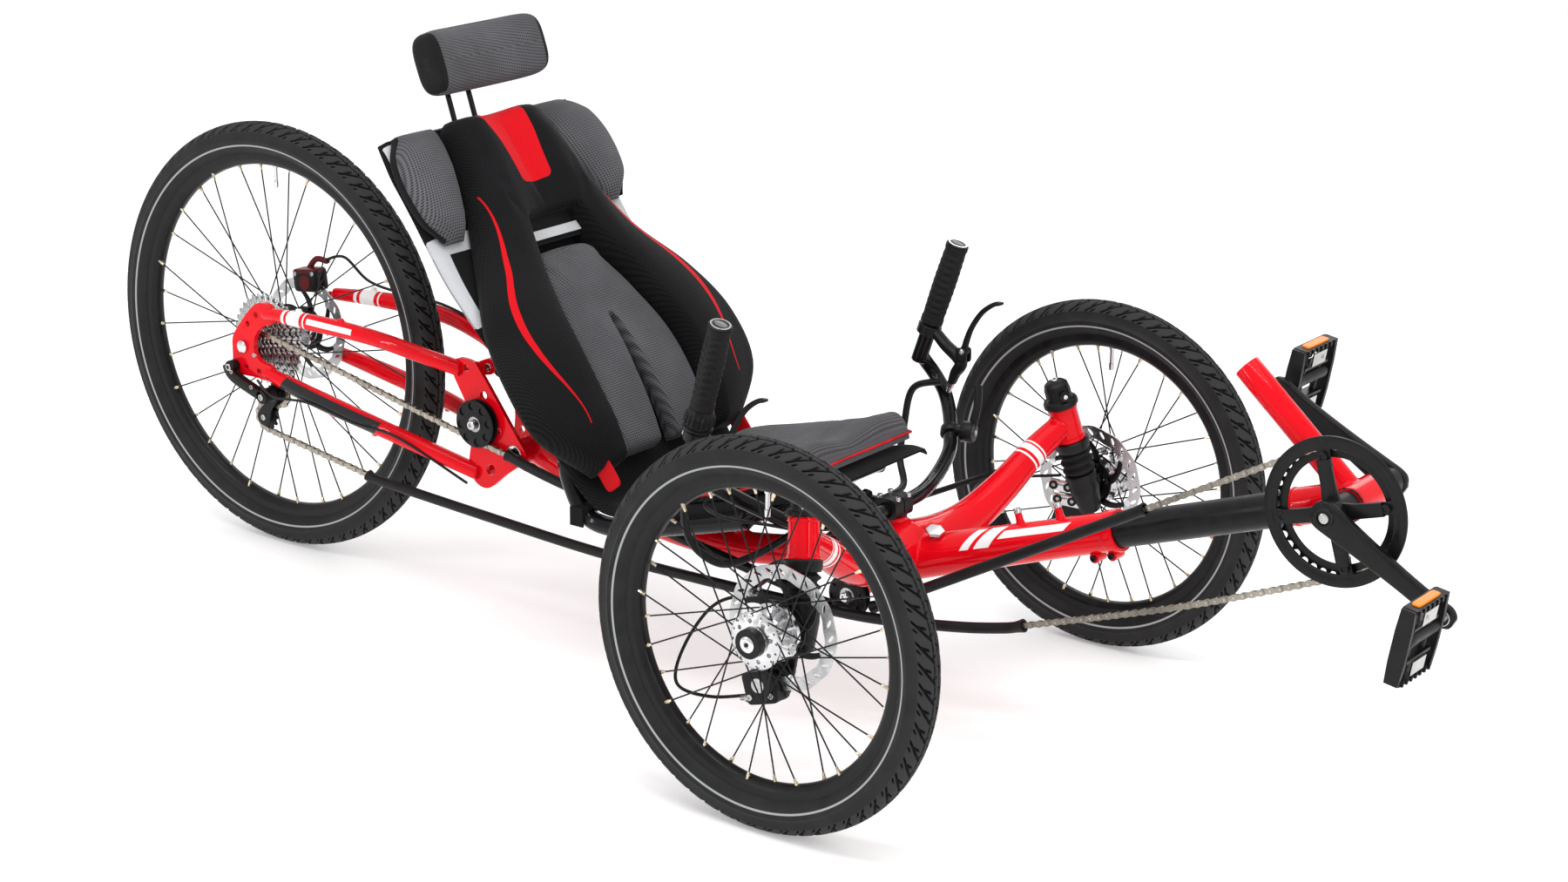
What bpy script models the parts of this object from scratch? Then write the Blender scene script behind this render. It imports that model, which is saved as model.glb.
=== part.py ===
"""Recumbent tadpole trike with front and rear suspension, one named object for each piece.

Metres, +X forward, +Y to the rider's left, +Z up. The origin is on the ground under the middle of
the trike's length. Places are given from the front axle line or from the rear axle, so that the
pieces stay together when a driving dimension changes.
"""

import math

import bmesh
import bpy
from mathutils import Matrix, Vector

# Clearances
TOUCH_GAP = 0.0003
RUN_GAP = 0.0006
CHORD_GAP = 0.0010

# Wheels and tyres
WHEELBASE = 1.2025
TRACK = 0.787
FRONT_TYRE_RADIUS = 0.248
REAR_TYRE_RADIUS = 0.3245
TYRE_HEIGHT = 0.045
FRONT_BEAD_RADIUS = FRONT_TYRE_RADIUS - TYRE_HEIGHT
REAR_BEAD_RADIUS = REAR_TYRE_RADIUS - TYRE_HEIGHT
TYRE_WIDTH = 0.047
RIM_WIDTH = 0.025
RIM_DEPTH = 0.019
SPOKE_COUNT = 32
SPOKE_RADIUS = 0.0014
TYRE_SIDES = 28
FLANGE_RADIUS = 0.036
REAR_FLANGE_RADIUS = 0.031
ROTOR_RADIUS = 0.080
ROTOR_THICKNESS = 0.002
FRONT_ROTOR_INSET = 0.038
REAR_ROTOR_OFFSET = 0.0545
FRONT_AXLE_RADIUS = 0.0080
REAR_AXLE_RADIUS = 0.0050
DROPOUT_INNER = 0.0680
DROPOUT_THICKNESS = 0.0085

# Kingpins
CASTER_DEG = 10.3
KINGPIN_INCLINATION_DEG = 14.9
TRAIL = 0.053
HEAD_BOTTOM_HEIGHT = 0.073
HEAD_LENGTH = 0.051
HEAD_RADIUS = 0.0195
KINGPIN_RADIUS = 0.0110
CAP_RADIUS = 0.0240
KNOB_RADIUS = 0.0175
COLLAR_RADIUS = 0.0240
COLLAR_LENGTH = 0.0155
BELLOWS_LENGTH = 0.0360
BELLOWS_RADIUS = 0.0225
UPRIGHT_LENGTH = 0.0600
UPRIGHT_RADIUS = 0.0215
UPRIGHT_FOOT_RADIUS = 0.0150
PIN_ENGAGEMENT = 0.0260

# Boom, bottom bracket and cranks
BB_X = 0.571
BB_HEIGHT = 0.189
BOOM_ANGLE_DEG = 18.8
BOOM_RADIUS = 0.0220
SOCKET_RADIUS = 0.0255
SOCKET_END_X = 0.255
SOCKET_DEPTH = 0.200
BOOM_INSERTION = 0.130
MAST_RADIUS = 0.0165
MAST_LENGTH = 0.205
MAST_LEAN_DEG = 48.5
MAST_SETBACK = 0.0045
BB_SHELL_RADIUS = 0.0215
BB_SHELL_HALF_WIDTH = 0.0340
CRANK_LENGTH = 0.175
CRANK_ANGLE_DEG = -29.2
CRANK_INNER_Y = 0.0790
CRANK_THICKNESS = 0.0130
SPINDLE_RADIUS = 0.0115
CHAINRING_PITCH_RADIUS = 0.0768
GUARD_RADIUS = 0.0905
PEDAL_CHORD = 0.094
PEDAL_TILT_DEG = 9.5
PEDAL_STAND_OFF = 0.018
PEDAL_WIDTH = 0.090
PEDAL_THICKNESS = 0.020
PEDAL_AXLE_RADIUS = 0.0055

# Chain line
CHAIN_Y = -0.0570
CHAIN_SAG = 0.0070
CHAIN_WIDTH = 0.0066
CHAIN_HEIGHT = 0.0076
SMALL_COG_PITCH_RADIUS = 0.0246
JOCKEY_PITCH_RADIUS = 0.0215
IDLER_PITCH_RADIUS = 0.0255
IDLER_FLANGE_RADIUS = 0.0295
IDLER_AXLE_RADIUS = 0.0040
CHAIN_TUBE_RADIUS = 0.0075
CHAIN_TUBE_BORE = 0.0060

# Steering
STEER_X = -0.084
BAR_HEIGHT = 0.0405
BAR_RADIUS = 0.0100
GRIP_TUBE_RADIUS = 0.0111
GRIP_RADIUS = 0.0162
GRIP_LENGTH = 0.120
SHIFTER_RADIUS = 0.0205
SHIFTER_LENGTH = 0.030
DROP_ARM_LENGTH = 0.062
DROP_ARM_SPREAD = 0.020
TIE_ROD_RADIUS = 0.0040
TIE_EYE_RADIUS = 0.0090
TIE_EYE_BORE = 0.0058
TIE_STUD_RADIUS = 0.0040

# Seat
SEAT_HALF_WIDTH = 0.200
SLING_THICKNESS = 0.010
BACK_CUSHION_THICKNESS = 0.036
SEAT_TUBE_RADIUS = 0.0130
SEAT_TUBE_Y = 0.150
BASE_HALF_WIDTH = 0.140
BASE_THICKNESS = 0.042
HEADREST_HALF_WIDTH = 0.108
HEADREST_HEIGHT = 0.075
HEADREST_DEPTH = 0.058
POST_RADIUS = 0.0040
POST_SPACING = 0.042

# Rear swingarm and shock
SWING_TUBE_RADIUS = 0.0120
SWING_PLATE_Y = 0.0430
SWING_PLATE_THICKNESS = 0.0060
PIVOT_SHELL_RADIUS = 0.0190
PIVOT_SHELL_HALF_WIDTH = 0.0390
PIVOT_AXLE_RADIUS = 0.0095
SHOCK_CAN_RADIUS = 0.0200
SHOCK_SHAFT_RADIUS = 0.0060

NOSE_X = BB_X + CRANK_LENGTH * math.cos(math.radians(CRANK_ANGLE_DEG)) + 0.018
FRONT_AXLE_X = (WHEELBASE + REAR_TYRE_RADIUS - NOSE_X) / 2
FRONT_HALF_TRACK = TRACK / 2
LEFT = 1
RIGHT = -1


def front(x, y, z):
    """A place measured from the middle of the front axle line."""
    return Vector((FRONT_AXLE_X + x, y, FRONT_TYRE_RADIUS + z))


def rear(x, y, z):
    """A place measured from the middle of the rear axle."""
    return Vector((FRONT_AXLE_X - WHEELBASE + x, y, REAR_TYRE_RADIUS + z))


def on_arm(behind, above, y=0.0):
    """A place measured from the pivot, along the line to the rear axle and square to it."""
    along = (REAR_AXLE - PIVOT).normalized()
    return PIVOT + along * behind + Vector((along.z, 0, -along.x)) * above + Vector((0, y, 0))


PIVOT = front(-0.697, 0, 0.001)
REAR_AXLE = rear(0, 0, 0)
REAR_IDLER = on_arm(0.0657225, 0.0270887, CHAIN_Y)
REAR_TUBE_MOUTH = on_arm(0.0050929, 0.0002504, CHAIN_Y)
FRONT_IDLER = front(-0.112, CHAIN_Y, -0.0715)
BB = front(BB_X, 0, BB_HEIGHT)
STEER_POINT = front(STEER_X, 0, 0)
JOCKEY_UPPER = rear(0.049, CHAIN_Y, -0.0665)
JOCKEY_LOWER = rear(0.0265, CHAIN_Y, -0.1075)
SEAT_STAY_FOOT = front(-0.560, 0, -0.0180)
SEAT_STAY_HEAD = front(-0.565, 0, 0.150)
LEFT_LEVER_PIN = front(-0.1390, 0.2440, 0.1870)
RIGHT_LEVER_PIN = front(-0.1680, -0.2440, 0.1620)
SHOCK_TOP = front(-0.772, 0, 0.108)
SHOCK_BOTTOM = front(-0.655, 0, 0.029)


def material(name, colour, roughness, metallic=0.0):
    """A Principled material of one colour."""
    made = bpy.data.materials.new(name)
    made.use_nodes = True
    shader = made.node_tree.nodes["Principled BSDF"]
    shader.inputs["Base Color"].default_value = (*colour, 1.0)
    shader.inputs["Roughness"].default_value = roughness
    shader.inputs["Metallic"].default_value = metallic
    made.diffuse_color = (*colour, 1.0)
    return made


FINISHES = {
    "red_paint": ((0.75, 0.02, 0.025), 0.25, 0.0),
    "black_paint": ((0.015, 0.015, 0.016), 0.35, 0.0),
    "black_plastic": ((0.02, 0.02, 0.02), 0.5, 0.0),
    "rubber": ((0.03, 0.03, 0.032), 0.75, 0.0),
    "tyre": ((0.035, 0.035, 0.038), 0.8, 0.0),
    "silver": ((0.75, 0.76, 0.78), 0.3, 0.9),
    "steel": ((0.55, 0.54, 0.52), 0.35, 0.9),
    "mesh_grey": ((0.16, 0.16, 0.17), 0.9, 0.0),
    "mesh_black": ((0.025, 0.025, 0.028), 0.9, 0.0),
}


def named(name, mesh, finish, origin=None, smooth=35.0):
    """An object with its own material and its origin at a given place."""
    mesh.name = name
    if origin is not None:
        mesh.transform(Matrix.Translation(-origin))
    mesh.shade_smooth()
    mesh.set_sharp_from_angle(angle=math.radians(smooth))
    mesh.materials.clear()
    mesh.materials.append(material(name + "_finish", *FINISHES[finish]))
    made = bpy.data.objects.new(name, mesh)
    if origin is not None:
        made.location = origin
    bpy.context.scene.collection.objects.link(made)
    return made


def closed_mesh(points, faces):
    """A mesh of flat triangles whose faces point out."""
    mesh = bpy.data.meshes.new("shape")
    mesh.from_pydata([tuple(p) for p in points], [], faces)
    shape = bmesh.new()
    shape.from_mesh(mesh)
    bmesh.ops.triangulate(shape, faces=shape.faces[:])
    if shape.calc_volume(signed=True) < 0:
        bmesh.ops.reverse_faces(shape, faces=shape.faces[:])
    shape.to_mesh(mesh)
    shape.free()
    return mesh


def loft(sections, closed=False):
    """Skin over loops of equal count, with flat ends unless the loops close on themselves."""
    count = len(sections[0])
    rows = len(sections)
    points = [p for section in sections for p in section]
    faces = []
    for i in range(rows if closed else rows - 1):
        a = i * count
        b = (i + 1) % rows * count
        for j in range(count):
            k = (j + 1) % count
            faces.append((a + j, a + k, b + k, b + j))
    if not closed:
        faces.append(tuple(reversed(range(count))))
        faces.append(tuple(range((rows - 1) * count, rows * count)))
    return closed_mesh(points, faces)


def frames_along(points, up=None):
    """A point and two vectors square to the path and to each other, at each of its points."""
    result = []
    side = None
    for i, here in enumerate(points):
        before = points[max(i - 1, 0)]
        after = points[min(i + 1, len(points) - 1)]
        ahead = (after - before).normalized()
        if up is not None:
            side = up.cross(ahead).normalized()
        elif side is None:
            helper = Vector((0, 1, 0)) if abs(ahead.y) < 0.9 else Vector((0, 0, 1))
            side = helper.cross(ahead).normalized()
        else:
            side = (side - ahead * side.dot(ahead)).normalized()
        result.append((here, side, ahead.cross(side)))
    return result


def circle_section(frame, radius, sides):
    """A regular loop in the plane of a frame."""
    here, side, rise = frame
    turn = [2 * math.pi * (k + 0.5) / sides for k in range(sides)]
    return [here + side * (radius * math.cos(t)) + rise * (radius * math.sin(t)) for t in turn]


def tube(points, radius, sides=10):
    """A solid round bar along a path; the radius may change from point to point."""
    radii = radius if isinstance(radius, (list, tuple)) else [radius] * len(points)
    frames = frames_along(points)
    return loft([circle_section(f, r, sides) for f, r in zip(frames, radii)])


def pipe(points, outer, bore, sides=8):
    """A round tube along a path, open at both ends."""
    frames = frames_along(points)
    outside = [circle_section(f, outer, sides) for f in frames]
    inside = [circle_section(f, bore, sides) for f in frames]
    return loft(outside + inside[::-1], closed=True)


def ribbon(points, half_width, half_height, across):
    """A flat band along a path; its half width is measured in the direction given as across."""
    sections = []
    for here, flat, wide in frames_along(points, across):
        corners = ((-1, -1), (1, -1), (1, 1), (-1, 1))
        sections.append([here + wide * (half_width * a) + flat * (half_height * b) for a, b in corners])
    return loft(sections)


def turned(profile, centre, axis, sides, closed_profile=True, phase=0.5):
    """A turned shape: profile points are (radius, distance along the axis)."""
    axis = axis.normalized()
    helper = Vector((0, 0, 1)) if abs(axis.z) < 0.9 else Vector((1, 0, 0))
    side = helper.cross(axis).normalized()
    rise = axis.cross(side)
    rings = []
    points = []
    for radius, along in profile:
        middle = centre + axis * along
        if radius < 1e-7:
            rings.append([len(points)] * sides)
            points.append(middle)
            continue
        rings.append(list(range(len(points), len(points) + sides)))
        for k in range(sides):
            t = 2 * math.pi * (k + phase) / sides
            points.append(middle + side * (radius * math.cos(t)) + rise * (radius * math.sin(t)))
    faces = []
    steps = len(rings) if closed_profile and profile[0][0] > 1e-7 else len(rings) - 1
    for i in range(steps):
        a = rings[i]
        b = rings[(i + 1) % len(rings)]
        for j in range(sides):
            k = (j + 1) % sides
            face = list(dict.fromkeys((a[j], a[k], b[k], b[j])))
            if len(face) > 2:
                faces.append(face)
    return closed_mesh(points, faces)


def rod(start, end, radius, sides=10):
    """A straight round bar."""
    return tube([start, end], radius, sides)


def block(centre, size, turn=None):
    """A box, turned about its centre when a rotation is given."""
    half = Vector(size) / 2
    turn = turn or Matrix.Identity(3)
    loops = []
    for x in (-1, 1):
        corners = ((-1, -1), (1, -1), (1, 1), (-1, 1))
        loops.append([centre + turn @ Vector((x * half.x, a * half.y, b * half.z)) for a, b in corners])
    return loft(loops)


def plate(outline, y_from, y_to):
    """An upright plate whose outline is given in X and Z."""
    loops = [[Vector((p.x, y, p.z)) for p in outline] for y in (y_from, y_to)]
    return loft(loops)


def joined(meshes):
    """Several separate shapes in one mesh."""
    whole = bmesh.new()
    for mesh in meshes:
        whole.from_mesh(mesh)
    made = bpy.data.meshes.new("joined")
    whole.to_mesh(made)
    whole.free()
    return made


def carve(base, added=(), removed=()):
    """Fuse shapes into the base, cut shapes out of it, and merge flat faces where the result stays closed."""
    scene = bpy.context.scene.collection
    holder = bpy.data.objects.new("work", base)
    scene.objects.link(holder)
    helpers = []
    for operation, meshes in (("UNION", added), ("DIFFERENCE", removed)):
        for mesh in meshes:
            helper = bpy.data.objects.new("helper", mesh)
            scene.objects.link(helper)
            helpers.append(helper)
            step = holder.modifiers.new(operation, "BOOLEAN")
            step.operation = operation
            step.solver = "EXACT"
            step.object = helper
    bpy.context.view_layer.update()
    graph = bpy.context.evaluated_depsgraph_get()
    result = bpy.data.meshes.new_from_object(holder.evaluated_get(graph))
    for used in helpers + [holder]:
        bpy.data.objects.remove(used)
    for flat in (True, False):
        tidy = bmesh.new()
        tidy.from_mesh(result)
        bmesh.ops.dissolve_degenerate(tidy, edges=tidy.edges[:], dist=1e-6)
        bmesh.ops.remove_doubles(tidy, verts=tidy.verts[:], dist=1e-6)
        if flat:
            bmesh.ops.dissolve_limit(tidy, angle_limit=math.radians(0.4), verts=tidy.verts[:], edges=tidy.edges[:])
        bmesh.ops.triangulate(tidy, faces=tidy.faces[:])
        whole = all(len(edge.link_faces) == 2 for edge in tidy.edges)
        if whole or not flat:
            tidy.to_mesh(result)
        tidy.free()
        if whole:
            break
    return result


def mirrored(mesh):
    """The same shape on the other side of the trike."""
    made = mesh.copy()
    made.transform(Matrix.Scale(-1, 4, Vector((0, 1, 0))))
    made.flip_normals()
    return made


def other_side(point):
    """The same place on the other side of the trike."""
    return Vector((point.x, -point.y, point.z))


def smooth_path(points, steps):
    """Points read from a smooth curve through the given ones."""
    result = []
    last = len(points) - 1
    for i in range(last):
        p0 = points[max(i - 1, 0)]
        p1 = points[i]
        p2 = points[i + 1]
        p3 = points[min(i + 2, last)]
        for k in range(steps):
            t = k / steps
            a = p1 * 2 + (p2 - p0) * t
            b = (p0 * 2 - p1 * 5 + p2 * 4 - p3) * t * t
            c = (p1 * 3 - p0 - p2 * 3 + p3) * t * t * t
            result.append((a + b + c) / 2)
    result.append(points[last])
    return result


def kingpin_axis(side):
    """The upward direction of one kingpin, and the place where the head tube's lower end is on it."""
    lean = math.tan(math.radians(KINGPIN_INCLINATION_DEG))
    rake = math.tan(math.radians(CASTER_DEG))
    foot = front(TRAIL, side * FRONT_HALF_TRACK, -FRONT_TYRE_RADIUS)
    rise = Vector((-rake, -side * lean, 1.0))
    height = HEAD_BOTTOM_HEIGHT + FRONT_TYRE_RADIUS
    return rise.normalized(), foot + rise * height


def boom_point(x, y=0.0, lift=0.0):
    """A place on the boom's axis, lifted square to it."""
    slope = math.radians(BOOM_ANGLE_DEG)
    z = BB_HEIGHT - (BB_X - x) * math.tan(slope)
    return front(x - lift * math.sin(slope), y, z + lift * math.cos(slope))


def make_tyre(name, centre, tyre_radius, bead_radius):
    """A tyre with tread, sidewalls and a hollow open to the rim."""
    half = TYRE_WIDTH / 2
    tall = tyre_radius - bead_radius
    wall = 0.0045
    outer = [
        (bead_radius, -half * 0.50),
        (bead_radius + tall * 0.46, -half),
        (tyre_radius - tall * 0.10, -half * 0.64),
        (tyre_radius, 0.0),
        (tyre_radius - tall * 0.10, half * 0.64),
        (bead_radius + tall * 0.46, half),
        (bead_radius, half * 0.50),
    ]
    inner = [
        (bead_radius, half * 0.50 - wall * 0.8),
        (bead_radius + tall * 0.50, half - wall),
        (bead_radius + tall * 0.50, -half + wall),
        (bead_radius, -half * 0.50 + wall * 0.8),
    ]
    flat = 1 / math.cos(math.pi / TYRE_SIDES)
    profile = [(r * flat if r > bead_radius else r, y) for r, y in outer + inner]
    mesh = turned(profile, centre, Vector((0, 1, 0)), TYRE_SIDES)
    return named(name, mesh, "tyre", centre)


def spokes(centre, flanges, flange_radius, rim_radius):
    """Crossed spokes from both hub flanges to the middle of the rim, as separate bars."""
    bars = []
    half = SPOKE_COUNT // 2
    for flange, y_flange in enumerate(flanges):
        outward = 1 if y_flange > sum(flanges) / 2 else -1
        for k in range(half):
            lead = 1 if k % 2 else -1
            rim_turn = 2 * math.pi * (k + 0.5 * flange + 0.25) / half
            hub_turn = rim_turn + lead * math.radians(62)
            y_hub = y_flange + lead * outward * 0.0021
            y_rim = outward * (0.0040 + 0.0020 * lead)
            hub = Vector((flange_radius * 0.93 * math.cos(hub_turn), y_hub, flange_radius * 0.93 * math.sin(hub_turn)))
            rim = Vector((rim_radius * math.cos(rim_turn), y_rim, rim_radius * math.sin(rim_turn)))
            bars.append(tube([centre + hub, centre + rim], SPOKE_RADIUS, 3))
    return joined(bars)


def make_wheel(centre, bead_radius, hub_profile, flanges, flange_radius):
    """A laced wheel: rim, crossed spokes and hub."""
    top = bead_radius
    half = RIM_WIDTH / 2
    depth = RIM_DEPTH
    rim = [
        (top, -half),
        (top, half),
        (top - depth * 0.60, half),
        (top - depth, 0.0),
        (top - depth * 0.60, -half),
    ]
    axle = Vector((0, 1, 0))
    ring = turned(rim, centre, axle, TYRE_SIDES)
    hub = turned(hub_profile, centre, axle, 8, phase=0.35)
    laced = spokes(centre, flanges, flange_radius, top - depth + 0.009)
    return carve(ring, added=[laced, hub])


def make_rotor(name, centre, bore):
    """A brake disc with six windows between its arms."""
    half = ROTOR_THICKNESS / 2
    disc = turned(
        [(bore, -half), (ROTOR_RADIUS, -half), (ROTOR_RADIUS, half), (bore, half)],
        centre, Vector((0, 1, 0)), 18,
    )
    windows = []
    low = 0.026
    high = ROTOR_RADIUS - 0.015
    for k in range(6):
        corners = ((low, 13), (high, 8), (high, 52), (low, 47))
        outline = []
        for radius, degrees in corners:
            turn = math.radians(60 * k + degrees)
            outline.append(centre + Vector((radius * math.cos(turn), 0, radius * math.sin(turn))))
        windows.append(plate(outline, centre.y - 4 * half, centre.y + 4 * half))
    return named(name, carve(disc, removed=[joined(windows)]), "silver", centre)


def front_hub_profile():
    """Radius and offset from the wheel's middle plane, for the left wheel, inner face first."""
    bore = FRONT_AXLE_RADIUS + CHORD_GAP
    inner = -FRONT_ROTOR_INSET + ROTOR_THICKNESS / 2 + TOUCH_GAP
    return [
        (bore, inner),
        (0.0225, inner),
        (0.0225, inner + 0.005),
        (FLANGE_RADIUS, -0.0235),
        (FLANGE_RADIUS, -0.0185),
        (0.0190, -0.0130),
        (0.0170, 0.0070),
        (FLANGE_RADIUS - 0.002, 0.0125),
        (FLANGE_RADIUS - 0.002, 0.0175),
        (0.0180, 0.0230),
        (0.0180, 0.0300),
        (bore, 0.0300),
    ]


def rear_hub_profile():
    """Radius and offset from the rear wheel's middle plane, from right to left."""
    nut = DROPOUT_INNER + DROPOUT_THICKNESS + TOUCH_GAP
    face = DROPOUT_INNER - TOUCH_GAP
    shoulder = REAR_ROTOR_OFFSET - ROTOR_THICKNESS / 2 - TOUCH_GAP
    return [
        (0, -nut - 0.006),
        (0.0090, -nut - 0.006),
        (0.0090, -nut),
        (REAR_AXLE_RADIUS, -nut),
        (REAR_AXLE_RADIUS, -face),
        (0.0100, -face),
        (0.0168, -0.0620),
        (0.0168, -0.0205),
        (REAR_FLANGE_RADIUS, -0.0200),
        (REAR_FLANGE_RADIUS, -0.0155),
        (0.0170, -0.0120),
        (0.0170, 0.0260),
        (REAR_FLANGE_RADIUS, 0.0295),
        (REAR_FLANGE_RADIUS, 0.0340),
        (0.0225, shoulder),
        (0.0100, shoulder),
        (0.0100, face),
        (REAR_AXLE_RADIUS, face),
        (REAR_AXLE_RADIUS, nut),
        (0.0090, nut),
        (0.0090, nut + 0.006),
        (0, nut + 0.006),
    ]


def make_front_wheels():
    """Tyre, laced wheel and brake disc on both front axles."""
    centre = front(0, FRONT_HALF_TRACK, 0)
    bead = FRONT_BEAD_RADIUS - TOUCH_GAP
    left_wheel = make_wheel(centre, bead, front_hub_profile(), [-0.021, 0.015], FLANGE_RADIUS)
    for side, word in ((RIGHT, "right"), (LEFT, "left")):
        place = front(0, side * FRONT_HALF_TRACK, 0)
        make_tyre("front_tyre_" + word, place, FRONT_TYRE_RADIUS, FRONT_BEAD_RADIUS)
        wheel = left_wheel if side == LEFT else mirrored(left_wheel)
        named("front_wheel_" + word, wheel, "black_paint", place)
        disc = front(0, side * (FRONT_HALF_TRACK - FRONT_ROTOR_INSET), 0)
        make_rotor("front_rotor_" + word, disc, 0.0135)


def make_rear_wheel():
    """Rear tyre, laced wheel, brake disc and cassette."""
    make_tyre("rear_tyre", REAR_AXLE, REAR_TYRE_RADIUS, REAR_BEAD_RADIUS)
    bead = REAR_BEAD_RADIUS - TOUCH_GAP
    wheel = make_wheel(REAR_AXLE, bead, rear_hub_profile(), [-0.0178, 0.0318], REAR_FLANGE_RADIUS)
    named("rear_wheel", wheel, "black_paint", REAR_AXLE)
    make_rotor("rear_rotor", rear(0, REAR_ROTOR_OFFSET, 0), 0.0108)
    bore = 0.0168 + CHORD_GAP
    root = SMALL_COG_PITCH_RADIUS - CHAIN_HEIGHT / 2 - CHORD_GAP
    first = CHAIN_Y + CHAIN_WIDTH / 2 + 2 * RUN_GAP
    last = -0.0215
    steps = 4
    width = (last - first) / steps
    profile = [(bore, -0.0612), (root, -0.0612), (root, first)]
    for k in range(steps):
        radius = 0.0300 + k * 0.0113
        profile.append((radius, first + k * width))
        profile.append((radius, first + (k + 1) * width))
    profile.append((bore, last))
    mesh = turned(profile, REAR_AXLE, Vector((0, 1, 0)), 12)
    named("cassette", mesh, "steel", REAR_AXLE)


def make_main_frame():
    """Cross tube with both head tubes, front tube with boom socket, and the spine."""
    meshes = []
    shell = rod(PIVOT + Vector((0, -PIVOT_SHELL_HALF_WIDTH, 0)), PIVOT + Vector((0, PIVOT_SHELL_HALF_WIDTH, 0)),
                PIVOT_SHELL_RADIUS, 10)
    spine = smooth_path([
        front(-0.050, 0, -0.012), front(-0.200, 0, -0.046), front(-0.360, 0, -0.070),
        front(-0.520, 0, -0.058), front(-0.640, 0, -0.020), PIVOT,
    ], 2)
    meshes.append(tube(spine, 0.0215, 8))
    meshes.append(tube([boom_point(-0.095), boom_point(SOCKET_END_X - 0.09), boom_point(SOCKET_END_X)],
                       [0.0300, SOCKET_RADIUS, SOCKET_RADIUS], 10))
    cuts = []
    for side in (LEFT, RIGHT):
        rise, low = kingpin_axis(side)
        middle = low + rise * (HEAD_LENGTH * 0.5)
        arm = [
            front(-0.062, -side * 0.004, -0.005), front(-0.055, side * 0.060, -0.010),
            front(-0.046, side * 0.120, 0.000), front(-0.036, side * 0.185, 0.028),
            front(-0.026, side * 0.245, 0.064), middle,
        ]
        meshes.append(tube(arm, [0.0320, 0.0300, 0.0260, 0.0225, 0.0195, 0.0170], 8))
        meshes.append(rod(low, low + rise * HEAD_LENGTH, HEAD_RADIUS, 10))
        cuts.append(rod(low - rise * 0.02, low + rise * (HEAD_LENGTH + 0.02), KINGPIN_RADIUS + RUN_GAP, 10))
    boss_top = BAR_HEIGHT - BAR_RADIUS - 0.0010
    meshes.append(rod(front(STEER_X, 0, -0.030), front(STEER_X, 0, boss_top), 0.0180, 10))
    cuts.append(rod(front(STEER_X, 0, -0.022), front(STEER_X, 0, boss_top + 0.01), 0.0090 + RUN_GAP, 10))
    for x in (0.118, 0.176):
        meshes.append(tube([boom_point(x), boom_point(x, 0, 0.040), boom_point(x, 0, 0.047)],
                           [0.0050, 0.0042, 0.0062], 8))
    for x in (SOCKET_END_X - 0.040, SOCKET_END_X - 0.015):
        lug = boom_point(x, 0, -0.030)
        meshes.append(rod(lug + Vector((0, -0.011, 0)), lug + Vector((0, 0.011, 0)), 0.0070, 8))
    meshes.append(plate([
        front(-0.640, 0, -0.020), SHOCK_BOTTOM + Vector((0.010, 0, -0.008)),
        SHOCK_BOTTOM + Vector((0.008, 0, 0.008)), SHOCK_BOTTOM + Vector((-0.008, 0, 0.008)),
        SHOCK_BOTTOM + Vector((-0.010, 0, -0.008)), front(-0.672, 0, -0.012),
    ], -0.0050, 0.0050))
    meshes.append(plate([
        front(-0.135, 0, -0.030), front(-0.095, 0, -0.024), FRONT_IDLER + Vector((0.010, 0, -0.006)),
        FRONT_IDLER + Vector((-0.010, 0, -0.006)),
    ], -0.0400, -0.0140))
    meshes.append(rod(FRONT_IDLER + Vector((0, 0.030, 0)), FRONT_IDLER + Vector((0, -0.0110, 0)),
                      IDLER_AXLE_RADIUS, 8))
    meshes.append(rod(front(-0.330, 0, -0.070), front(-0.330, 0, seat_cross_height(-0.330)), 0.0090, 8))
    stay = (SEAT_STAY_HEAD - SEAT_STAY_FOOT).normalized()
    meshes.append(rod(SEAT_STAY_FOOT - stay * TOUCH_GAP, SEAT_STAY_FOOT - stay * 0.026, 0.0105, 10))
    cuts.append(rod(boom_point(SOCKET_END_X - SOCKET_DEPTH), boom_point(SOCKET_END_X + 0.02),
                    BOOM_RADIUS + RUN_GAP, 10))
    cuts.append(rod(PIVOT + Vector((0, -0.06, 0)), PIVOT + Vector((0, 0.06, 0)), PIVOT_AXLE_RADIUS + RUN_GAP, 10))
    cuts.append(rod(SHOCK_BOTTOM + Vector((0, -0.02, 0)), SHOCK_BOTTOM + Vector((0, 0.02, 0)), 0.0040 + RUN_GAP, 8))
    mesh = carve(shell, added=meshes, removed=cuts)
    return named("main_frame", mesh, "red_paint")


def make_boom():
    """The sliding boom: its tube, the bottom bracket shell and the mast, welded together."""
    neck = rod(boom_point(SOCKET_END_X - BOOM_INSERTION), boom_point(BB_X - 0.008), BOOM_RADIUS, 10)
    lean = math.radians(MAST_LEAN_DEG)
    aim = Vector((-math.sin(lean), 0, math.cos(lean)))
    behind = Vector((-math.cos(lean), 0, -math.sin(lean))) * MAST_SETBACK
    mast = rod(BB + aim * 0.010 + behind, BB + aim * MAST_LENGTH + behind, MAST_RADIUS, 12)
    wide = Vector((0, BB_SHELL_HALF_WIDTH, 0))
    shell = rod(BB - wide, BB + wide, BB_SHELL_RADIUS, 12)
    bore = rod(BB - wide * 1.5, BB + wide * 1.5, SPINDLE_RADIUS + RUN_GAP, 12)
    named("boom", carve(neck, added=[mast, shell], removed=[bore]), "black_paint", boom_point(SOCKET_END_X))


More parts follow.
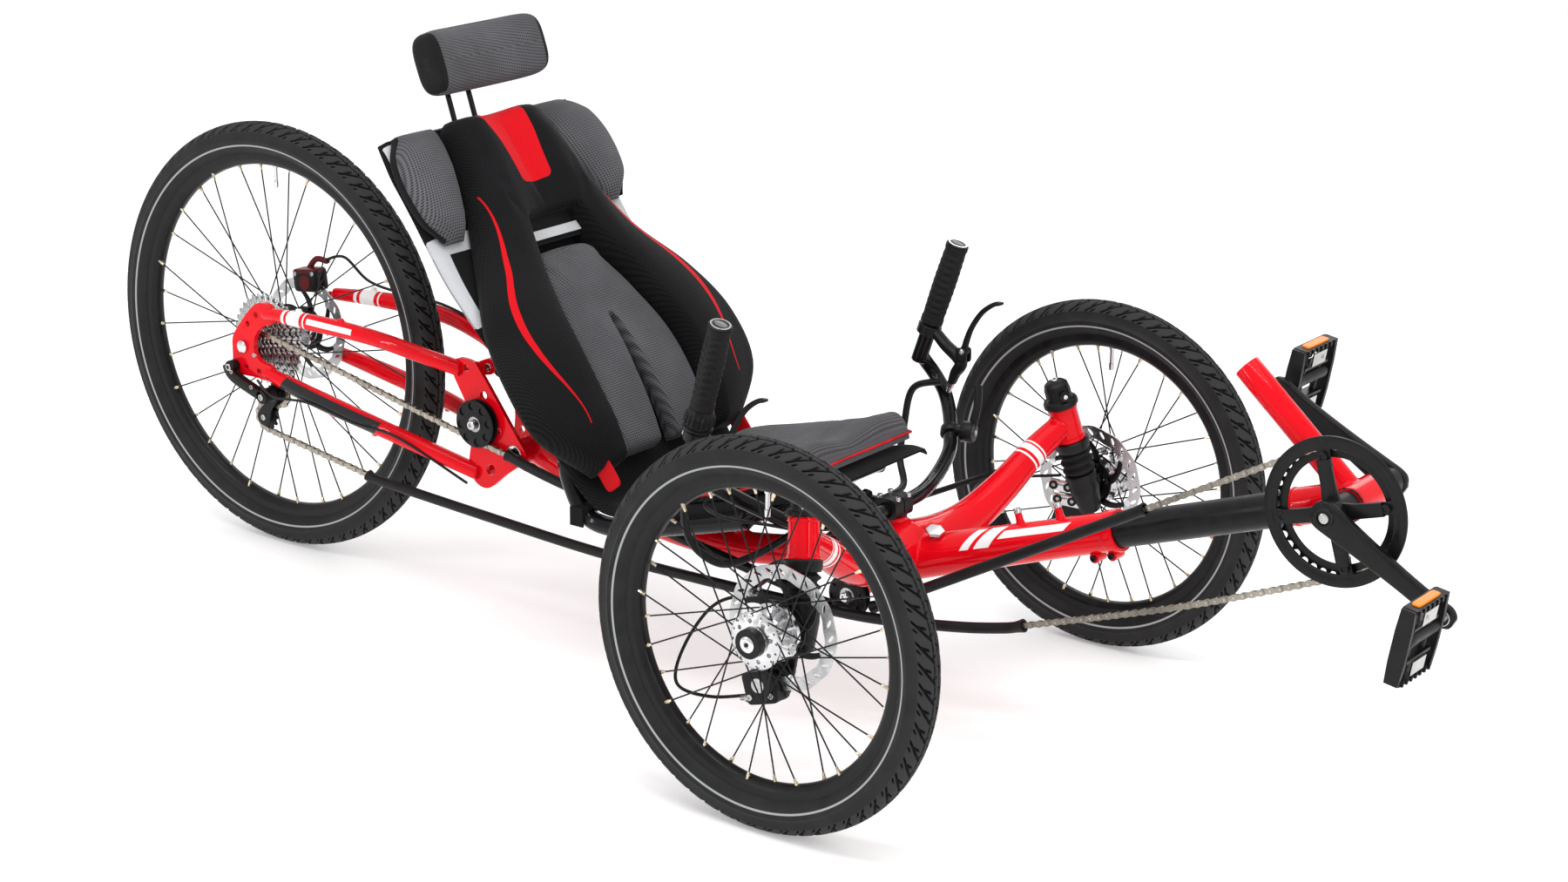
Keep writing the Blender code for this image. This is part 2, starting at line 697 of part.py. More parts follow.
def crank_arm(side, angle):
    """A crank arm with its pedal axle, for one side."""
    aim = Vector((math.cos(angle), 0, math.sin(angle)))
    across = Vector((-math.sin(angle), 0, math.cos(angle)))
    inner = side * CRANK_INNER_Y
    outer = side * (CRANK_INNER_Y + CRANK_THICKNESS)
    stations = ((-0.018, 0.010), (-0.010, 0.017), (0.020, 0.0165), (CRANK_LENGTH - 0.03, 0.012),
                (CRANK_LENGTH, 0.0145), (CRANK_LENGTH + 0.013, 0.008))
    loops = []
    for along, half in stations:
        middle = BB + aim * along
        loops.append([
            middle + across * half * 0.75 + Vector((0, outer, 0)),
            middle + across * half + Vector((0, inner + (outer - inner) * 0.6, 0)),
            middle + across * half + Vector((0, inner, 0)),
            middle - across * half + Vector((0, inner, 0)),
            middle - across * half + Vector((0, inner + (outer - inner) * 0.6, 0)),
            middle - across * half * 0.75 + Vector((0, outer, 0)),
        ])
    eye = BB + aim * CRANK_LENGTH
    axle = rod(eye + Vector((0, inner, 0)), eye + Vector((0, outer + side * (PEDAL_STAND_OFF + PEDAL_WIDTH * 0.84), 0)),
               PEDAL_AXLE_RADIUS, 8)
    return loft(loops), axle, eye


def make_cranks():
    """Both cranks, the chainring, its guard and the pedals."""
    angle = math.radians(CRANK_ANGLE_DEG)
    arm, axle, eye_right = crank_arm(RIGHT, angle)
    guard_y = CHAIN_Y - 0.0062
    spider_y = guard_y - 0.0046
    hub = rod(BB + Vector((0, -BB_SHELL_HALF_WIDTH - TOUCH_GAP, 0)), BB + Vector((0, -CRANK_INNER_Y - 0.006, 0)),
              0.0190, 10)
    spindle = rod(BB + Vector((0, -0.040, 0)), BB + Vector((0, CRANK_INNER_Y + 0.002, 0)), SPINDLE_RADIUS, 10)
    legs = []
    tabs = []
    for k in range(4):
        turn = angle + math.radians(45 + 90 * k)
        spin = Matrix.Rotation(-turn, 3, "Y")
        legs.append(block(BB + spin @ Vector((0.032, 0, 0)) + Vector((0, spider_y, 0)),
                          (0.060, 0.0060, 0.016), spin))
        tabs.append(block(spin @ Vector((0.0690, 0, 0)) + Vector((0, guard_y, 0)), (0.030, 0.0022, 0.014), spin))
        tabs.append(rod(spin @ Vector((0.0600, 0, 0)) + Vector((0, guard_y + 0.0005, 0)),
                        spin @ Vector((0.0600, 0, 0)) + Vector((0, CHAIN_Y + 0.0010, 0)), 0.0045, 8))
    mesh = carve(arm, added=[axle, hub, spindle] + legs)
    named("crank_right", mesh, "black_paint", BB)
    arm, axle, eye_left = crank_arm(LEFT, angle + math.pi)
    boss = rod(BB + Vector((0, BB_SHELL_HALF_WIDTH + TOUCH_GAP, 0)), BB + Vector((0, CRANK_INNER_Y + 0.006, 0)),
               0.0175, 10)
    socket = rod(BB + Vector((0, 0.02, 0)), BB + Vector((0, CRANK_INNER_Y + 0.003, 0)),
                 SPINDLE_RADIUS + TOUCH_GAP * 1.2, 10)
    named("crank_left", carve(arm, added=[axle, boss], removed=[socket]), "black_paint", BB)
    axis = Vector((0, 1, 0))
    line = Vector((0, CHAIN_Y, 0))
    root = CHAINRING_PITCH_RADIUS - CHAIN_HEIGHT / 2 - RUN_GAP
    ring = turned([(0.050, -0.0013), (root, -0.0013), (root, 0.0013), (0.050, 0.0013)], line, axis, 20)
    band = Vector((0, guard_y, 0))
    guard = turned([(0.0790, -0.0011), (GUARD_RADIUS, -0.0011), (GUARD_RADIUS, 0.0011), (0.0790, 0.0011)],
                   band, axis, 20)
    named("chainring", carve(guard, added=[ring] + tabs), "black_paint").location = BB
    for side, word, eye in ((RIGHT, "right", eye_right), (LEFT, "left", eye_left)):
        make_pedal("pedal_" + word, side, eye)


def make_pedal(name, side, eye):
    """A cage pedal that hangs on its axle with its upper end tipped forward."""
    near = side * (CRANK_INNER_Y + CRANK_THICKNESS + PEDAL_STAND_OFF)
    middle = eye + Vector((0, near + side * PEDAL_WIDTH / 2, 0))
    tip = Matrix.Rotation(math.radians(PEDAL_TILT_DEG), 3, "Y")
    cage = block(middle + tip @ Vector((0, 0, -0.004)), (PEDAL_THICKNESS, PEDAL_WIDTH, PEDAL_CHORD), tip)
    windows = []
    for along, tall in ((0.0265, 0.024), (-0.0310, 0.028)):
        windows.append(block(middle + tip @ Vector((0, 0, along)), (0.06, PEDAL_WIDTH - 0.020, tall), tip))
    bore = rod(eye + Vector((0, near - side * 0.01, 0)), eye + Vector((0, near + side * PEDAL_WIDTH * 0.86, 0)),
               PEDAL_AXLE_RADIUS + RUN_GAP, 8)
    named(name, carve(cage, removed=windows + [bore]), "black_plastic", eye)


def arc_points(centre, radius, start, end, steps):
    """Points round an arc in the upright plane of the chain."""
    result = []
    for k in range(steps + 1):
        t = start + (end - start) * k / steps
        result.append(centre + Vector((radius * math.cos(t), 0, radius * math.sin(t))))
    return result


def tangent_angle(a, radius_a, sense_a, b, radius_b, sense_b):
    """Angles at which a chain leaves one wheel and meets the next; sense is 1 for anticlockwise."""
    dx = b.x - a.x
    dz = b.z - a.z
    distance = math.hypot(dx, dz)
    heading = math.atan2(dz, dx)
    shift = math.asin((sense_b * radius_b - sense_a * radius_a) / distance)
    run = heading - shift
    leave = run - sense_a * math.pi / 2
    meet = run - sense_b * math.pi / 2
    return leave, meet


def wrap(start, end, sense):
    """The end angle carried past the start angle in the direction of travel."""
    while sense * (end - start) < 0:
        end += sense * 2 * math.pi
    while sense * (end - start) > 2 * math.pi:
        end -= sense * 2 * math.pi
    return end


def front_tube_line():
    """The straight run of the power chain from the front idler to the chainring."""
    ring = BB + Vector((0, CHAIN_Y, 0))
    leave, meet = tangent_angle(FRONT_IDLER, IDLER_PITCH_RADIUS, 1, ring, CHAINRING_PITCH_RADIUS, -1)
    return (arc_points(FRONT_IDLER, IDLER_PITCH_RADIUS, leave, leave, 1)[0],
            arc_points(ring, CHAINRING_PITCH_RADIUS, meet, meet, 1)[0])


RETURN_ROUTE = (
    (0.159, -0.0640, -0.048), (0.060, -0.0700, -0.071), (-0.060, -0.0790, -0.085),
    (-0.180, -0.0790, -0.091), (-0.350, -0.0775, -0.096), (-0.534, -0.0750, -0.098),
    (-0.760, -0.0670, -0.092), (-0.972, -0.0590, -0.082),
)


def make_chain():
    """Both visible stretches of the chain, the idlers and the chain tubes."""
    up = Vector((0, 1, 0))
    ring = BB + Vector((0, CHAIN_Y, 0))
    low, high = front_tube_line()
    aim = (high - low).normalized()
    mouth_x = FRONT_AXLE_X + 0.319
    mouth = low + aim * ((mouth_x - low.x) / aim.x)
    entry = front(*RETURN_ROUTE[0])
    meet = math.atan2(high.z - ring.z, high.x - ring.x)
    leave = tangent_angle(entry, 0.0, 1, ring, CHAINRING_PITCH_RADIUS, 1)[1]
    leave = wrap(meet, leave, -1)
    path = [mouth - aim * 0.030] + arc_points(ring, CHAINRING_PITCH_RADIUS, meet, leave, 16)
    sag = (entry + path[-1]) / 2 - Vector((0, 0, CHAIN_SAG))
    last_run = (entry - sag).normalized()
    path.append(sag)
    path.append(entry + last_run * 0.015)
    named("chain_front", ribbon(path, CHAIN_WIDTH / 2, CHAIN_HEIGHT / 2, up), "steel", BB)
    start = low + aim * 0.028
    named("chain_tube_front", pipe([start, mouth], CHAIN_TUBE_RADIUS, CHAIN_TUBE_BORE), "black_plastic")

    rear_mouth = REAR_TUBE_MOUTH
    bend = front(-0.5900, CHAIN_Y, -0.0220)
    meet = tangent_angle(bend, 0.0, 1, FRONT_IDLER, IDLER_PITCH_RADIUS, 1)[1]
    touch = arc_points(FRONT_IDLER, IDLER_PITCH_RADIUS, meet, meet, 1)[0]
    back = (bend - touch).normalized()
    named("chain_tube_rear", pipe([touch + back * 0.028, bend, rear_mouth], CHAIN_TUBE_RADIUS, CHAIN_TUBE_BORE),
          "black_plastic")

    route = [front(*p) for p in RETURN_ROUTE]
    route.insert(1, entry + last_run * 0.030)
    cog_line = REAR_AXLE + Vector((0, CHAIN_Y, 0))
    exit_point = route[-1]
    leave_low, meet_low = tangent_angle(JOCKEY_LOWER, JOCKEY_PITCH_RADIUS, 1, exit_point, 0.0, 1)
    foot = arc_points(JOCKEY_LOWER, JOCKEY_PITCH_RADIUS, leave_low, leave_low, 1)[0]
    forward = (exit_point - foot).normalized()
    route.insert(-1, exit_point + forward * 0.030)
    named("chain_tube_return", pipe(route, CHAIN_TUBE_RADIUS, CHAIN_TUBE_BORE, 7), "black_plastic")

    begin = rear_mouth + (rear_mouth - bend).normalized() * -0.012
    rear_meet = tangent_angle(begin, 0.0, -1, REAR_IDLER, IDLER_PITCH_RADIUS, -1)[1]
    rear_leave, cog_meet = tangent_angle(REAR_IDLER, IDLER_PITCH_RADIUS, -1, cog_line, SMALL_COG_PITCH_RADIUS, 1)
    cog_leave, upper_meet = tangent_angle(cog_line, SMALL_COG_PITCH_RADIUS, 1, JOCKEY_UPPER, JOCKEY_PITCH_RADIUS, -1)
    upper_leave, lower_meet = tangent_angle(JOCKEY_UPPER, JOCKEY_PITCH_RADIUS, -1, JOCKEY_LOWER, JOCKEY_PITCH_RADIUS, 1)
    path = [begin]
    path += arc_points(REAR_IDLER, IDLER_PITCH_RADIUS, rear_meet, wrap(rear_meet, rear_leave, -1), 3)
    path += arc_points(cog_line, SMALL_COG_PITCH_RADIUS, cog_meet, wrap(cog_meet, cog_leave, 1), 8)
    path += arc_points(JOCKEY_UPPER, JOCKEY_PITCH_RADIUS, upper_meet, wrap(upper_meet, upper_leave, -1), 6)
    path += arc_points(JOCKEY_LOWER, JOCKEY_PITCH_RADIUS, lower_meet, wrap(lower_meet, leave_low, 1), 8)
    path.append(exit_point + forward * 0.012)
    named("chain_rear", ribbon(path, CHAIN_WIDTH / 2, CHAIN_HEIGHT / 2, up), "steel", REAR_AXLE)

    root = IDLER_PITCH_RADIUS - CHAIN_HEIGHT / 2 - CHORD_GAP
    groove = CHAIN_WIDTH / 2 + RUN_GAP
    profile = [
        (IDLER_AXLE_RADIUS + RUN_GAP, -0.0070), (IDLER_FLANGE_RADIUS, -0.0065), (IDLER_FLANGE_RADIUS, -groove),
        (root, -groove), (root, groove), (IDLER_FLANGE_RADIUS, groove), (IDLER_FLANGE_RADIUS, 0.0065),
        (IDLER_AXLE_RADIUS + RUN_GAP, 0.0070),
    ]
    for name, place in (("idler_front", FRONT_IDLER), ("idler_rear", REAR_IDLER)):
        named(name, turned(profile, place, up, 12), "black_plastic", place)


def make_derailleur():
    """Rear derailleur: hanger link, swinging cage and its two jockey wheels."""
    gap = CHAIN_WIDTH / 2 + RUN_GAP
    cage_out = CHAIN_Y - gap - 0.0070
    bolt = rear(-0.018, -DROPOUT_INNER - DROPOUT_THICKNESS - TOUCH_GAP, -0.032)
    hip = Vector((JOCKEY_UPPER.x, cage_out - TOUCH_GAP, JOCKEY_UPPER.z))
    arm_y = Vector((0, -0.0870, 0))
    link = rod(bolt, bolt + Vector((0, -0.0160, 0)), 0.0085, 8)
    arm = tube([rear(-0.024, 0, -0.028) + arm_y,
                rear(-0.012, 0, -0.044) + arm_y, Vector((hip.x, 0, hip.z)) + arm_y], [0.0075, 0.0085, 0.0080], 8)
    barrel = rod(hip, Vector((hip.x, -0.0930, hip.z)), 0.0110, 10)
    named("derailleur_body", carve(arm, added=[link, barrel]), "black_paint", bolt)
    outline = []
    lean = math.atan2(JOCKEY_LOWER.z - JOCKEY_UPPER.z, JOCKEY_LOWER.x - JOCKEY_UPPER.x)
    for place, start in ((JOCKEY_UPPER, lean + math.pi / 2), (JOCKEY_LOWER, lean - math.pi / 2)):
        for k in range(5):
            turn = start + math.radians(45 * k)
            outline.append(place + Vector((0.013 * math.cos(turn), 0, 0.013 * math.sin(turn))))
    outer = plate(outline, cage_out, cage_out + 0.0030)
    inner = plate(outline, CHAIN_Y + gap + 0.0012, CHAIN_Y + gap + 0.0032)
    pins = [rod(Vector((p.x, cage_out + 0.001, p.z)), Vector((p.x, CHAIN_Y + gap + 0.002, p.z)), 0.0030, 8)
            for p in (JOCKEY_UPPER, JOCKEY_LOWER)]
    named("derailleur_cage", carve(outer, added=[inner] + pins), "black_paint", JOCKEY_UPPER)
    root = JOCKEY_PITCH_RADIUS - CHAIN_HEIGHT / 2 - CHORD_GAP
    for name, place in (("jockey_upper", JOCKEY_UPPER), ("jockey_lower", JOCKEY_LOWER)):
        profile = [(0.0030 + RUN_GAP, -0.0030), (root, -0.0030), (root, 0.0030), (0.0030 + RUN_GAP, 0.0030)]
        named(name, turned(profile, place, Vector((0, 1, 0)), 12), "black_plastic", place)


def kingpin_part(side, profile, sides, word, finish, origin):
    """A piece turned about one kingpin's axis."""
    rise, low = kingpin_axis(side)
    return named(word, turned(profile, low, rise, sides), finish, origin)


def tie_points(side):
    """The centres of a tie rod's inner and outer eyes."""
    height = BAR_HEIGHT - BAR_RADIUS - 0.0205
    inner = front(STEER_X - DROP_ARM_LENGTH, side * DROP_ARM_SPREAD, height)
    rise, low = kingpin_axis(side)
    outer = low - rise * (COLLAR_LENGTH * 0.5) + Vector((-0.062, side * 0.019, -0.0386))
    return inner, outer


def make_front_suspension():
    """Kingpins with their steering arms, uprights, bellows, calipers and tie rods."""
    for side, word in ((LEFT, "left"), (RIGHT, "right")):
        rise, low = kingpin_axis(side)
        inner_eye, outer_eye = tie_points(side)
        collar = -COLLAR_LENGTH - TOUCH_GAP
        bellows_low = collar - BELLOWS_LENGTH
        upright_low = bellows_low - UPRIGHT_LENGTH
        top = HEAD_LENGTH + TOUCH_GAP
        profile = [
            (0, top + 0.0400), (KNOB_RADIUS * 0.6, top + 0.0385), (KNOB_RADIUS, top + 0.0290),
            (KNOB_RADIUS, top + 0.0150), (CAP_RADIUS, top + 0.0120), (CAP_RADIUS, top),
            (KINGPIN_RADIUS, top), (KINGPIN_RADIUS, -TOUCH_GAP), (COLLAR_RADIUS, -TOUCH_GAP),
            (COLLAR_RADIUS, collar), (KINGPIN_RADIUS, collar), (KINGPIN_RADIUS, bellows_low - PIN_ENGAGEMENT),
            (0, bellows_low - PIN_ENGAGEMENT - 0.0010),
        ]
        pin = turned(profile, low, rise, 10, closed_profile=False)
        arm_root = low - rise * (COLLAR_LENGTH * 0.5)
        arm_eye = outer_eye + Vector((0, 0, 0.0095))
        knee = arm_root + Vector((-0.036, side * 0.006, -0.0050))
        arm = ribbon([arm_root + Vector((-0.008, 0, -0.002)), knee, arm_eye], 0.0035, 0.0090, Vector((0, 0, 1)))
        tip = rod(arm_eye + Vector((0, 0, -0.0035)), arm_eye + Vector((0, 0, 0.0035)), 0.0100, 8)
        stud = rod(arm_eye, outer_eye + Vector((0, 0, -0.0045)), TIE_STUD_RADIUS, 8)
        lower = rod(outer_eye + Vector((0, 0, -0.0085)), outer_eye + Vector((0, 0, -0.0045)), 0.0070, 8)
        named("kingpin_" + word, carve(pin, added=[arm, tip, stud, lower]), "black_paint", low)

        folds = 3
        bore = KINGPIN_RADIUS + RUN_GAP
        span = BELLOWS_LENGTH - 2 * TOUCH_GAP
        first = collar - TOUCH_GAP
        fold = [(BELLOWS_RADIUS * (1.0 if k % 2 else 0.80), first - span * k / (2 * folds)) for k in range(2 * folds + 1)]
        kingpin_part(side, [(bore, first)] + fold + [(bore, first - span)], 10, "bellows_" + word, "rubber", low)

        make_upright(side, word, rise, low, bellows_low, upright_low)
        make_tie_rod("tie_rod_" + word, inner_eye, outer_eye)


def make_upright(side, word, rise, low, top, bottom):
    """The sliding upright with its stub axle, and the front caliper on its bracket."""
    hub_y = FRONT_HALF_TRACK
    barrel = turned([(0, top), (UPRIGHT_RADIUS, top), (UPRIGHT_RADIUS, (top + bottom) / 2),
                     (UPRIGHT_FOOT_RADIUS, bottom), (0, bottom)], low, rise, 10, closed_profile=False)
    face = hub_y - FRONT_ROTOR_INSET
    boss = rod(front(0, side * (face - 0.024), 0), front(0, side * (face - 0.006), 0), 0.0170, 10)
    spacer = rod(front(0, side * (face - 0.010), 0), front(0, side * (face + ROTOR_THICKNESS / 2), 0), 0.0115, 10)
    axle = rod(front(0, side * (face - 0.010), 0), front(0, side * (hub_y + 0.0305), 0), FRONT_AXLE_RADIUS, 10)
    bolt = rod(front(0, side * (hub_y + 0.0304), 0), front(0, side * (hub_y + 0.0350), 0), 0.0110, 10)
    near = side * (face - 0.0180)
    far = side * (face - 0.0110)
    ear = plate([front(0.012, 0, -0.010), front(0.010, 0, -0.050), front(-0.004, 0, -0.096), front(-0.044, 0, -0.090),
                 front(-0.050, 0, -0.060), front(-0.016, 0, 0.008)], near, far)
    links = []
    for z in (0.000, -0.021):
        middle = low + rise * ((FRONT_TYRE_RADIUS + z - low.z) / rise.z)
        start = middle + Vector((-0.006, -side * 0.0120, 0))
        end = middle + Vector((-0.040, -side * 0.0240, 0.004))
        links.append(ribbon([start, end], 0.0030, 0.0080, Vector((0, 1, 0))))
    shaft = rod(low + rise * (top + 0.01), low + rise * (bottom + 0.0035), KINGPIN_RADIUS + RUN_GAP, 10)
    mesh = carve(barrel, added=[boss, spacer, axle, bolt, ear] + links, removed=[shaft])
    named("upright_" + word, mesh, "black_paint", low)

    centre = front(-0.024, side * face, -0.080)
    turn = Matrix.Rotation(math.radians(-17), 3, "Y")
    body = block(centre, (0.050, 0.032, 0.044), turn)
    slot = turned([(0, -0.0022), (ROTOR_RADIUS + 0.0020, -0.0022), (ROTOR_RADIUS + 0.0020, 0.0022), (0, 0.0022)],
                  front(0, side * face, 0), Vector((0, 1, 0)), 24, closed_profile=False)
    inner_face = side * (face - 0.0110) + side * TOUCH_GAP
    clear = plate([front(-0.2, 0, -0.2), front(0.2, 0, -0.2), front(0.2, 0, 0.2), front(-0.2, 0, 0.2)],
                  inner_face - side * 0.030, inner_face)
    named("caliper_" + word, carve(body, removed=[slot, clear]), "black_paint", centre)


def make_tie_rod(name, inner, outer):
    """A tie rod with an eye at each end."""
    aim = (outer - inner).normalized()
    bar = rod(inner + aim * 0.005, outer - aim * 0.005, TIE_ROD_RADIUS, 8)
    eyes = []
    cuts = []
    for place in (inner, outer):
        up = Vector((0, 0, 0.0038))
        eyes.append(rod(place - up, place + up, TIE_EYE_RADIUS, 10))
        cuts.append(rod(place - up * 3, place + up * 3, TIE_EYE_BORE, 10))
    named(name, carve(bar, added=eyes, removed=cuts), "black_paint", inner)


BAR_ROUTE = (
    (-0.084, 0.0000, 0.0405), (-0.084, 0.0240, 0.0405), (-0.088, 0.0720, 0.0415), (-0.101, 0.1240, 0.0475),
    (-0.119, 0.1800, 0.0615), (-0.135, 0.2080, 0.0780), (-0.156, 0.2360, 0.0980), (-0.180, 0.2590, 0.1180), (-0.203, 0.2690, 0.1370),
    (-0.214, 0.2610, 0.1560), (-0.2145, 0.2520, 0.1680),
)
GRIP_FOOT = (-0.219, 0.2510, 0.1570)
GRIP_HEAD = (-0.167, 0.2630, 0.3290)


def grip_axis():
    """The foot and the upward direction of the left grip tube."""
    foot = front(*GRIP_FOOT)
    return foot, (front(*GRIP_HEAD) - foot)


def make_handlebar():
    """Under-seat handlebar, stem, grips, twist shifter, brake levers and thumb lever."""
    foot, reach = grip_axis()
    length = reach.length
    aim = reach.normalized()
    left = [front(*p) for p in BAR_ROUTE]
    bends = [other_side(p) for p in left[::-1]] + left[1:]
    uprights = [rod(foot, foot + aim * (length - 0.006), GRIP_TUBE_RADIUS, 10)]
    uprights.append(mirrored(uprights[0]))
    pod = front(-0.1095, 0.2157, 0.0840)
    pod_axis = Vector((0.98, 0.20, 0.0))
    pod_stub = rod(pod - pod_axis * 0.0270, pod - pod_axis * 0.0100, 0.0070, 8)
    under_grip = length - GRIP_LENGTH - 0.0100
    aim_right = Vector((aim.x, -aim.y, aim.z))
    brackets = [
        make_brake_lever(LEFT, foot, aim, under_grip, LEFT_LEVER_PIN),
        make_brake_lever(RIGHT, other_side(foot), aim_right, under_grip - SHIFTER_LENGTH, RIGHT_LEVER_PIN),
    ]
    mesh = carve(tube(bends, BAR_RADIUS, 7), added=uprights + [pod_stub] + brackets)
    named("handlebar", mesh, "black_paint", STEER_POINT)

    bore = rod(front(STEER_X, -0.05, BAR_HEIGHT), front(STEER_X, 0.05, BAR_HEIGHT), BAR_RADIUS + TOUCH_GAP * 2, 10)
    low = BAR_HEIGHT - BAR_RADIUS - 0.0006
    clamp = block(front(STEER_X, 0, BAR_HEIGHT + 0.003), (0.034, 0.040, 0.0270 + 0.0006))
    post = rod(front(STEER_X, 0, -0.019), front(STEER_X, 0, low), 0.0090, 10)
    under = block(front(STEER_X, 0, low), (0.032, 0.034, 0.0008))
    arm_top = low + 0.0062
    back = STEER_X - DROP_ARM_LENGTH
    outline = [Vector((FRONT_AXLE_X + x, y, 0)) for x, y in (
        (STEER_X - 0.010, -0.0180), (STEER_X - 0.010, 0.0180), (back + 0.010, DROP_ARM_SPREAD + 0.009),
        (back - 0.009, DROP_ARM_SPREAD + 0.009), (back - 0.009, -DROP_ARM_SPREAD - 0.009),
        (back + 0.010, -DROP_ARM_SPREAD - 0.009))]
    loops = [[Vector((p.x, p.y, FRONT_TYRE_RADIUS + z)) for p in outline] for z in (low, arm_top)]
    studs = []
    for side in (LEFT, RIGHT):
        inner, outer = tie_points(side)
        studs.append(rod(inner + Vector((0, 0, 0.0210)), inner + Vector((0, 0, 0.0085)), 0.0075, 6))
        studs.append(rod(inner + Vector((0, 0, 0.0090)), inner - Vector((0, 0, 0.0050)), TIE_STUD_RADIUS, 8))
        studs.append(rod(inner - Vector((0, 0, 0.0048)), inner - Vector((0, 0, 0.0080)), 0.0075, 8))
    named("handlebar_stem", carve(clamp, added=[post, under, loft(loops)] + studs, removed=[bore]),
          "black_paint", STEER_POINT)

    grip_start = length - GRIP_LENGTH
    bore_r = GRIP_TUBE_RADIUS + TOUCH_GAP * 1.5
    profile = [
        (0, length), (GRIP_RADIUS * 0.7, length), (GRIP_RADIUS, length - 0.004),
        (GRIP_RADIUS, grip_start + 0.010), (GRIP_RADIUS * 0.96, grip_start), (bore_r, grip_start),
        (bore_r, length - 0.0055), (0, length - 0.0055),
    ]
    grip = turned(profile, foot, aim, 12, closed_profile=False)
    named("grip_right", mirrored(grip), "rubber", other_side(foot))
    named("grip_left", grip, "rubber", foot)
    shift_top = grip_start - TOUCH_GAP
    shift_low = shift_top - SHIFTER_LENGTH
    profile = [(bore_r, shift_low), (SHIFTER_RADIUS, shift_low), (SHIFTER_RADIUS * 0.98, shift_low + 0.012),
               (GRIP_RADIUS, shift_top), (bore_r, shift_top)]
    shifter = turned(profile, other_side(foot), Vector((aim.x, -aim.y, aim.z)), 14)
    named("twist_shifter", shifter, "black_plastic", other_side(foot))

    hub = rod(pod - pod_axis * (0.0100 - TOUCH_GAP), pod + pod_axis * 0.0080, 0.0145, 10)
    blade = ribbon([pod + Vector((0.002, 0.004, 0.004)), pod + Vector((0.004, 0.012, 0.036)),
                    pod + Vector((0.000, 0.018, 0.062))], 0.0050, 0.0035, Vector((1, 0, 0)))
    named("thumb_lever", carve(hub, added=[blade]), "black_plastic", pod)


def make_brake_lever(side, foot, aim, clamp_at, pin):
    """A hooked lever, and the clamp with the bracket that holds it."""
    middle = foot + aim * clamp_at
    ring = rod(middle - aim * 0.0070, middle + aim * 0.0070, 0.0165, 12)
    toward = Vector((pin.x - middle.x, pin.y - middle.y, 0)).normalized()
    start = middle + toward * 0.0100 + Vector((0, 0, -0.0020))
    low = pin + Vector((-0.006, 0, -0.016))
    neck = ribbon([start, start + (low - start) * 0.4 + Vector((0, 0, -0.0015)), low,
                   pin + Vector((-0.019, 0, -0.048))], 0.0072, 0.0078, Vector((0, 1, 0)))
    cheeks = block(pin + Vector((-0.002, 0, -0.006)), (0.018, 0.0150, 0.022))
    slot = block(pin + Vector((0.006, 0, 0.0020)), (0.032, 0.0078, 0.030))
    bolt = rod(pin + Vector((0, -0.0085, 0)), pin + Vector((0, 0.0085, 0)), 0.0025, 8)
    bracket = carve(carve(ring, added=[neck, cheeks], removed=[slot]), added=[bolt])
    blade = ribbon([
        pin + Vector((-0.003, 0, -0.007)), pin + Vector((0.003, 0, 0.016)), pin + Vector((0.011, 0, 0.036)),
        pin + Vector((0.026, 0, 0.058)), pin + Vector((0.044, 0, 0.072)), pin + Vector((0.057, 0, 0.0755)),
    ], 0.0033, 0.0042, Vector((0, 1, 0)))
    hole = rod(pin + Vector((0, -0.01, 0)), pin + Vector((0, 0.01, 0)), 0.0025 + RUN_GAP, 8)
    word = "left" if side == LEFT else "right"
    named("brake_lever_" + word, carve(blade, removed=[hole]), "black_paint", pin)
    return bracket


SEAT_PROFILE = (
    (-0.440, 0.052), (-0.470, 0.117), (-0.520, 0.189), (-0.580, 0.252), (-0.640, 0.314),
    (-0.690, 0.384), (-0.733, 0.442), (-0.768, 0.483),
)
BASE_PROFILE = (
    (-0.125, 0.078), (-0.160, 0.076), (-0.250, 0.047), (-0.340, 0.022), (-0.410, 0.008), (-0.448, 0.010),
)
BASE_HALF_WIDTHS = (0.138, 0.142, 0.149, 0.152, 0.158, 0.160)
SLING_HALF_WIDTHS = (0.165, 0.190, 0.200, 0.200, 0.200, 0.200, 0.200, 0.190)
BACK_HALF_WIDTHS = (0.150, 0.225, 0.236, 0.212, 0.158, 0.118, 0.100, 0.086)
OPENING_HALF_WIDTHS = (0.098, 0.106, 0.104, 0.086, 0.058, 0.046)


def seat_cross_height(x):
    """The top of the frame's seat post, just under the seat frame's cross tube."""
    return seat_tube_height(x) - SEAT_TUBE_RADIUS - TOUCH_GAP


def seat_tube_height(x):
    """Height of the seat frame's side tubes under the base, from the front axle line."""
    return 0.0018 + (x + 0.330) * 0.278


def back_frames():
    """Front surface of the seat back: place, front normal and upward tangent at each station."""
    places = [front(x, 0, z) for x, z in SEAT_PROFILE]
    result = []
    for i, here in enumerate(places):
        before = places[max(i - 1, 0)]
        after = places[min(i + 1, len(places) - 1)]
        up = (after - before).normalized()
        result.append((here, Vector((up.z, 0, -up.x)), up))
    return result


def finer(values, steps):
    """The same list of numbers with points in between, on a smooth curve."""
    return [p.x for p in smooth_path([Vector((v, 0, 0)) for v in values], steps)]


def finer_frames(steps):
    """Seat back stations with more points in between."""
    stations = back_frames()
    places = smooth_path([s[0] for s in stations], steps)
    normals = smooth_path([s[1] for s in stations], steps)
    tangents = smooth_path([s[2] for s in stations], steps)
    return [(p, n.normalized(), t.normalized()) for p, n, t in zip(places, normals, tangents)]


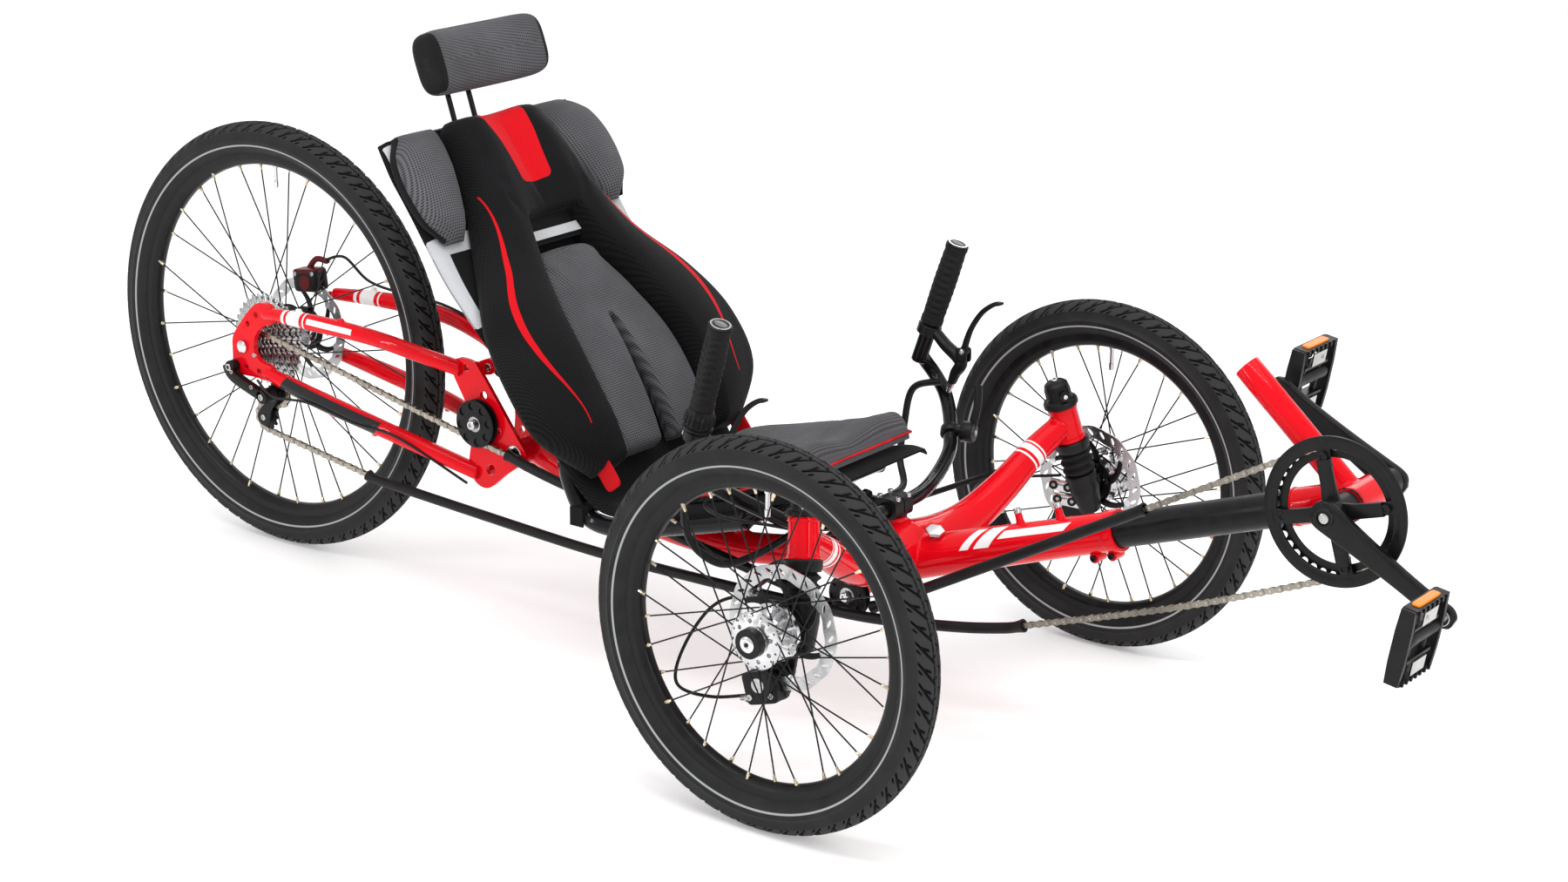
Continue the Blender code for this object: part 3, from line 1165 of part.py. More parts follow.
def sling_stations():
    """Middle line of the sling: place, outward normal and half width at each station."""
    stations = [(front(x, 0, z), width) for (x, z), width in zip(BASE_PROFILE, BASE_HALF_WIDTHS)]
    depth = BACK_CUSHION_THICKNESS + TOUCH_GAP + SLING_THICKNESS / 2
    widths = finer(SLING_HALF_WIDTHS, 2)
    fixed = {}
    for (here, normal, up), width in zip(finer_frames(2), widths):
        fixed[len(stations)] = normal
        stations.append((here - normal * depth, width))
    result = []
    last = len(stations) - 1
    for i, (here, width) in enumerate(stations):
        ahead = (stations[min(i + 1, last)][0] - stations[max(i - 1, 0)][0]).normalized()
        result.append((here, fixed.get(i, Vector((ahead.z, 0, -ahead.x))), width))
    return result


def make_sling():
    """The fabric that carries the rider, from the front edge of the base to the top of the back."""
    loops = []
    for here, normal, width in sling_stations():
        half = normal * (SLING_THICKNESS / 2)
        edge = Vector((0, width, 0))
        loops.append([here - edge - half, here + edge - half, here + edge + half, here - edge + half])
    return named("seat_sling", loft(loops), "mesh_black")


def base_top(x):
    """Height of the sling's upper face under the base cushion."""
    row = [here + normal * (SLING_THICKNESS / 2) for here, normal, width in sling_stations()[:len(BASE_PROFILE)]]
    for a, b in zip(row, row[1:]):
        if b.x <= x <= a.x:
            return a.z + (b.z - a.z) * (x - a.x) / (b.x - a.x)
    return row[0].z


def back_section(station, half, crown, dish, floor):
    """One cross section of the back cushion: flat behind, two crowned bolsters and a dish between."""
    here, normal, up = station
    loop = []
    count = 12
    for k in range(count + 1):
        s = -1 + 2 * k / count
        a = abs(s)
        edge = (1 - a ** 6) ** 0.5 if a < 1 else 0.0
        height = -floor * (1 - edge) * 0.86 + crown * math.sin(math.pi * min(a, 1.0)) ** 2 * edge - dish * (1 - a) ** 2
        loop.append(here + Vector((0, s * half, 0)) + normal * height)
    for s in (0.97, 0.6, 0.2, -0.2, -0.6, -0.97):
        loop.append(here + Vector((0, s * half, 0)) - normal * floor)
    return loop


def make_back_cushion():
    """The padded back cover: a crowned form with drawn-in waist and the opening in its lower part."""
    steps = 2
    stations = finer_frames(steps)
    halves = finer(BACK_HALF_WIDTHS, steps)
    loops = []
    last = len(stations) - 1
    for i, (station, half) in enumerate(zip(stations, halves)):
        near_end = min(i, last - i)
        swell = (0.35, 0.8, 1.0)[min(near_end, 2)]
        here, normal, up = station
        sunk = (here - normal * (1 - swell) * 0.018, normal, up)
        loops.append(back_section(sunk, half, 0.016 * swell, 0.004, BACK_CUSHION_THICKNESS - (1 - swell) * 0.018))
    body = loft(loops)
    hole = []
    widths = finer(OPENING_HALF_WIDTHS, 1)
    frames = back_frames()
    below = (frames[0][0] - frames[0][2] * 0.06, frames[0][1], frames[0][2])
    row = [(below, widths[0])] + list(zip(frames, widths))
    for (here, normal, up), half in row:
        if up is frames[5][2]:
            here = here - up * 0.054
        deep = normal * 0.08
        tall = normal * 0.05
        hole.append([here - deep + Vector((0, -half, 0)), here - deep + Vector((0, half, 0)),
                     here + tall + Vector((0, half + 0.010, 0)), here + tall + Vector((0, -half - 0.010, 0))])
    mesh = carve(body, removed=[loft(hole)])
    return named("back_cushion", mesh, "mesh_black", smooth=50.0)


def make_lumbar_pad():
    """The grey pad in the opening, split by a long slot from its lower end."""
    steps = 2
    stations = finer_frames(steps)[:9]
    widths = finer(OPENING_HALF_WIDTHS, steps)[:9]
    floor = BACK_CUSHION_THICKNESS - 0.0005
    loops = []
    for i, ((here, normal, up), width) in enumerate(zip(stations, widths)):
        swell = (0.55, 0.9, 1, 1, 1, 1, 1, 0.9, 0.4)[i]
        half = width - 0.0035
        loop = []
        for k in range(9):
            s = -1 + k / 4
            edge = (1 - abs(s) ** 4) ** 0.5 if abs(s) < 1 else 0.0
            loop.append(here + Vector((0, s * half, 0)) + normal * (-floor * (1 - 0.9 * edge) * 0.75 - 0.004 + 0.004 * swell))
        for s in (0.94, 0.3, -0.3, -0.94):
            loop.append(here + Vector((0, s * half, 0)) - normal * floor)
        loops.append(loop)
    slot = []
    for (here, normal, up), half in zip([stations[0], stations[2], stations[5]], (0.016, 0.014, 0.006)):
        low = here - up * (0.05 if half > 0.015 else 0.0)
        slot.append([low - normal * 0.07 + Vector((0, -half, 0)), low - normal * 0.07 + Vector((0, half, 0)),
                     low + normal * 0.05 + Vector((0, half, 0)), low + normal * 0.05 + Vector((0, -half, 0))])
    return named("lumbar_pad", carve(loft(loops), removed=[loft(slot)]), "mesh_grey", smooth=50.0)


def make_wings():
    """Shoulder pads that curl forward at their outer edges."""
    stations = finer_frames(2)[9:15]
    inner = (0.150, 0.134, 0.122, 0.112, 0.106, 0.100)
    outer = (0.168, 0.196, 0.208, 0.206, 0.190, 0.160)
    loops = []
    for (here, normal, up), low, high, swell in zip(stations, inner, outer, (0.5, 0.9, 1.0, 1.0, 0.9, 0.4)):
        floor = BACK_CUSHION_THICKNESS
        loop = []
        for k in range(6):
            s = k / 5
            y = low + (high - low) * s
            bulge = math.sin(math.pi * (0.12 + 0.76 * s))
            loop.append(here + Vector((0, y, 0)) + normal * (-floor + 0.008 + (0.022 * bulge + 0.008 * s) * swell))
        loop.append(here + Vector((0, high - 0.004, 0)) - normal * (floor - 0.0035))
        loop.append(here + Vector((0, (low + high) / 2, 0)) - normal * (floor - 0.0005))
        loop.append(here + Vector((0, low + 0.002, 0)) - normal * floor)
        loops.append(loop)
    mesh = loft(loops)
    named("wing_left", mesh, "mesh_grey", smooth=50.0)
    named("wing_right", mirrored(mesh), "mesh_grey", smooth=50.0)


def make_seat_cushion():
    """The base cushion: crowned, dished between its side rolls, with a rolled front edge."""
    loops = []
    places = []
    for x in (-0.148, -0.160, -0.185, -0.250, -0.330, -0.385, -0.402):
        place = front(x, 0, 0)
        places.append(Vector((place.x, 0, base_top(place.x) + 2 * TOUCH_GAP)))
    tall = (0.35, 0.80, 1.0, 1.0, 1.0, 0.85, 0.35)
    lift = (0.006, 0.006, 0.004, 0.000, 0.000, 0.000, 0.000)
    for here, swell, up in zip(places, tall, lift):
        loop = []
        for k in range(13):
            s = -1 + k / 6
            a = abs(s)
            edge = (1 - a ** 6) ** 0.5 if a < 1 else 0.0
            roll = 0.007 * math.sin(math.pi * a) ** 2 - 0.006 * (1 - a) ** 2
            loop.append(here + Vector((0, s * BASE_HALF_WIDTH, (BASE_THICKNESS * (0.25 + 0.75 * edge) + roll) * swell + up)))
        for s in (0.97, 0.4, -0.4, -0.97):
            loop.append(here + Vector((0, s * BASE_HALF_WIDTH, 0)))
        loops.append(loop)
    return named("seat_cushion", loft(loops), "mesh_grey", smooth=50.0)


def make_seat_frame():
    """Side tubes that carry the sling, with cross tubes and a stay to the frame's spine."""
    offset = BACK_CUSHION_THICKNESS + SLING_THICKNESS + SEAT_TUBE_RADIUS
    back = [here - normal * offset for here, normal, up in back_frames()]
    x_front = -0.208
    base = [front(x_front, 0, 0.0369), front(-0.250, 0, 0.024), front(-0.340, 0, -0.001), front(-0.410, 0, -0.020)]
    corner = [front(-0.474, 0, -0.017), front(-0.506, 0, 0.028)]
    line = base + corner + back[1:]
    side_tubes = []
    for side in (LEFT, RIGHT):
        side_tubes.append(tube([p + Vector((0, side * SEAT_TUBE_Y, 0)) for p in line], SEAT_TUBE_RADIUS, 7))
    crosses = []
    for place in (base[0], front(-0.330, 0, seat_tube_height(-0.330)), back[2], back[5], back[7]):
        crosses.append(rod(place + Vector((0, -SEAT_TUBE_Y, 0)), place + Vector((0, SEAT_TUBE_Y, 0)), 0.0095, 6))
    stay = rod(SEAT_STAY_HEAD, SEAT_STAY_FOOT, 0.0085, 7)
    holders = []
    holes = []
    post_foot, post_head = post_line()
    aim = (post_head - post_foot).normalized()
    for side in (LEFT, RIGHT):
        shift = Vector((0, side * POST_SPACING / 2, 0))
        grip = back[7] + shift
        holders.append(rod(post_at(grip.z - 0.020) + shift, post_at(grip.z + 0.014) + shift, POST_RADIUS + 0.0040, 10))
        holes.append(rod(post_foot - aim * 0.03 + shift, post_head + aim * 0.1 + shift, POST_RADIUS + RUN_GAP, 10))
    mesh = carve(side_tubes[0], added=crosses + [side_tubes[1], stay] + holders, removed=holes)
    return named("seat_frame", mesh, "black_paint")


def post_line():
    """Foot and head of the headrest posts' middle line."""
    return front(-0.800, 0, 0.395), front(-0.8465, 0, 0.535)


def post_at(z):
    """The point of the posts' middle line at a height."""
    foot, head = post_line()
    return foot + (head - foot) * ((z - foot.z) / (head.z - foot.z))


def make_headrest():
    """The headrest cushion, and the bent post that carries it."""
    foot, head = post_line()
    aim = (head - foot).normalized()
    tilt = Matrix.Rotation(math.radians(-20), 3, "Y")
    middle = front(-0.800, 0, 0.553)
    loops = []
    stations = ((-1.0, 0.55, 0.030), (-0.93, 0.88, 0.020), (-0.60, 1.0, 0.010), (-0.25, 0.98, 0.001), (0.0, 0.96, 0.0),
                (0.25, 0.98, 0.001), (0.60, 1.0, 0.010), (0.93, 0.88, 0.020), (1.0, 0.55, 0.030))
    shape = ((-0.42, -0.38), (-0.20, -0.50), (0.25, -0.50), (0.46, -0.40), (0.50, 0.0), (0.44, 0.42), (0.20, 0.50),
             (-0.25, 0.48), (-0.46, 0.30), (-0.50, 0.0))
    for s, size, ahead in stations:
        loop = []
        for a, b in shape:
            local = Vector((a * HEADREST_DEPTH * size + ahead * 0.6, 0, b * HEADREST_HEIGHT * size))
            loop.append(middle + tilt @ local + Vector((0, s * HEADREST_HALF_WIDTH, 0)))
        loops.append(loop)
    cushion = loft(loops)
    bars = []
    holes = []
    for side in (LEFT, RIGHT):
        shift = Vector((0, side * POST_SPACING / 2, 0))
        tip = head + aim * 0.010
        bars.append(tube([foot + shift, head - aim * 0.004 + shift, tip + shift + Vector((0.026, 0, 0.004))],
                         POST_RADIUS, 8))
        holes.append(tube([foot + shift, head - aim * 0.004 + shift, tip + shift + Vector((0.0268, 0, 0.0041))],
                          POST_RADIUS + TOUCH_GAP * 1.8, 8))
    bridge = tube([bars_end + Vector((0, side * POST_SPACING / 2, 0)) for side, bars_end in
                   ((LEFT, head + aim * 0.010 + Vector((0.024, 0, 0.0037))),
                    (RIGHT, head + aim * 0.010 + Vector((0.024, 0, 0.0037))))], POST_RADIUS, 8)
    slot = tube([bars_end + Vector((0, side * (POST_SPACING / 2 + 0.001), 0)) for side, bars_end in
                 ((LEFT, head + aim * 0.010 + Vector((0.024, 0, 0.0037))),
                  (RIGHT, head + aim * 0.010 + Vector((0.024, 0, 0.0037))))], POST_RADIUS + TOUCH_GAP * 1.8, 8)
    named("headrest_cushion", carve(cushion, removed=holes + [slot]), "mesh_grey", middle, smooth=50.0)
    named("headrest_post", carve(bars[0], added=[bridge, bars[1]]), "black_paint", foot)


def make_swingarm():
    """Rear swingarm: two plates at the pivot, upper and lower tubes, and the dropouts."""
    inner = SWING_PLATE_Y
    outer = SWING_PLATE_Y + SWING_PLATE_THICKNESS
    outline = [
        PIVOT + Vector((0.020, 0, -0.008)), PIVOT + Vector((0.022, 0, 0.006)), PIVOT + Vector((0.010, 0, 0.021)),
        front(-0.757, 0, 0.112), front(-0.772, 0, 0.124), front(-0.800, 0, 0.124), front(-0.812, 0, 0.106),
        REAR_IDLER + Vector((-0.018, 0, 0.000)), front(-0.782, 0, -0.030), front(-0.770, 0, -0.054),
        front(-0.745, 0, -0.058), front(-0.712, 0, -0.032),
    ]
    base = plate(outline, inner, outer)
    meshes = [plate(outline, -outer, -inner)]
    drop_in = DROPOUT_INNER
    drop_out = DROPOUT_INNER + DROPOUT_THICKNESS
    shape = [
        rear(-0.024, 0, 0.004), rear(-0.016, 0, 0.022), rear(0.026, 0, 0.068), rear(0.058, 0, 0.070), rear(0.062, 0, 0.046),
        rear(0.040, 0, 0.036), rear(0.024, 0, 0.018), rear(0.022, 0, -0.006), rear(0.034, 0, -0.018), rear(0.056, 0, -0.024),
        rear(0.052, 0, -0.044), rear(0.022, 0, -0.044), rear(-0.018, 0, -0.044), rear(-0.026, 0, -0.032),
        rear(-0.024, 0, -0.020),
    ]
    middle = (drop_in + drop_out) / 2
    for side in (LEFT, RIGHT):
        meshes.append(plate(shape, side * drop_in, side * drop_out))
        upper = [rear(0.044, side * middle, 0.057), rear(0.150, side * 0.079, 0.062),
                 rear(0.260, side * 0.077, 0.060), rear(0.345, side * 0.066, 0.047),
                 front(-0.795, side * (inner + outer) / 2, 0.108)]
        meshes.append(tube(upper, [0.0100, 0.0130, SWING_TUBE_RADIUS, SWING_TUBE_RADIUS, SWING_TUBE_RADIUS], 8))
        lower = [rear(0.042, side * middle, -0.034), rear(0.150, side * 0.079, -0.052),
                 rear(0.300, side * 0.075, -0.078), front(-0.765, side * (inner + outer) / 2, -0.040)]
        meshes.append(tube(lower, [0.0100, 0.0135, 0.0125, SWING_TUBE_RADIUS], 8))
    for place, radius in ((front(-0.795, 0, 0.100), 0.0110), (front(-0.762, 0, -0.040), 0.0100)):
        meshes.append(rod(place + Vector((0, -inner - 0.003, 0)), place + Vector((0, inner + 0.003, 0)), radius, 8))
    for side in (LEFT, RIGHT):
        ear = [SHOCK_TOP + Vector((0.011, 0, -0.005)), SHOCK_TOP + Vector((0.008, 0, 0.010)),
               SHOCK_TOP + Vector((-0.006, 0, 0.011)), front(-0.796, 0, 0.106), front(-0.795, 0, 0.094),
               SHOCK_TOP + Vector((0.002, 0, -0.011))]
        meshes.append(plate(ear, side * 0.0085, side * 0.0145))
    meshes.append(rod(SHOCK_TOP + Vector((0, -0.012, 0)), SHOCK_TOP + Vector((0, 0.012, 0)), 0.0040, 8))
    meshes.append(rod(REAR_IDLER + Vector((0, 0.011, 0)), REAR_IDLER + Vector((0, -0.0110, 0)), IDLER_AXLE_RADIUS, 8))
    mount = plate([rear(0.030, 0, 0.050), rear(0.046, 0, 0.062), rear(0.030, 0, 0.098), rear(0.008, 0, 0.090)],
                  drop_in, drop_in + 0.006)
    meshes.append(mount)
    cuts = [rod(PIVOT + Vector((0, -0.08, 0)), PIVOT + Vector((0, 0.08, 0)), PIVOT_AXLE_RADIUS + TOUCH_GAP * 1.5, 10)]
    cuts.append(rod(REAR_AXLE + Vector((0, -0.1, 0)), REAR_AXLE + Vector((0, 0.1, 0)), REAR_AXLE_RADIUS + RUN_GAP, 10))
    for x, z, radius in ((-0.741, -0.030, 0.0105), (-0.790, 0.088, 0.006)):
        cuts.append(rod(front(x, -0.1, z), front(x, -0.02, z), radius, 7))
        cuts.append(rod(front(x, 0.02, z), front(x, 0.1, z), radius, 7))
    return named("swingarm", carve(base, added=meshes, removed=cuts), "red_paint", PIVOT)


def make_rear_suspension():
    """Pivot axle, shock and the rear caliper."""
    half = SWING_PLATE_Y + SWING_PLATE_THICKNESS
    profile = [(0.0055, -half), (PIVOT_AXLE_RADIUS, -half), (PIVOT_AXLE_RADIUS, half), (0.0055, half)]
    named("pivot_axle", turned(profile, PIVOT, Vector((0, 1, 0)), 10), "steel", PIVOT)

    axis = (SHOCK_TOP - SHOCK_BOTTOM).normalized()
    length = (SHOCK_TOP - SHOCK_BOTTOM).length
    can = turned([(0, 0.014), (SHOCK_CAN_RADIUS * 0.8, 0.016), (SHOCK_CAN_RADIUS, 0.024),
                  (SHOCK_CAN_RADIUS, length - 0.050), (SHOCK_CAN_RADIUS * 0.85, length - 0.046),
                  (SHOCK_SHAFT_RADIUS + RUN_GAP, length - 0.046), (SHOCK_SHAFT_RADIUS + RUN_GAP, 0.040), (0, 0.040)],
                 SHOCK_BOTTOM, axis, 10, closed_profile=False)
    ears = []
    for side in (LEFT, RIGHT):
        ears.append(ribbon([SHOCK_BOTTOM - axis * 0.008, SHOCK_BOTTOM + axis * 0.018], 0.0022, 0.0075, Vector((0, 1, 0))))
        ears[-1].transform(Matrix.Translation((0, side * 0.0080, 0)))
    pin = rod(SHOCK_BOTTOM + Vector((0, -0.0085, 0)), SHOCK_BOTTOM + Vector((0, 0.0085, 0)), 0.0040, 8)
    named("shock_body", carve(can, added=ears + [pin]), "black_paint", SHOCK_BOTTOM)

    eye = rod(SHOCK_TOP + Vector((0, -0.0065, 0)), SHOCK_TOP + Vector((0, 0.0065, 0)), 0.0105, 10)
    shaft = rod(SHOCK_TOP - axis * 0.006, SHOCK_BOTTOM + axis * 0.0700, SHOCK_SHAFT_RADIUS, 10)
    hole = rod(SHOCK_TOP + Vector((0, -0.02, 0)), SHOCK_TOP + Vector((0, 0.02, 0)), 0.0062, 10)
    named("shock_shaft", carve(eye, added=[shaft], removed=[hole]), "steel", SHOCK_TOP)

    centre = rear(0.012, REAR_ROTOR_OFFSET, 0.078)
    body = block(centre, (0.050, 0.0264, 0.036), Matrix.Rotation(math.radians(-8), 3, "Y"))
    slot = turned([(0, -0.0022), (ROTOR_RADIUS + 0.002, -0.0022), (ROTOR_RADIUS + 0.002, 0.0022), (0, 0.0022)],
                  rear(0, REAR_ROTOR_OFFSET, 0), Vector((0, 1, 0)), 24, closed_profile=False)
    arm = ribbon([centre + Vector((-0.010, 0.008, 0.014)), centre + Vector((0.004, 0.010, 0.030)),
                  centre + Vector((0.026, 0.010, 0.030))], 0.0030, 0.0045, Vector((0, 1, 0)))
    named("caliper_rear", carve(body, added=[arm], removed=[slot]), "black_paint", centre)


def main():
    """Build every piece."""
    for old in list(bpy.data.objects):
        bpy.data.objects.remove(old)
    make_main_frame()
    make_boom()
    make_cranks()
    make_chain()
    make_derailleur()
    make_front_wheels()
    make_rear_wheel()
    make_front_suspension()
    make_handlebar()
    make_sling()
    make_back_cushion()
    make_lumbar_pad()
    make_wings()
    make_seat_cushion()
    make_seat_frame()
    make_headrest()
    make_swingarm()
    make_rear_suspension()


main()
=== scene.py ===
"""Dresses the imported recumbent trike: tyres, laced wheels, painted frame, chain drive, seat and controls.

Every piece is a surface worked out in metres in the trike's own frame (+X forward, +Y to the rider's
left, +Z up, ground at zero) and rides on the body that carries it.
"""

from __future__ import annotations

import logging
import math
from dataclasses import dataclass, field
from enum import Enum
from typing import Callable, Iterable, Sequence

import bpy
import numpy as np
from mathutils import Matrix, Vector

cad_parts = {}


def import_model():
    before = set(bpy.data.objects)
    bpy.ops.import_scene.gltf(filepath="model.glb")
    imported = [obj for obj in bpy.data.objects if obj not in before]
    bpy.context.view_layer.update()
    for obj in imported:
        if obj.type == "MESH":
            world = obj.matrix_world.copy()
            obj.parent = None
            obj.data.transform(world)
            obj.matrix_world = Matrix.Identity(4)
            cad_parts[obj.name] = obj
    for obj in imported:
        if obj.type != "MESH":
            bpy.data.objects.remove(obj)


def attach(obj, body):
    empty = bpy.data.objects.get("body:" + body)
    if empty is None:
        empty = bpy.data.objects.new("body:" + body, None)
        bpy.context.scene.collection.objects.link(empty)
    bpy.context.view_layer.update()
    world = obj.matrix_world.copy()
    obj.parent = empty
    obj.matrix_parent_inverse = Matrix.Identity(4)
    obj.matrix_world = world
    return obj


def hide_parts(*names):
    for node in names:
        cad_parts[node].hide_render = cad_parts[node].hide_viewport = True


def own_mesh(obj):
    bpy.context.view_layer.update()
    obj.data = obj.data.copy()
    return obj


LOG = logging.getLogger("trike")
Array = np.ndarray
Point = Sequence[float]

FRONT_X = 0.392619
REAR_X = -0.809881
FRONT_Z = 0.248
REAR_Z = 0.3245
HALF_TRACK = 0.3935
CHAIN_Y = -0.057
X_AXIS = np.array([1.0, 0.0, 0.0])
Y_AXIS = np.array([0.0, 1.0, 0.0])
Z_AXIS = np.array([0.0, 0.0, 1.0])


def vec(*values: float) -> Array:
    """A point or direction as an array."""
    return np.array(values, float)


def front(x: float, y: float, z: float) -> Array:
    """A place measured from the middle of the front axle line."""
    return vec(FRONT_X + x, y, FRONT_Z + z)


def rear(x: float, y: float, z: float) -> Array:
    """A place measured from the middle of the rear axle."""
    return vec(REAR_X + x, y, REAR_Z + z)


def unit(v: Array) -> Array:
    """The same direction with length one, also for rows of vectors."""
    v = np.asarray(v, float)
    return v / np.maximum(np.linalg.norm(v, axis=-1, keepdims=True), 1e-12)


class Side(Enum):
    """The rider's left or right."""

    LEFT = 1
    RIGHT = -1

    @property
    def word(self) -> str:
        """The side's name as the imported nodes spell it."""
        return self.name.lower()


BB = front(0.571, 0, 0.189)
PIVOT = front(-0.697, 0, 0.001)
REAR_AXLE = rear(0, 0, 0)
REAR_IDLER = front(-0.758, CHAIN_Y, 0.0375)
FRONT_IDLER = front(-0.112, CHAIN_Y, -0.0715)
JOCKEY_UPPER = rear(0.049, CHAIN_Y, -0.0665)
JOCKEY_LOWER = rear(0.0265, CHAIN_Y, -0.1075)
SHOCK_BOTTOM = front(-0.655, 0, 0.029)
SHOCK_TOP = front(-0.772, 0, 0.108)
STEER_X = -0.084
DISC_Y = HALF_TRACK - 0.038
HEAD_LENGTH = 0.051
ARM_DROP = 0.00775
CHAIN_PITCH = 0.0127
LEVER_PIN = {Side.LEFT: front(-0.139, 0.244, 0.187), Side.RIGHT: front(-0.168, -0.244, 0.162)}
THUMB_POD = front(-0.1095, 0.2157, 0.084)
THUMB_AXIS = vec(0.98, 0.2, 0)
STAY_FOOT, STAY_HEAD = front(-0.56, 0, -0.018), front(-0.565, 0, 0.15)
POST_FOOT, POST_HEAD = front(-0.8, 0, 0.395), front(-0.8465, 0, 0.535)
POST_HALF_GAP = 0.021


# Surfaces


@dataclass
class Surface:
    """A closed skin: its points, and blocks of faces with the UV of each face corner."""

    points: Array
    blocks: list[tuple[Array, Array]]

    def volume(self) -> float:
        """Signed volume: a sixth of the sum of a . (b x c) over the faces' triangles.

        Returns:
            The volume, below zero where the faces point inwards.
        """
        total = 0.0
        for faces, _ in self.blocks:
            for k in range(1, faces.shape[1] - 1):
                a, b, c = (self.points[faces[:, i]] for i in (0, k, k + 1))
                total += float((a * np.cross(b, c)).sum()) / 6
        return total

    def flipped(self) -> Surface:
        """The same skin with its faces turned round."""
        return Surface(self.points, [(f[:, ::-1], uv[:, ::-1]) for f, uv in self.blocks])

    def outward(self) -> Surface:
        """The same skin with its faces pointing out."""
        return self.flipped() if self.volume() < 0 else self

    def moved(self, shift: Array | None = None, turn: Array | None = None,
              about: Array | None = None) -> Surface:
        """The skin turned about a point by a 3 by 3 matrix, then shifted.

        Args:
            shift: How far it moves after the turn.
            turn: Its turn, a 3 by 3 matrix.
            about: The point that the turn keeps in place.

        Returns:
            The moved skin.
        """
        points = self.points
        if turn is not None:
            centre = np.zeros(3) if about is None else about
            points = (points - centre) @ np.asarray(turn).T + centre
        if shift is not None:
            points = points + shift
        return Surface(points, self.blocks)

    def mirrored(self) -> Surface:
        """The same shape on the other side of the trike's middle plane."""
        return Surface(self.points * vec(1, -1, 1), self.blocks).flipped()

    def on(self, side: Side) -> Surface:
        """The skin as it is for the left side, mirrored for the right."""
        return self if side is Side.LEFT else self.mirrored()


def merged(shapes: Iterable[Surface]) -> Surface:
    """Several skins as one.

    Args:
        shapes: The skins.

    Returns:
        One skin.
    """
    points, blocks, count = [], [], 0
    for shape in shapes:
        points.append(shape.points)
        blocks += [(faces + count, uv) for faces, uv in shape.blocks]
        count += len(shape.points)
    return Surface(np.concatenate(points), blocks)


def skin(points: Array, wrap_rows: bool = False, wrap_cols: bool = True, caps: str = "fan",
         uv: Array | None = None) -> Surface:
    """A grid of points as a closed skin.

    The grid's quads join point (i, j) to its neighbours; UV is the mean length along rows and columns
    in metres unless it is given for each point.

    Args:
        points: Rows by columns by 3.
        wrap_rows: Whether the last row joins the first.
        wrap_cols: Whether the last column joins the first.
        caps: "fan" closes the end rows with a middle point, "face" with one flat face, "none" leaves them.
        uv: Rows by columns by 2, when a pattern follows the surface.

    Returns:
        The skin, faces outwards.
    """
    rows, cols = points.shape[:2]
    i, j = np.meshgrid(np.arange(rows if wrap_rows else rows - 1), np.arange(cols if wrap_cols else cols - 1),
                       indexing="ij")
    i, j = i.ravel(), j.ravel()
    across = [(i, j), (i, j + 1), (i + 1, j + 1), (i + 1, j)]
    faces = np.stack([(a % rows) * cols + b % cols for a, b in across], -1)
    if uv is None:
        ring = np.concatenate([points, points[:, :1]], 1)
        u = np.concatenate([[0], np.cumsum(np.linalg.norm(np.diff(ring, axis=1), axis=-1).mean(0))])
        column = np.concatenate([points, points[:1]], 0)
        v = np.concatenate([[0], np.cumsum(np.linalg.norm(np.diff(column, axis=0), axis=-1).mean(1))])
        corners = np.stack([np.stack([u[b], v[a]], -1) for a, b in across], 1)
    else:
        corners = np.stack([uv[a % rows, b % cols] for a, b in across], 1)
    blocks = [(faces, corners)]
    flat = points.reshape(-1, 3)
    if not wrap_rows and wrap_cols and caps != "none":
        for row, back in ((0, True), (rows - 1, False)):
            loop = row * cols + np.arange(cols)
            loop = loop[::-1] if back else loop
            if caps == "face":
                blocks.append((loop[None, :], np.zeros((1, cols, 2))))
                continue
            flat = np.concatenate([flat, points[row].mean(0)[None]])
            fan = np.stack([loop, np.roll(loop, -1), np.full(cols, len(flat) - 1)], -1)
            blocks.append((fan, np.zeros((cols, 3, 2))))
    return Surface(flat, blocks).outward()


def frames_along(path: Array, up: Array | None = None) -> tuple[Array, Array, Array]:
    """Tangent, side and rise at each point of a path.

    Side is up x tangent when up is given; otherwise the first side is carried along the path with the
    least turning. Rise is tangent x side.

    Args:
        path: Points of the middle line.
        up: The direction that fixes the turn of the sections.

    Returns:
        Three rows of directions.
    """
    ahead = unit(np.gradient(path, axis=0))
    if up is not None:
        side = unit(np.cross(np.broadcast_to(up, ahead.shape), ahead))
    else:
        helper = Y_AXIS if abs(ahead[0][1]) < 0.9 else Z_AXIS
        side = np.empty_like(ahead)
        side[0] = unit(np.cross(helper, ahead[0]))
        for k in range(1, len(ahead)):
            side[k] = unit(side[k - 1] - ahead[k] * (side[k - 1] @ ahead[k]))
    return ahead, side, np.cross(ahead, side)


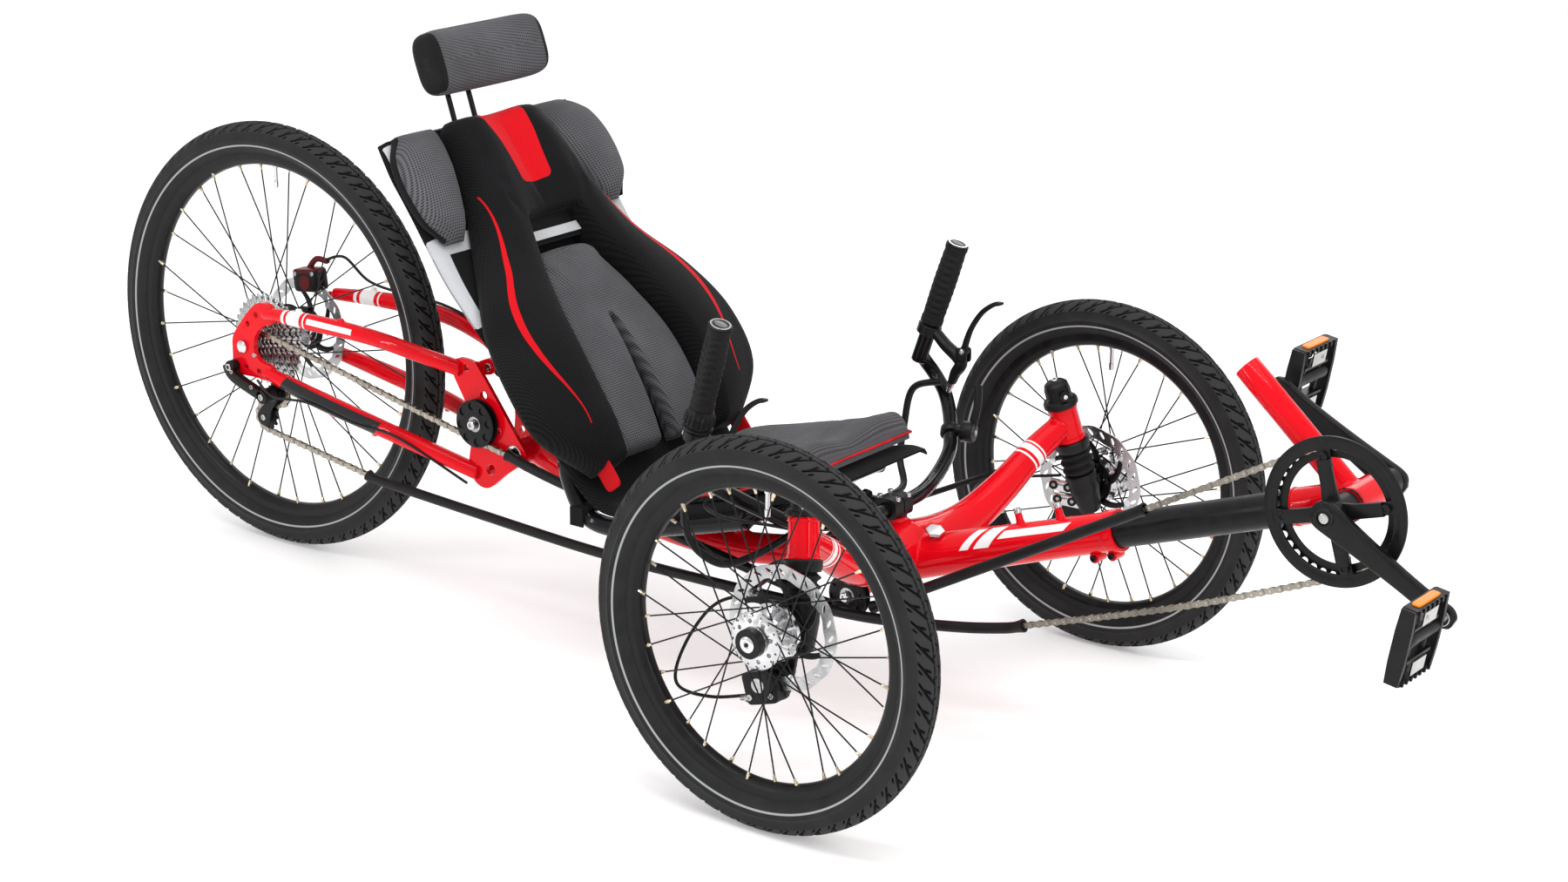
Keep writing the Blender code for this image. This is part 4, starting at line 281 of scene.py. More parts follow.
def tube(path: Sequence[Point] | Array, radius: float | Sequence[float] | Array, sides: int = 20,
         flat: float = 1.0, up: Array | None = None, bevel: float = 0.0, closed: bool = False) -> Surface:
    """A round bar along a path: middle + r (cos t side + flat sin t rise) at each station.

    Args:
        path: Points of the centre line.
        radius: One radius, or one for each point.
        sides: Points round each section.
        flat: Height of the section as a share of its width.
        up: The direction that fixes the section's turn, for flattened tubes.
        bevel: Length of the chamfer at both ends.
        closed: Whether the path is a ring.

    Returns:
        The bar's skin.
    """
    path = np.asarray(path, float)
    radii = np.broadcast_to(np.asarray(radius, float), (len(path),)).astype(float)
    if closed:
        ahead = unit(np.roll(path, -1, 0) - np.roll(path, 1, 0))
        side = unit(np.cross(np.broadcast_to(up, ahead.shape), ahead))
        rise = np.cross(ahead, side)
    else:
        ahead, side, rise = frames_along(path, up)
    if bevel and not closed:
        path = np.concatenate([path[:1], path[:1] + ahead[:1] * bevel, path[1:-1],
                               path[-1:] - ahead[-1:] * bevel, path[-1:]])
        radii = np.concatenate([radii[:1] - bevel, radii[:1], radii[1:-1], radii[-1:], radii[-1:] - bevel])
        pad = [0, 0, *range(1, len(ahead) - 1), len(ahead) - 1, len(ahead) - 1]
        side, rise = side[pad], rise[pad]
    t = full_turn(sides)
    ring = np.cos(t)[None, :, None] * side[:, None] + flat * np.sin(t)[None, :, None] * rise[:, None]
    return skin(path[:, None] + radii[:, None, None] * ring, wrap_rows=closed)


def rod(start: Array, end: Array, radius: float, sides: int = 20, bevel: float = 0.0) -> Surface:
    """A straight round bar."""
    return tube(np.stack([start, end]), radius, sides, bevel=bevel)


def lathe(profile: Sequence[tuple[float, float]], centre: Array, axis: Array = Y_AXIS, sides: int = 48,
          phase: float = 0.0) -> Surface:
    """A turned shape: centre + a axis + r (cos t side + sin t rise), for each (r, a) of the profile.

    A profile that starts on the axis is a solid; one that doesn't closes on itself as a ring.

    Args:
        profile: Radius and distance along the axis of each corner.
        centre: Where that distance is zero.
        axis: Direction of the axis.
        sides: Points round each section.
        phase: Angle of the first point.

    Returns:
        The turned skin.
    """
    axis = unit(axis)
    helper = Z_AXIS if abs(axis[2]) < 0.9 else X_AXIS
    side = unit(np.cross(helper, axis))
    rise = np.cross(axis, side)
    marks = np.array([p for p in profile if p[0] > 1e-7], float)
    t = full_turn(sides) + phase
    ring = np.cos(t)[:, None] * side + np.sin(t)[:, None] * rise
    points = centre + marks[:, 1, None, None] * axis + marks[:, 0, None, None] * ring
    solid = len(marks) < len(profile)
    return skin(points, wrap_rows=not solid)


def ribbon(path: Sequence[Point] | Array, half_width: float | Sequence[float],
           half_height: float | Sequence[float], across: Array, round_share: float = 0.35) -> Surface:
    """A flat bar along a path with rounded edges; its width lies along the direction given as across.

    Args:
        path: Points of the middle line.
        half_width: Half its width, one or for each point.
        half_height: Half its height, the same way.
        across: Direction of its width.
        round_share: Radius of the edges as a share of its thinner half.

    Returns:
        The bar's skin.
    """
    path = np.asarray(path, float)
    ahead = unit(np.gradient(path, axis=0))
    flat = unit(np.cross(np.broadcast_to(across, ahead.shape), ahead))
    wide = np.cross(ahead, flat)
    w = np.broadcast_to(np.asarray(half_width, float), (len(path),))[:, None, None]
    h = np.broadcast_to(np.asarray(half_height, float), (len(path),))[:, None, None]
    r = np.minimum(w, h) * round_share
    corners = []
    for cx, cy, start in ((1, 1, 0), (-1, 1, 90), (-1, -1, 180), (1, -1, 270)):
        for step in (0, 45, 90):
            a = math.radians(start + step)
            corners.append((cx, cy, math.cos(a), math.sin(a)))
    c = np.array(corners)
    x = c[None, :, 0, None] * (w - r) + c[None, :, 2, None] * r
    y = c[None, :, 1, None] * (h - r) + c[None, :, 3, None] * r
    return skin(path[:, None] + x * wide[:, None] + y * flat[:, None], caps="face")


def plate(outline: Sequence[Point] | Array, low: float, high: float, axis: Array = Y_AXIS) -> Surface:
    """An outline swept straight along an axis between two distances, with flat ends.

    Args:
        outline: Points of its edge.
        low: Distance of one flat along the axis.
        high: Distance of the other.
        axis: Direction of the axis.

    Returns:
        The plate's skin.
    """
    outline = np.asarray(outline, float)
    base = outline - (outline @ axis)[:, None] * axis
    return skin(np.stack([base + axis * low, base + axis * high]), caps="face")


def block(centre: Array, size: Point, turn: Array | None = None) -> Surface:
    """A box about a centre, turned when a matrix is given.

    Args:
        centre: Its middle.
        size: Its three lengths.
        turn: Its turn, a 3 by 3 matrix.

    Returns:
        The box's skin.
    """
    x, y, z = np.asarray(size, float) / 2
    square = np.array(washer(-y, y, -z, z))
    points = np.stack([np.column_stack([np.full(4, s), square]) for s in (-x, x)])
    made = skin(points, caps="face")
    return made.moved(shift=centre, turn=turn)


def washer(inner: float, outer: float, low: float, high: float) -> list[tuple[float, float]]:
    """The profile of a plain ring: four corners between two radii and two heights."""
    return [(inner, low), (outer, low), (outer, high), (inner, high)]


def heading(angle: float | Array) -> Array:
    """The direction at an angle in the upright plane that runs fore and aft: (cos a, 0, sin a)."""
    return np.stack([np.cos(angle), 0 * angle, np.sin(angle)], -1)


def full_turn(count: int) -> Array:
    """That many equal angles round a circle."""
    return np.linspace(0, 2 * np.pi, count, endpoint=False)


def turn_about(axis: Array, degrees: float) -> Array:
    """The 3 by 3 matrix of a turn about an axis through the origin."""
    return np.array(Matrix.Rotation(math.radians(degrees), 3, Vector(axis)))


def rim_point(centre: Array, radius: float, angle: float) -> Array:
    """The point at an angle on an upright circle."""
    return centre + radius * heading(angle)


def arc(centre: Array, radius: float, start: float, end: float, count: int) -> Array:
    """Points round a circle in the upright plane: centre + r (cos a, 0, sin a)."""
    return centre + radius * heading(np.linspace(start, end, count))


def smooth(points: Sequence[Point] | Array, steps: int = 8) -> Array:
    """A Catmull-Rom curve through the points, with that many stations for each gap.

    Args:
        points: Rows of points, or a row of values.
        steps: Stations for each gap.

    Returns:
        The curve, in the same form.
    """
    p = np.asarray(points, float)
    p = p[:, None] if p.ndim == 1 else p
    a = np.concatenate([p[:1], p[:-2]]) if len(p) > 2 else p[:1]
    b, c = p[:-1], p[1:]
    d = np.concatenate([p[2:], p[-1:]])
    t = np.arange(steps)[None, :, None] / steps
    a, b, c, d = (q[:, None] for q in (a, b, c, d))
    curve = 0.5 * (2 * b + (c - a) * t + (2 * a - 5 * b + 4 * c - d) * t**2 + (3 * b - a - 3 * c + d) * t**3)
    out = np.concatenate([curve.reshape(-1, p.shape[1]), p[-1:]])
    return out[:, 0] if np.asarray(points).ndim == 1 else out


def distances(path: Array) -> Array:
    """The distance of each point of a line from its first, measured along the line."""
    return np.concatenate([[0], np.cumsum(np.linalg.norm(np.diff(path, axis=0), axis=1))])


def length_of(path: Array) -> float:
    """The length of a line of points."""
    return float(distances(path)[-1])


def spaced(path: Array, count: int) -> Array:
    """The same line with that many points at equal distances.

    Args:
        path: Points of the middle line.
        count: How many.

    Returns:
        The new points.
    """
    far = distances(path)
    at = np.linspace(0, far[-1], count)
    return np.stack([np.interp(at, far, path[:, k]) for k in range(path.shape[1])], -1)


# Finishes


class Graph:
    """Adds and links the nodes of one tree."""

    def __init__(self, tree: bpy.types.NodeTree) -> None:
        """Take the tree."""
        self.tree = tree

    def add(self, kind: str, **settings: object) -> bpy.types.Node:
        """A new node with its settings.

        Args:
            kind: Blender's name for its type.
            settings: Its properties.

        Returns:
            The node.
        """
        node = self.tree.nodes.new(kind)
        for key, value in settings.items():
            setattr(node, key, value)
        return node

    def feed(self, socket: bpy.types.NodeSocket, value: object) -> None:
        """Link an output into a socket, or set the socket's own value.

        Args:
            socket: An input socket.
            value: An output to link, a value to set, or None for neither.
        """
        if isinstance(value, bpy.types.NodeSocket):
            self.tree.links.new(value, socket)
        elif value is not None:
            socket.default_value = value

    def math(self, word: str, a: object, b: object = None, c: object = None) -> bpy.types.NodeSocket:
        """One Math node.

        Args:
            word: The operation.
            a: First value or output.
            b: Second one.
            c: Third one.

        Returns:
            The result.
        """
        node = self.add("ShaderNodeMath", operation=word)
        for socket, value in zip(node.inputs, (a, b, c)):
            self.feed(socket, value)
        return node.outputs[0]

    def step(self, value: object, low: float, high: float, out_low: float = 0.0,
             out_high: float = 1.0) -> bpy.types.NodeSocket:
        """A smooth rise from one value to the other between two limits.

        Args:
            value: The value read.
            low: Where the rise starts.
            high: Where it ends.
            out_low: Result before it.
            out_high: Result after it.

        Returns:
            The result.
        """
        node = self.add("ShaderNodeMapRange", interpolation_type="SMOOTHSTEP")
        for socket, given in zip(node.inputs, (value, low, high, out_low, out_high)):
            self.feed(socket, given)
        return node.outputs[0]

    def mix(self, share: object, a: object, b: object) -> bpy.types.NodeSocket:
        """Two colours blended by a share.

        Args:
            share: A share between zero and one.
            a: Colour at zero.
            b: Colour at one.

        Returns:
            The blend.
        """
        node = self.add("ShaderNodeMix", data_type="RGBA")
        for key, value in ((0, share), (6, a), (7, b)):
            self.feed(node.inputs[key], value)
        return node.outputs[2]

    def noise(self, where: object, scale: float, detail: float = 2.0) -> bpy.types.NodeSocket:
        """Grey noise at a scale in features a metre.

        Args:
            where: Coordinates to read.
            scale: Features a metre.
            detail: Levels of finer noise.

        Returns:
            The noise.
        """
        node = self.add("ShaderNodeTexNoise")
        self.feed(node.inputs["Vector"], where)
        node.inputs["Scale"].default_value = scale
        node.inputs["Detail"].default_value = detail
        return node.outputs["Fac"]

    def parts(self, where: object) -> tuple[bpy.types.NodeSocket, ...]:
        """The x, y and z of a vector.

        Args:
            where: Coordinates to read.

        Returns:
            The three outputs.
        """
        node = self.add("ShaderNodeSeparateXYZ")
        self.feed(node.inputs[0], where)
        return tuple(node.outputs)

    def coordinates(self, kind: str = "Object") -> bpy.types.NodeSocket:
        """Object or UV coordinates."""
        return self.add("ShaderNodeTexCoord").outputs[kind]

    def along(self, where: object, origin: Array, axis: Array) -> bpy.types.NodeSocket:
        """Distance of a place from an origin, measured along an axis.

        Args:
            where: Coordinates to read.
            origin: The place of zero.
            axis: Direction of the axis.

        Returns:
            The distance.
        """
        node = self.add("ShaderNodeVectorMath", operation="DOT_PRODUCT")
        self.feed(node.inputs[0], where)
        node.inputs[1].default_value = tuple(axis)
        return self.math("SUBTRACT", node.outputs["Value"], float(np.dot(origin, axis)))

    def use(self, group: bpy.types.NodeTree, **inputs: object) -> bpy.types.Node:
        """Place a node group with its values.

        Args:
            group: The group.
            inputs: Values or outputs for its inputs.

        Returns:
            The node.
        """
        node = self.add("ShaderNodeGroup", node_tree=group)
        for key, value in inputs.items():
            self.feed(node.inputs[key], value)
        return node


def new_group(name: str, inputs: dict[str, str],
              outputs: Sequence[str]) -> tuple[bpy.types.NodeTree, Graph, dict, bpy.types.Node]:
    """An empty shader group with its sockets, its graph, its input sockets and its output node.

    Args:
        name: The group's name.
        inputs: Kind of socket for each input.
        outputs: Names of the outputs.

    Returns:
        The group, its graph, its inputs and its output node.
    """
    tree = bpy.data.node_groups.new(name, "ShaderNodeTree")
    for key, kind in inputs.items():
        tree.interface.new_socket(key, in_out="INPUT", socket_type=f"NodeSocket{kind}")
    for key in outputs:
        tree.interface.new_socket(key, in_out="OUTPUT", socket_type="NodeSocketFloat")
    graph = Graph(tree)
    source = graph.add("NodeGroupInput")
    return tree, graph, {k: source.outputs[k] for k in inputs}, graph.add("NodeGroupOutput")


class Effects:
    """The shader groups that several finishes share, each built once."""

    made: dict[str, bpy.types.NodeTree] = {}

    @classmethod
    def grain(cls) -> bpy.types.NodeTree:
        """Fine moulded or sprayed grain: Height for bump, Mottle for slow changes of gloss.

        Returns:
            The group.
        """
        if "grain" not in cls.made:
            tree, g, given, out = new_group("fine grain", {"Vector": "Vector", "Scale": "Float"},
                                            ("Height", "Mottle"))
            fine = g.add("ShaderNodeTexNoise")
            slow = g.add("ShaderNodeTexNoise")
            for node, share in ((fine, 1.0), (slow, 0.03)):
                g.feed(node.inputs["Vector"], given["Vector"])
                g.feed(node.inputs["Scale"], g.math("MULTIPLY", given["Scale"], share))
                node.inputs["Detail"].default_value = 3.0
            g.feed(out.inputs["Height"], fine.outputs["Fac"])
            g.feed(out.inputs["Mottle"], g.step(slow.outputs["Fac"], 0.35, 0.65))
            cls.made["grain"] = tree
        return cls.made["grain"]

    @classmethod
    def scuff(cls) -> bpy.types.NodeTree:
        """Faint handling marks: short streaks, one where the surface is rubbed.

        Returns:
            The group.
        """
        if "scuff" not in cls.made:
            tree, g, given, out = new_group("scuff marks", {"Vector": "Vector", "Amount": "Float"}, ("Mark",))
            stretch = g.add("ShaderNodeMapping")
            stretch.inputs["Scale"].default_value = (60, 420, 160)
            stretch.inputs["Rotation"].default_value = (0.4, 0.7, 0.3)
            g.feed(stretch.inputs["Vector"], given["Vector"])
            streak = g.noise(stretch.outputs[0], 1.0, 4.0)
            patch = g.noise(given["Vector"], 14.0, 2.0)
            mark = g.math("MULTIPLY", g.step(streak, 0.6, 0.74), g.step(patch, 0.48, 0.62))
            g.feed(out.inputs["Mark"], g.math("MULTIPLY", mark, given["Amount"]))
            cls.made["scuff"] = tree
        return cls.made["scuff"]

    @classmethod
    def spacer(cls) -> bpy.types.NodeTree:
        """Spacer mesh: ribs crossed by rows of small holes. Height for bump, Hole for the painted shade in
        the holes.

        Returns:
            The group.
        """
        if "spacer" not in cls.made:
            tree, g, given, out = new_group("spacer mesh", {"Vector": "Vector", "Pitch": "Float",
                                                            "Lean": "Float"}, ("Height", "Hole", "Wear"))
            x, y, _ = g.parts(given["Vector"])
            full = 2 * math.pi
            leaned = g.math("MULTIPLY_ADD", y, given["Lean"], x)
            rib = g.math("MULTIPLY", g.math("DIVIDE", leaned, given["Pitch"]), full)
            cross = g.math("MULTIPLY", g.math("DIVIDE", y, given["Pitch"]), full * 0.62)
            shift = g.math("MULTIPLY_ADD", rib, 0.5, cross)
            ribs = g.math("SINE", rib)
            back = g.math("SUBTRACT", cross, g.math("MULTIPLY", rib, 0.5))
            rows = g.math("MULTIPLY", g.math("SINE", shift), g.math("SINE", back))
            height = g.math("MULTIPLY_ADD", ribs, 0.35, rows)
            g.feed(out.inputs["Height"], g.math("MULTIPLY_ADD", height, 0.4, 0.5))
            # Hole masks the holes, where the colour is darkened as painted shade.
            g.feed(out.inputs["Hole"], g.step(rows, 0.15, -0.55))
            g.feed(out.inputs["Wear"], g.noise(given["Vector"], 9.0, 3.0))
            cls.made["spacer"] = tree
        return cls.made["spacer"]


@dataclass(frozen=True)
class Finish:
    """A surface finish. Kinds of finish build their own nodes in dress()."""

    name: str
    colour: tuple[float, float, float]
    roughness: float = 0.4
    metallic: float = 0.0

    def dress(self, g: Graph, shader: bpy.types.Node) -> None:
        """Feed the Principled shader."""

    def material(self) -> bpy.types.Material:
        """The Blender material, made on first use.

        Returns:
            The material.
        """
        known = bpy.data.materials.get(self.name)
        if known is not None:
            return known
        made = bpy.data.materials.new(self.name)
        made.use_nodes = True
        g = Graph(made.node_tree)
        shader = made.node_tree.nodes["Principled BSDF"]
        shader.inputs["Base Color"].default_value = (*self.colour, 1)
        shader.inputs["Roughness"].default_value = self.roughness
        shader.inputs["Metallic"].default_value = self.metallic
        made.diffuse_color = (*self.colour, 1)
        self.dress(g, shader)
        return made

    def bump(self, g: Graph, shader: bpy.types.Node, height: object, distance: float,
             strength: float = 1.0) -> None:
        """Raise the surface by a height.

        Args:
            g: The material's graph.
            shader: The Principled shader.
            height: The height's output.
            distance: Relief in metres.
            strength: Share of it that shows.
        """
        node = g.add("ShaderNodeBump")
        node.inputs["Distance"].default_value = distance
        node.inputs["Strength"].default_value = strength
        g.feed(node.inputs["Height"], height)
        g.feed(shader.inputs["Normal"], node.outputs[0])

    def shades(self, g: Graph, share: object, darker: float = 0.75,
               lighter: float = 1.15) -> bpy.types.NodeSocket:
        """The finish's colour, varied between a darker and a lighter one.

        Args:
            g: The material's graph.
            share: A share between zero and one.
            darker: Share of the colour at zero.
            lighter: Share of the colour at one.

        Returns:
            The colour's output.
        """
        low = tuple(c * darker for c in self.colour) + (1,)
        high = tuple(min(1.0, c * lighter) for c in self.colour) + (1,)
        return g.mix(share, low, high)


@dataclass(frozen=True)
class Band:
    """A painted mark: the part of a tube between two distances along an axis, inside a radius of it."""

    origin: tuple[float, float, float]
    axis: tuple[float, float, float]
    low: float
    high: float
    reach: float = 0.06
    colour: tuple[float, float, float] = (0.86, 0.86, 0.85)
    facing: tuple[float, float, float] | None = None
    half_width: float = 0.0
    slant: float = 0.0


@dataclass(frozen=True)
class Paint(Finish):
    """Glossy sprayed paint under lacquer, with masked bands."""

    coat: float = 1.0
    bands: tuple[Band, ...] = ()

    def band_mask(self, g: Graph, where: object, band: Band) -> bpy.types.NodeSocket:
        """One inside the band, sharp at its masked edges.

        Args:
            g: The material's graph.
            where: Coordinates to read.
            band: The mark.

        Returns:
            The mask's output.
        """
        axis = unit(vec(*band.axis))
        origin = vec(*band.origin)
        far = g.along(where, origin, axis)
        if band.facing is not None and band.slant:
            across = unit(np.cross(axis, vec(*band.facing)))
            far = g.math("MULTIPLY_ADD", g.along(where, origin, across), band.slant, far)
        edge = 0.0003
        mask = g.math("MULTIPLY", g.step(far, band.low - edge, band.low + edge),
                      g.step(far, band.high + edge, band.high - edge))
        back = g.add("ShaderNodeVectorMath", operation="DISTANCE")
        g.feed(back.inputs[0], where)
        middle = origin + axis * (band.low + band.high) / 2
        back.inputs[1].default_value = tuple(middle)
        reach = band.reach + (band.high - band.low) / 2
        mask = g.math("MULTIPLY", mask, g.step(back.outputs["Value"], reach + edge, reach - edge))
        if band.facing is not None:
            facing = unit(vec(*band.facing))
            across = unit(np.cross(axis, facing))
            wide = g.math("ABSOLUTE", g.along(where, origin, across))
            mask = g.math("MULTIPLY", mask, g.step(wide, band.half_width + edge, band.half_width - edge))
            mask = g.math("MULTIPLY", mask, g.step(g.along(where, origin, facing), -0.001, 0.001))
        return mask

    def dress(self, g: Graph, shader: bpy.types.Node) -> None:
        """Colour with its bands, a slight orange peel and a clear coat.

        Args:
            g: The material's graph.
            shader: The Principled shader.
        """
        where = g.coordinates()
        grain = g.use(Effects.grain(), Vector=where, Scale=260.0)
        colour = self.shades(g, grain.outputs["Mottle"], 0.93, 1.04)
        for band in self.bands:
            colour = g.mix(self.band_mask(g, where, band), colour, (*band.colour, 1))
        g.feed(shader.inputs["Base Color"], colour)
        marks = g.use(Effects.scuff(), Vector=where, Amount=0.16)
        g.feed(shader.inputs["Roughness"], g.math("ADD", marks.outputs["Mark"], self.roughness))
        self.bump(g, shader, grain.outputs["Height"], 0.00005)
        shader.inputs["Coat Weight"].default_value = self.coat
        shader.inputs["Coat Roughness"].default_value = 0.05
        shader.inputs["Coat IOR"].default_value = 1.2
        shader.inputs["Specular IOR Level"].default_value = 0.06


@dataclass(frozen=True)
class Metal(Finish):
    """Bare or plated metal with fine streaks."""

    streaks: float = 0.1
    metallic: float = 1.0

    def dress(self, g: Graph, shader: bpy.types.Node) -> None:
        """Roughness and colour vary along fine streaks and with handling.

        Args:
            g: The material's graph.
            shader: The Principled shader.
        """
        where = g.coordinates()
        stretch = g.add("ShaderNodeMapping")
        stretch.inputs["Scale"].default_value = (900, 60, 900)
        g.feed(stretch.inputs["Vector"], where)
        streak = g.noise(stretch.outputs[0], 1.0, 3.0)
        grain = g.use(Effects.grain(), Vector=where, Scale=700.0)
        g.feed(shader.inputs["Base Color"], self.shades(g, grain.outputs["Mottle"], 0.86, 1.06))
        marks = g.use(Effects.scuff(), Vector=where, Amount=0.15)
        rough = g.step(streak, 0.3, 0.7, self.roughness - self.streaks / 2, self.roughness + self.streaks / 2)
        g.feed(shader.inputs["Roughness"], g.math("ADD", rough, marks.outputs["Mark"]))
        self.bump(g, shader, streak, 0.00002)


@dataclass(frozen=True)
class Moulded(Finish):
    """Plastic, rubber or satin anodising with a fine grain."""

    grain: float = 1400.0
    relief: float = 0.00006

    def dress(self, g: Graph, shader: bpy.types.Node) -> None:
        """A little colour and gloss variation over the grain.

        Args:
            g: The material's graph.
            shader: The Principled shader.
        """
        where = g.coordinates()
        grain = g.use(Effects.grain(), Vector=where, Scale=self.grain)
        marks = g.use(Effects.scuff(), Vector=where, Amount=0.22)
        g.feed(shader.inputs["Base Color"], g.mix(marks.outputs["Mark"],
                                                  self.shades(g, grain.outputs["Mottle"], 0.8, 1.2),
                                                  tuple(min(1.0, c * 2.2 + 0.02) for c in self.colour)
                                                  + (1,)))
        rough = g.step(grain.outputs["Mottle"], 0.0, 1.0, self.roughness - 0.05, self.roughness + 0.06)
        g.feed(shader.inputs["Roughness"], rough)
        shader.inputs["Specular IOR Level"].default_value = 0.2
        self.bump(g, shader, grain.outputs["Height"], self.relief)


@dataclass(frozen=True)
class Fabric(Finish):
    """Spacer mesh cloth on the piece's own UV, in metres."""

    pitch: float = 0.0042
    lean: float = 0.35
    # Share of the colour left in the holes: painted shade inside them.
    hole: float = 0.35
    relief: float = 0.0006

    def dress(self, g: Graph, shader: bpy.types.Node) -> None:
        """Ribs and holes in colour, gloss and height, with painted shade darkening the holes and soft wear.

        Args:
            g: The material's graph.
            shader: The Principled shader.
        """
        where = g.coordinates("UV")
        mesh = g.use(Effects.spacer(), Vector=where, Pitch=self.pitch, Lean=self.lean)
        worn = self.shades(g, g.step(mesh.outputs["Wear"], 0.35, 0.68), 0.86, 1.2)
        # Painted shade: a darker copy of the colour fills the holes.
        dark = tuple(c * self.hole for c in self.colour) + (1,)
        g.feed(shader.inputs["Base Color"], g.mix(mesh.outputs["Hole"], worn, dark))
        rough = g.step(mesh.outputs["Hole"], 0.0, 1.0, self.roughness - 0.06, self.roughness + 0.06)
        g.feed(shader.inputs["Roughness"], rough)
        self.bump(g, shader, mesh.outputs["Height"], self.relief, 0.9)
        shader.inputs["Sheen Weight"].default_value = 0.06
        shader.inputs["Sheen Roughness"].default_value = 0.4
        shader.inputs["Specular IOR Level"].default_value = 0.12


@dataclass(frozen=True)
class TyreRubber(Finish):
    """Tyre rubber: grey dusty tread, smooth black walls, painted shade in the tread's grooves and a
    reflective line, on UV across the tyre.
    """

    tread_half: float = 0.026
    line_at: float = 0.045
    line_half: float = 0.0011

    def dress(self, g: Graph, shader: bpy.types.Node) -> None:
        """The V of the UV is the distance from the crown, so bands follow the tyre.

        Args:
            g: The material's graph.
            shader: The Principled shader.
        """
        _, v, _ = g.parts(g.coordinates("UV"))
        where = g.coordinates()
        grain = g.use(Effects.grain(), Vector=where, Scale=900.0)
        away = g.math("ABSOLUTE", v)
        tread = g.step(away, self.tread_half + 0.001, self.tread_half - 0.001)
        wall = self.shades(g, grain.outputs["Mottle"], 0.8, 1.15)
        road = tuple(c * 2.1 + 0.004 for c in self.colour) + (1,)
        colour = g.mix(tread, wall, g.mix(grain.outputs["Height"], road,
                                          tuple(c * 1.6 for c in self.colour) + (1,)))
        # Painted shade: where the groove attribute marks a cut groove, the rubber is darkened far below its
        # own colour to stand in for the shade inside it.
        groove = g.add("ShaderNodeAttribute", attribute_name="groove").outputs["Fac"]
        colour = g.mix(g.step(groove, 0.05, 0.55), colour, tuple(c * 0.14 for c in self.colour) + (1,))
        off = g.math("ABSOLUTE", g.math("SUBTRACT", away, self.line_at))
        line = g.step(off, self.line_half + 0.0003, self.line_half)
        g.feed(shader.inputs["Base Color"], g.mix(line, colour, (0.34, 0.35, 0.36, 1)))
        rough = g.step(tread, 0.0, 1.0, self.roughness - 0.2, self.roughness)
        g.feed(shader.inputs["Roughness"], g.math("MULTIPLY_ADD", grain.outputs["Height"], 0.12, rough))
        shader.inputs["Specular IOR Level"].default_value = 0.18
        self.bump(g, shader, grain.outputs["Height"], 0.00012)


RED = (0.74, 0.0022, 0.0095)
RED_PAINT = Paint("red paint", RED, 0.16)
GLOSS_BLACK = Paint("gloss black paint", (0.006, 0.006, 0.007), 0.14)
SATIN_BLACK = Moulded("satin black", (0.0065, 0.0065, 0.0072), 0.34, grain=1800.0, relief=0.00003)
PLASTIC = Moulded("black plastic", (0.0072, 0.0072, 0.008), 0.42)
RUBBER = Moulded("black rubber", (0.008, 0.008, 0.0087), 0.62, grain=2600.0, relief=0.0001)
SILVER = Metal("polished alloy", (0.66, 0.66, 0.67), 0.16)
BRUSHED = Metal("brushed alloy", (0.52, 0.52, 0.53), 0.3, streaks=0.16)
STEEL = Metal("bright steel", (0.47, 0.465, 0.455), 0.22)
CHAIN_STEEL = Metal("oiled chain steel", (0.34, 0.305, 0.255), 0.3)
BRASS = Metal("brass nipple", (0.72, 0.62, 0.45), 0.25)
BLACK_MESH = Fabric("black spacer mesh", (0.0088, 0.0086, 0.0096), 0.86, pitch=0.0036, lean=0.55, hole=0.25)
GREY_MESH = Fabric("grey spacer mesh", (0.105, 0.103, 0.112), 0.82, pitch=0.0042, lean=0.25, hole=0.3)
BLACK_CLOTH = Fabric("black webbing", (0.0085, 0.0085, 0.0092), 0.8, pitch=0.0016, lean=1.0, hole=0.5,
                     relief=0.0003)
RED_CLOTH = Fabric("red cloth", (0.6, 0.004, 0.01), 0.75, pitch=0.0012, lean=0.0, hole=0.75, relief=0.0002)
SILVER_CLOTH = Fabric("reflective cloth", (0.5, 0.51, 0.52), 0.45, pitch=0.001, lean=0.0, hole=0.85,
                      relief=0.0001)
RED_THREAD = Moulded("red thread", (0.55, 0.008, 0.012), 0.7)
BADGE_METAL = Metal("badge plate", (0.75, 0.75, 0.76), 0.3)
GREY_PLASTIC = Moulded("grey plug", (0.16, 0.16, 0.165), 0.35)
PALE_LABEL = Moulded("pale label", (0.72, 0.72, 0.72), 0.35)
RED_KNOB = Moulded("red knob", (0.5, 0.01, 0.015), 0.3)
DARK_RED = Moulded("dark red anodising", (0.1, 0.004, 0.007), 0.28)
HOUSING = Moulded("cable housing", (0.011, 0.011, 0.012), 0.38, grain=2400.0, relief=0.00005)
REFLECTOR = Moulded("orange reflector", (0.85, 0.22, 0.01), 0.18, grain=600.0, relief=0.0002)


# Pieces


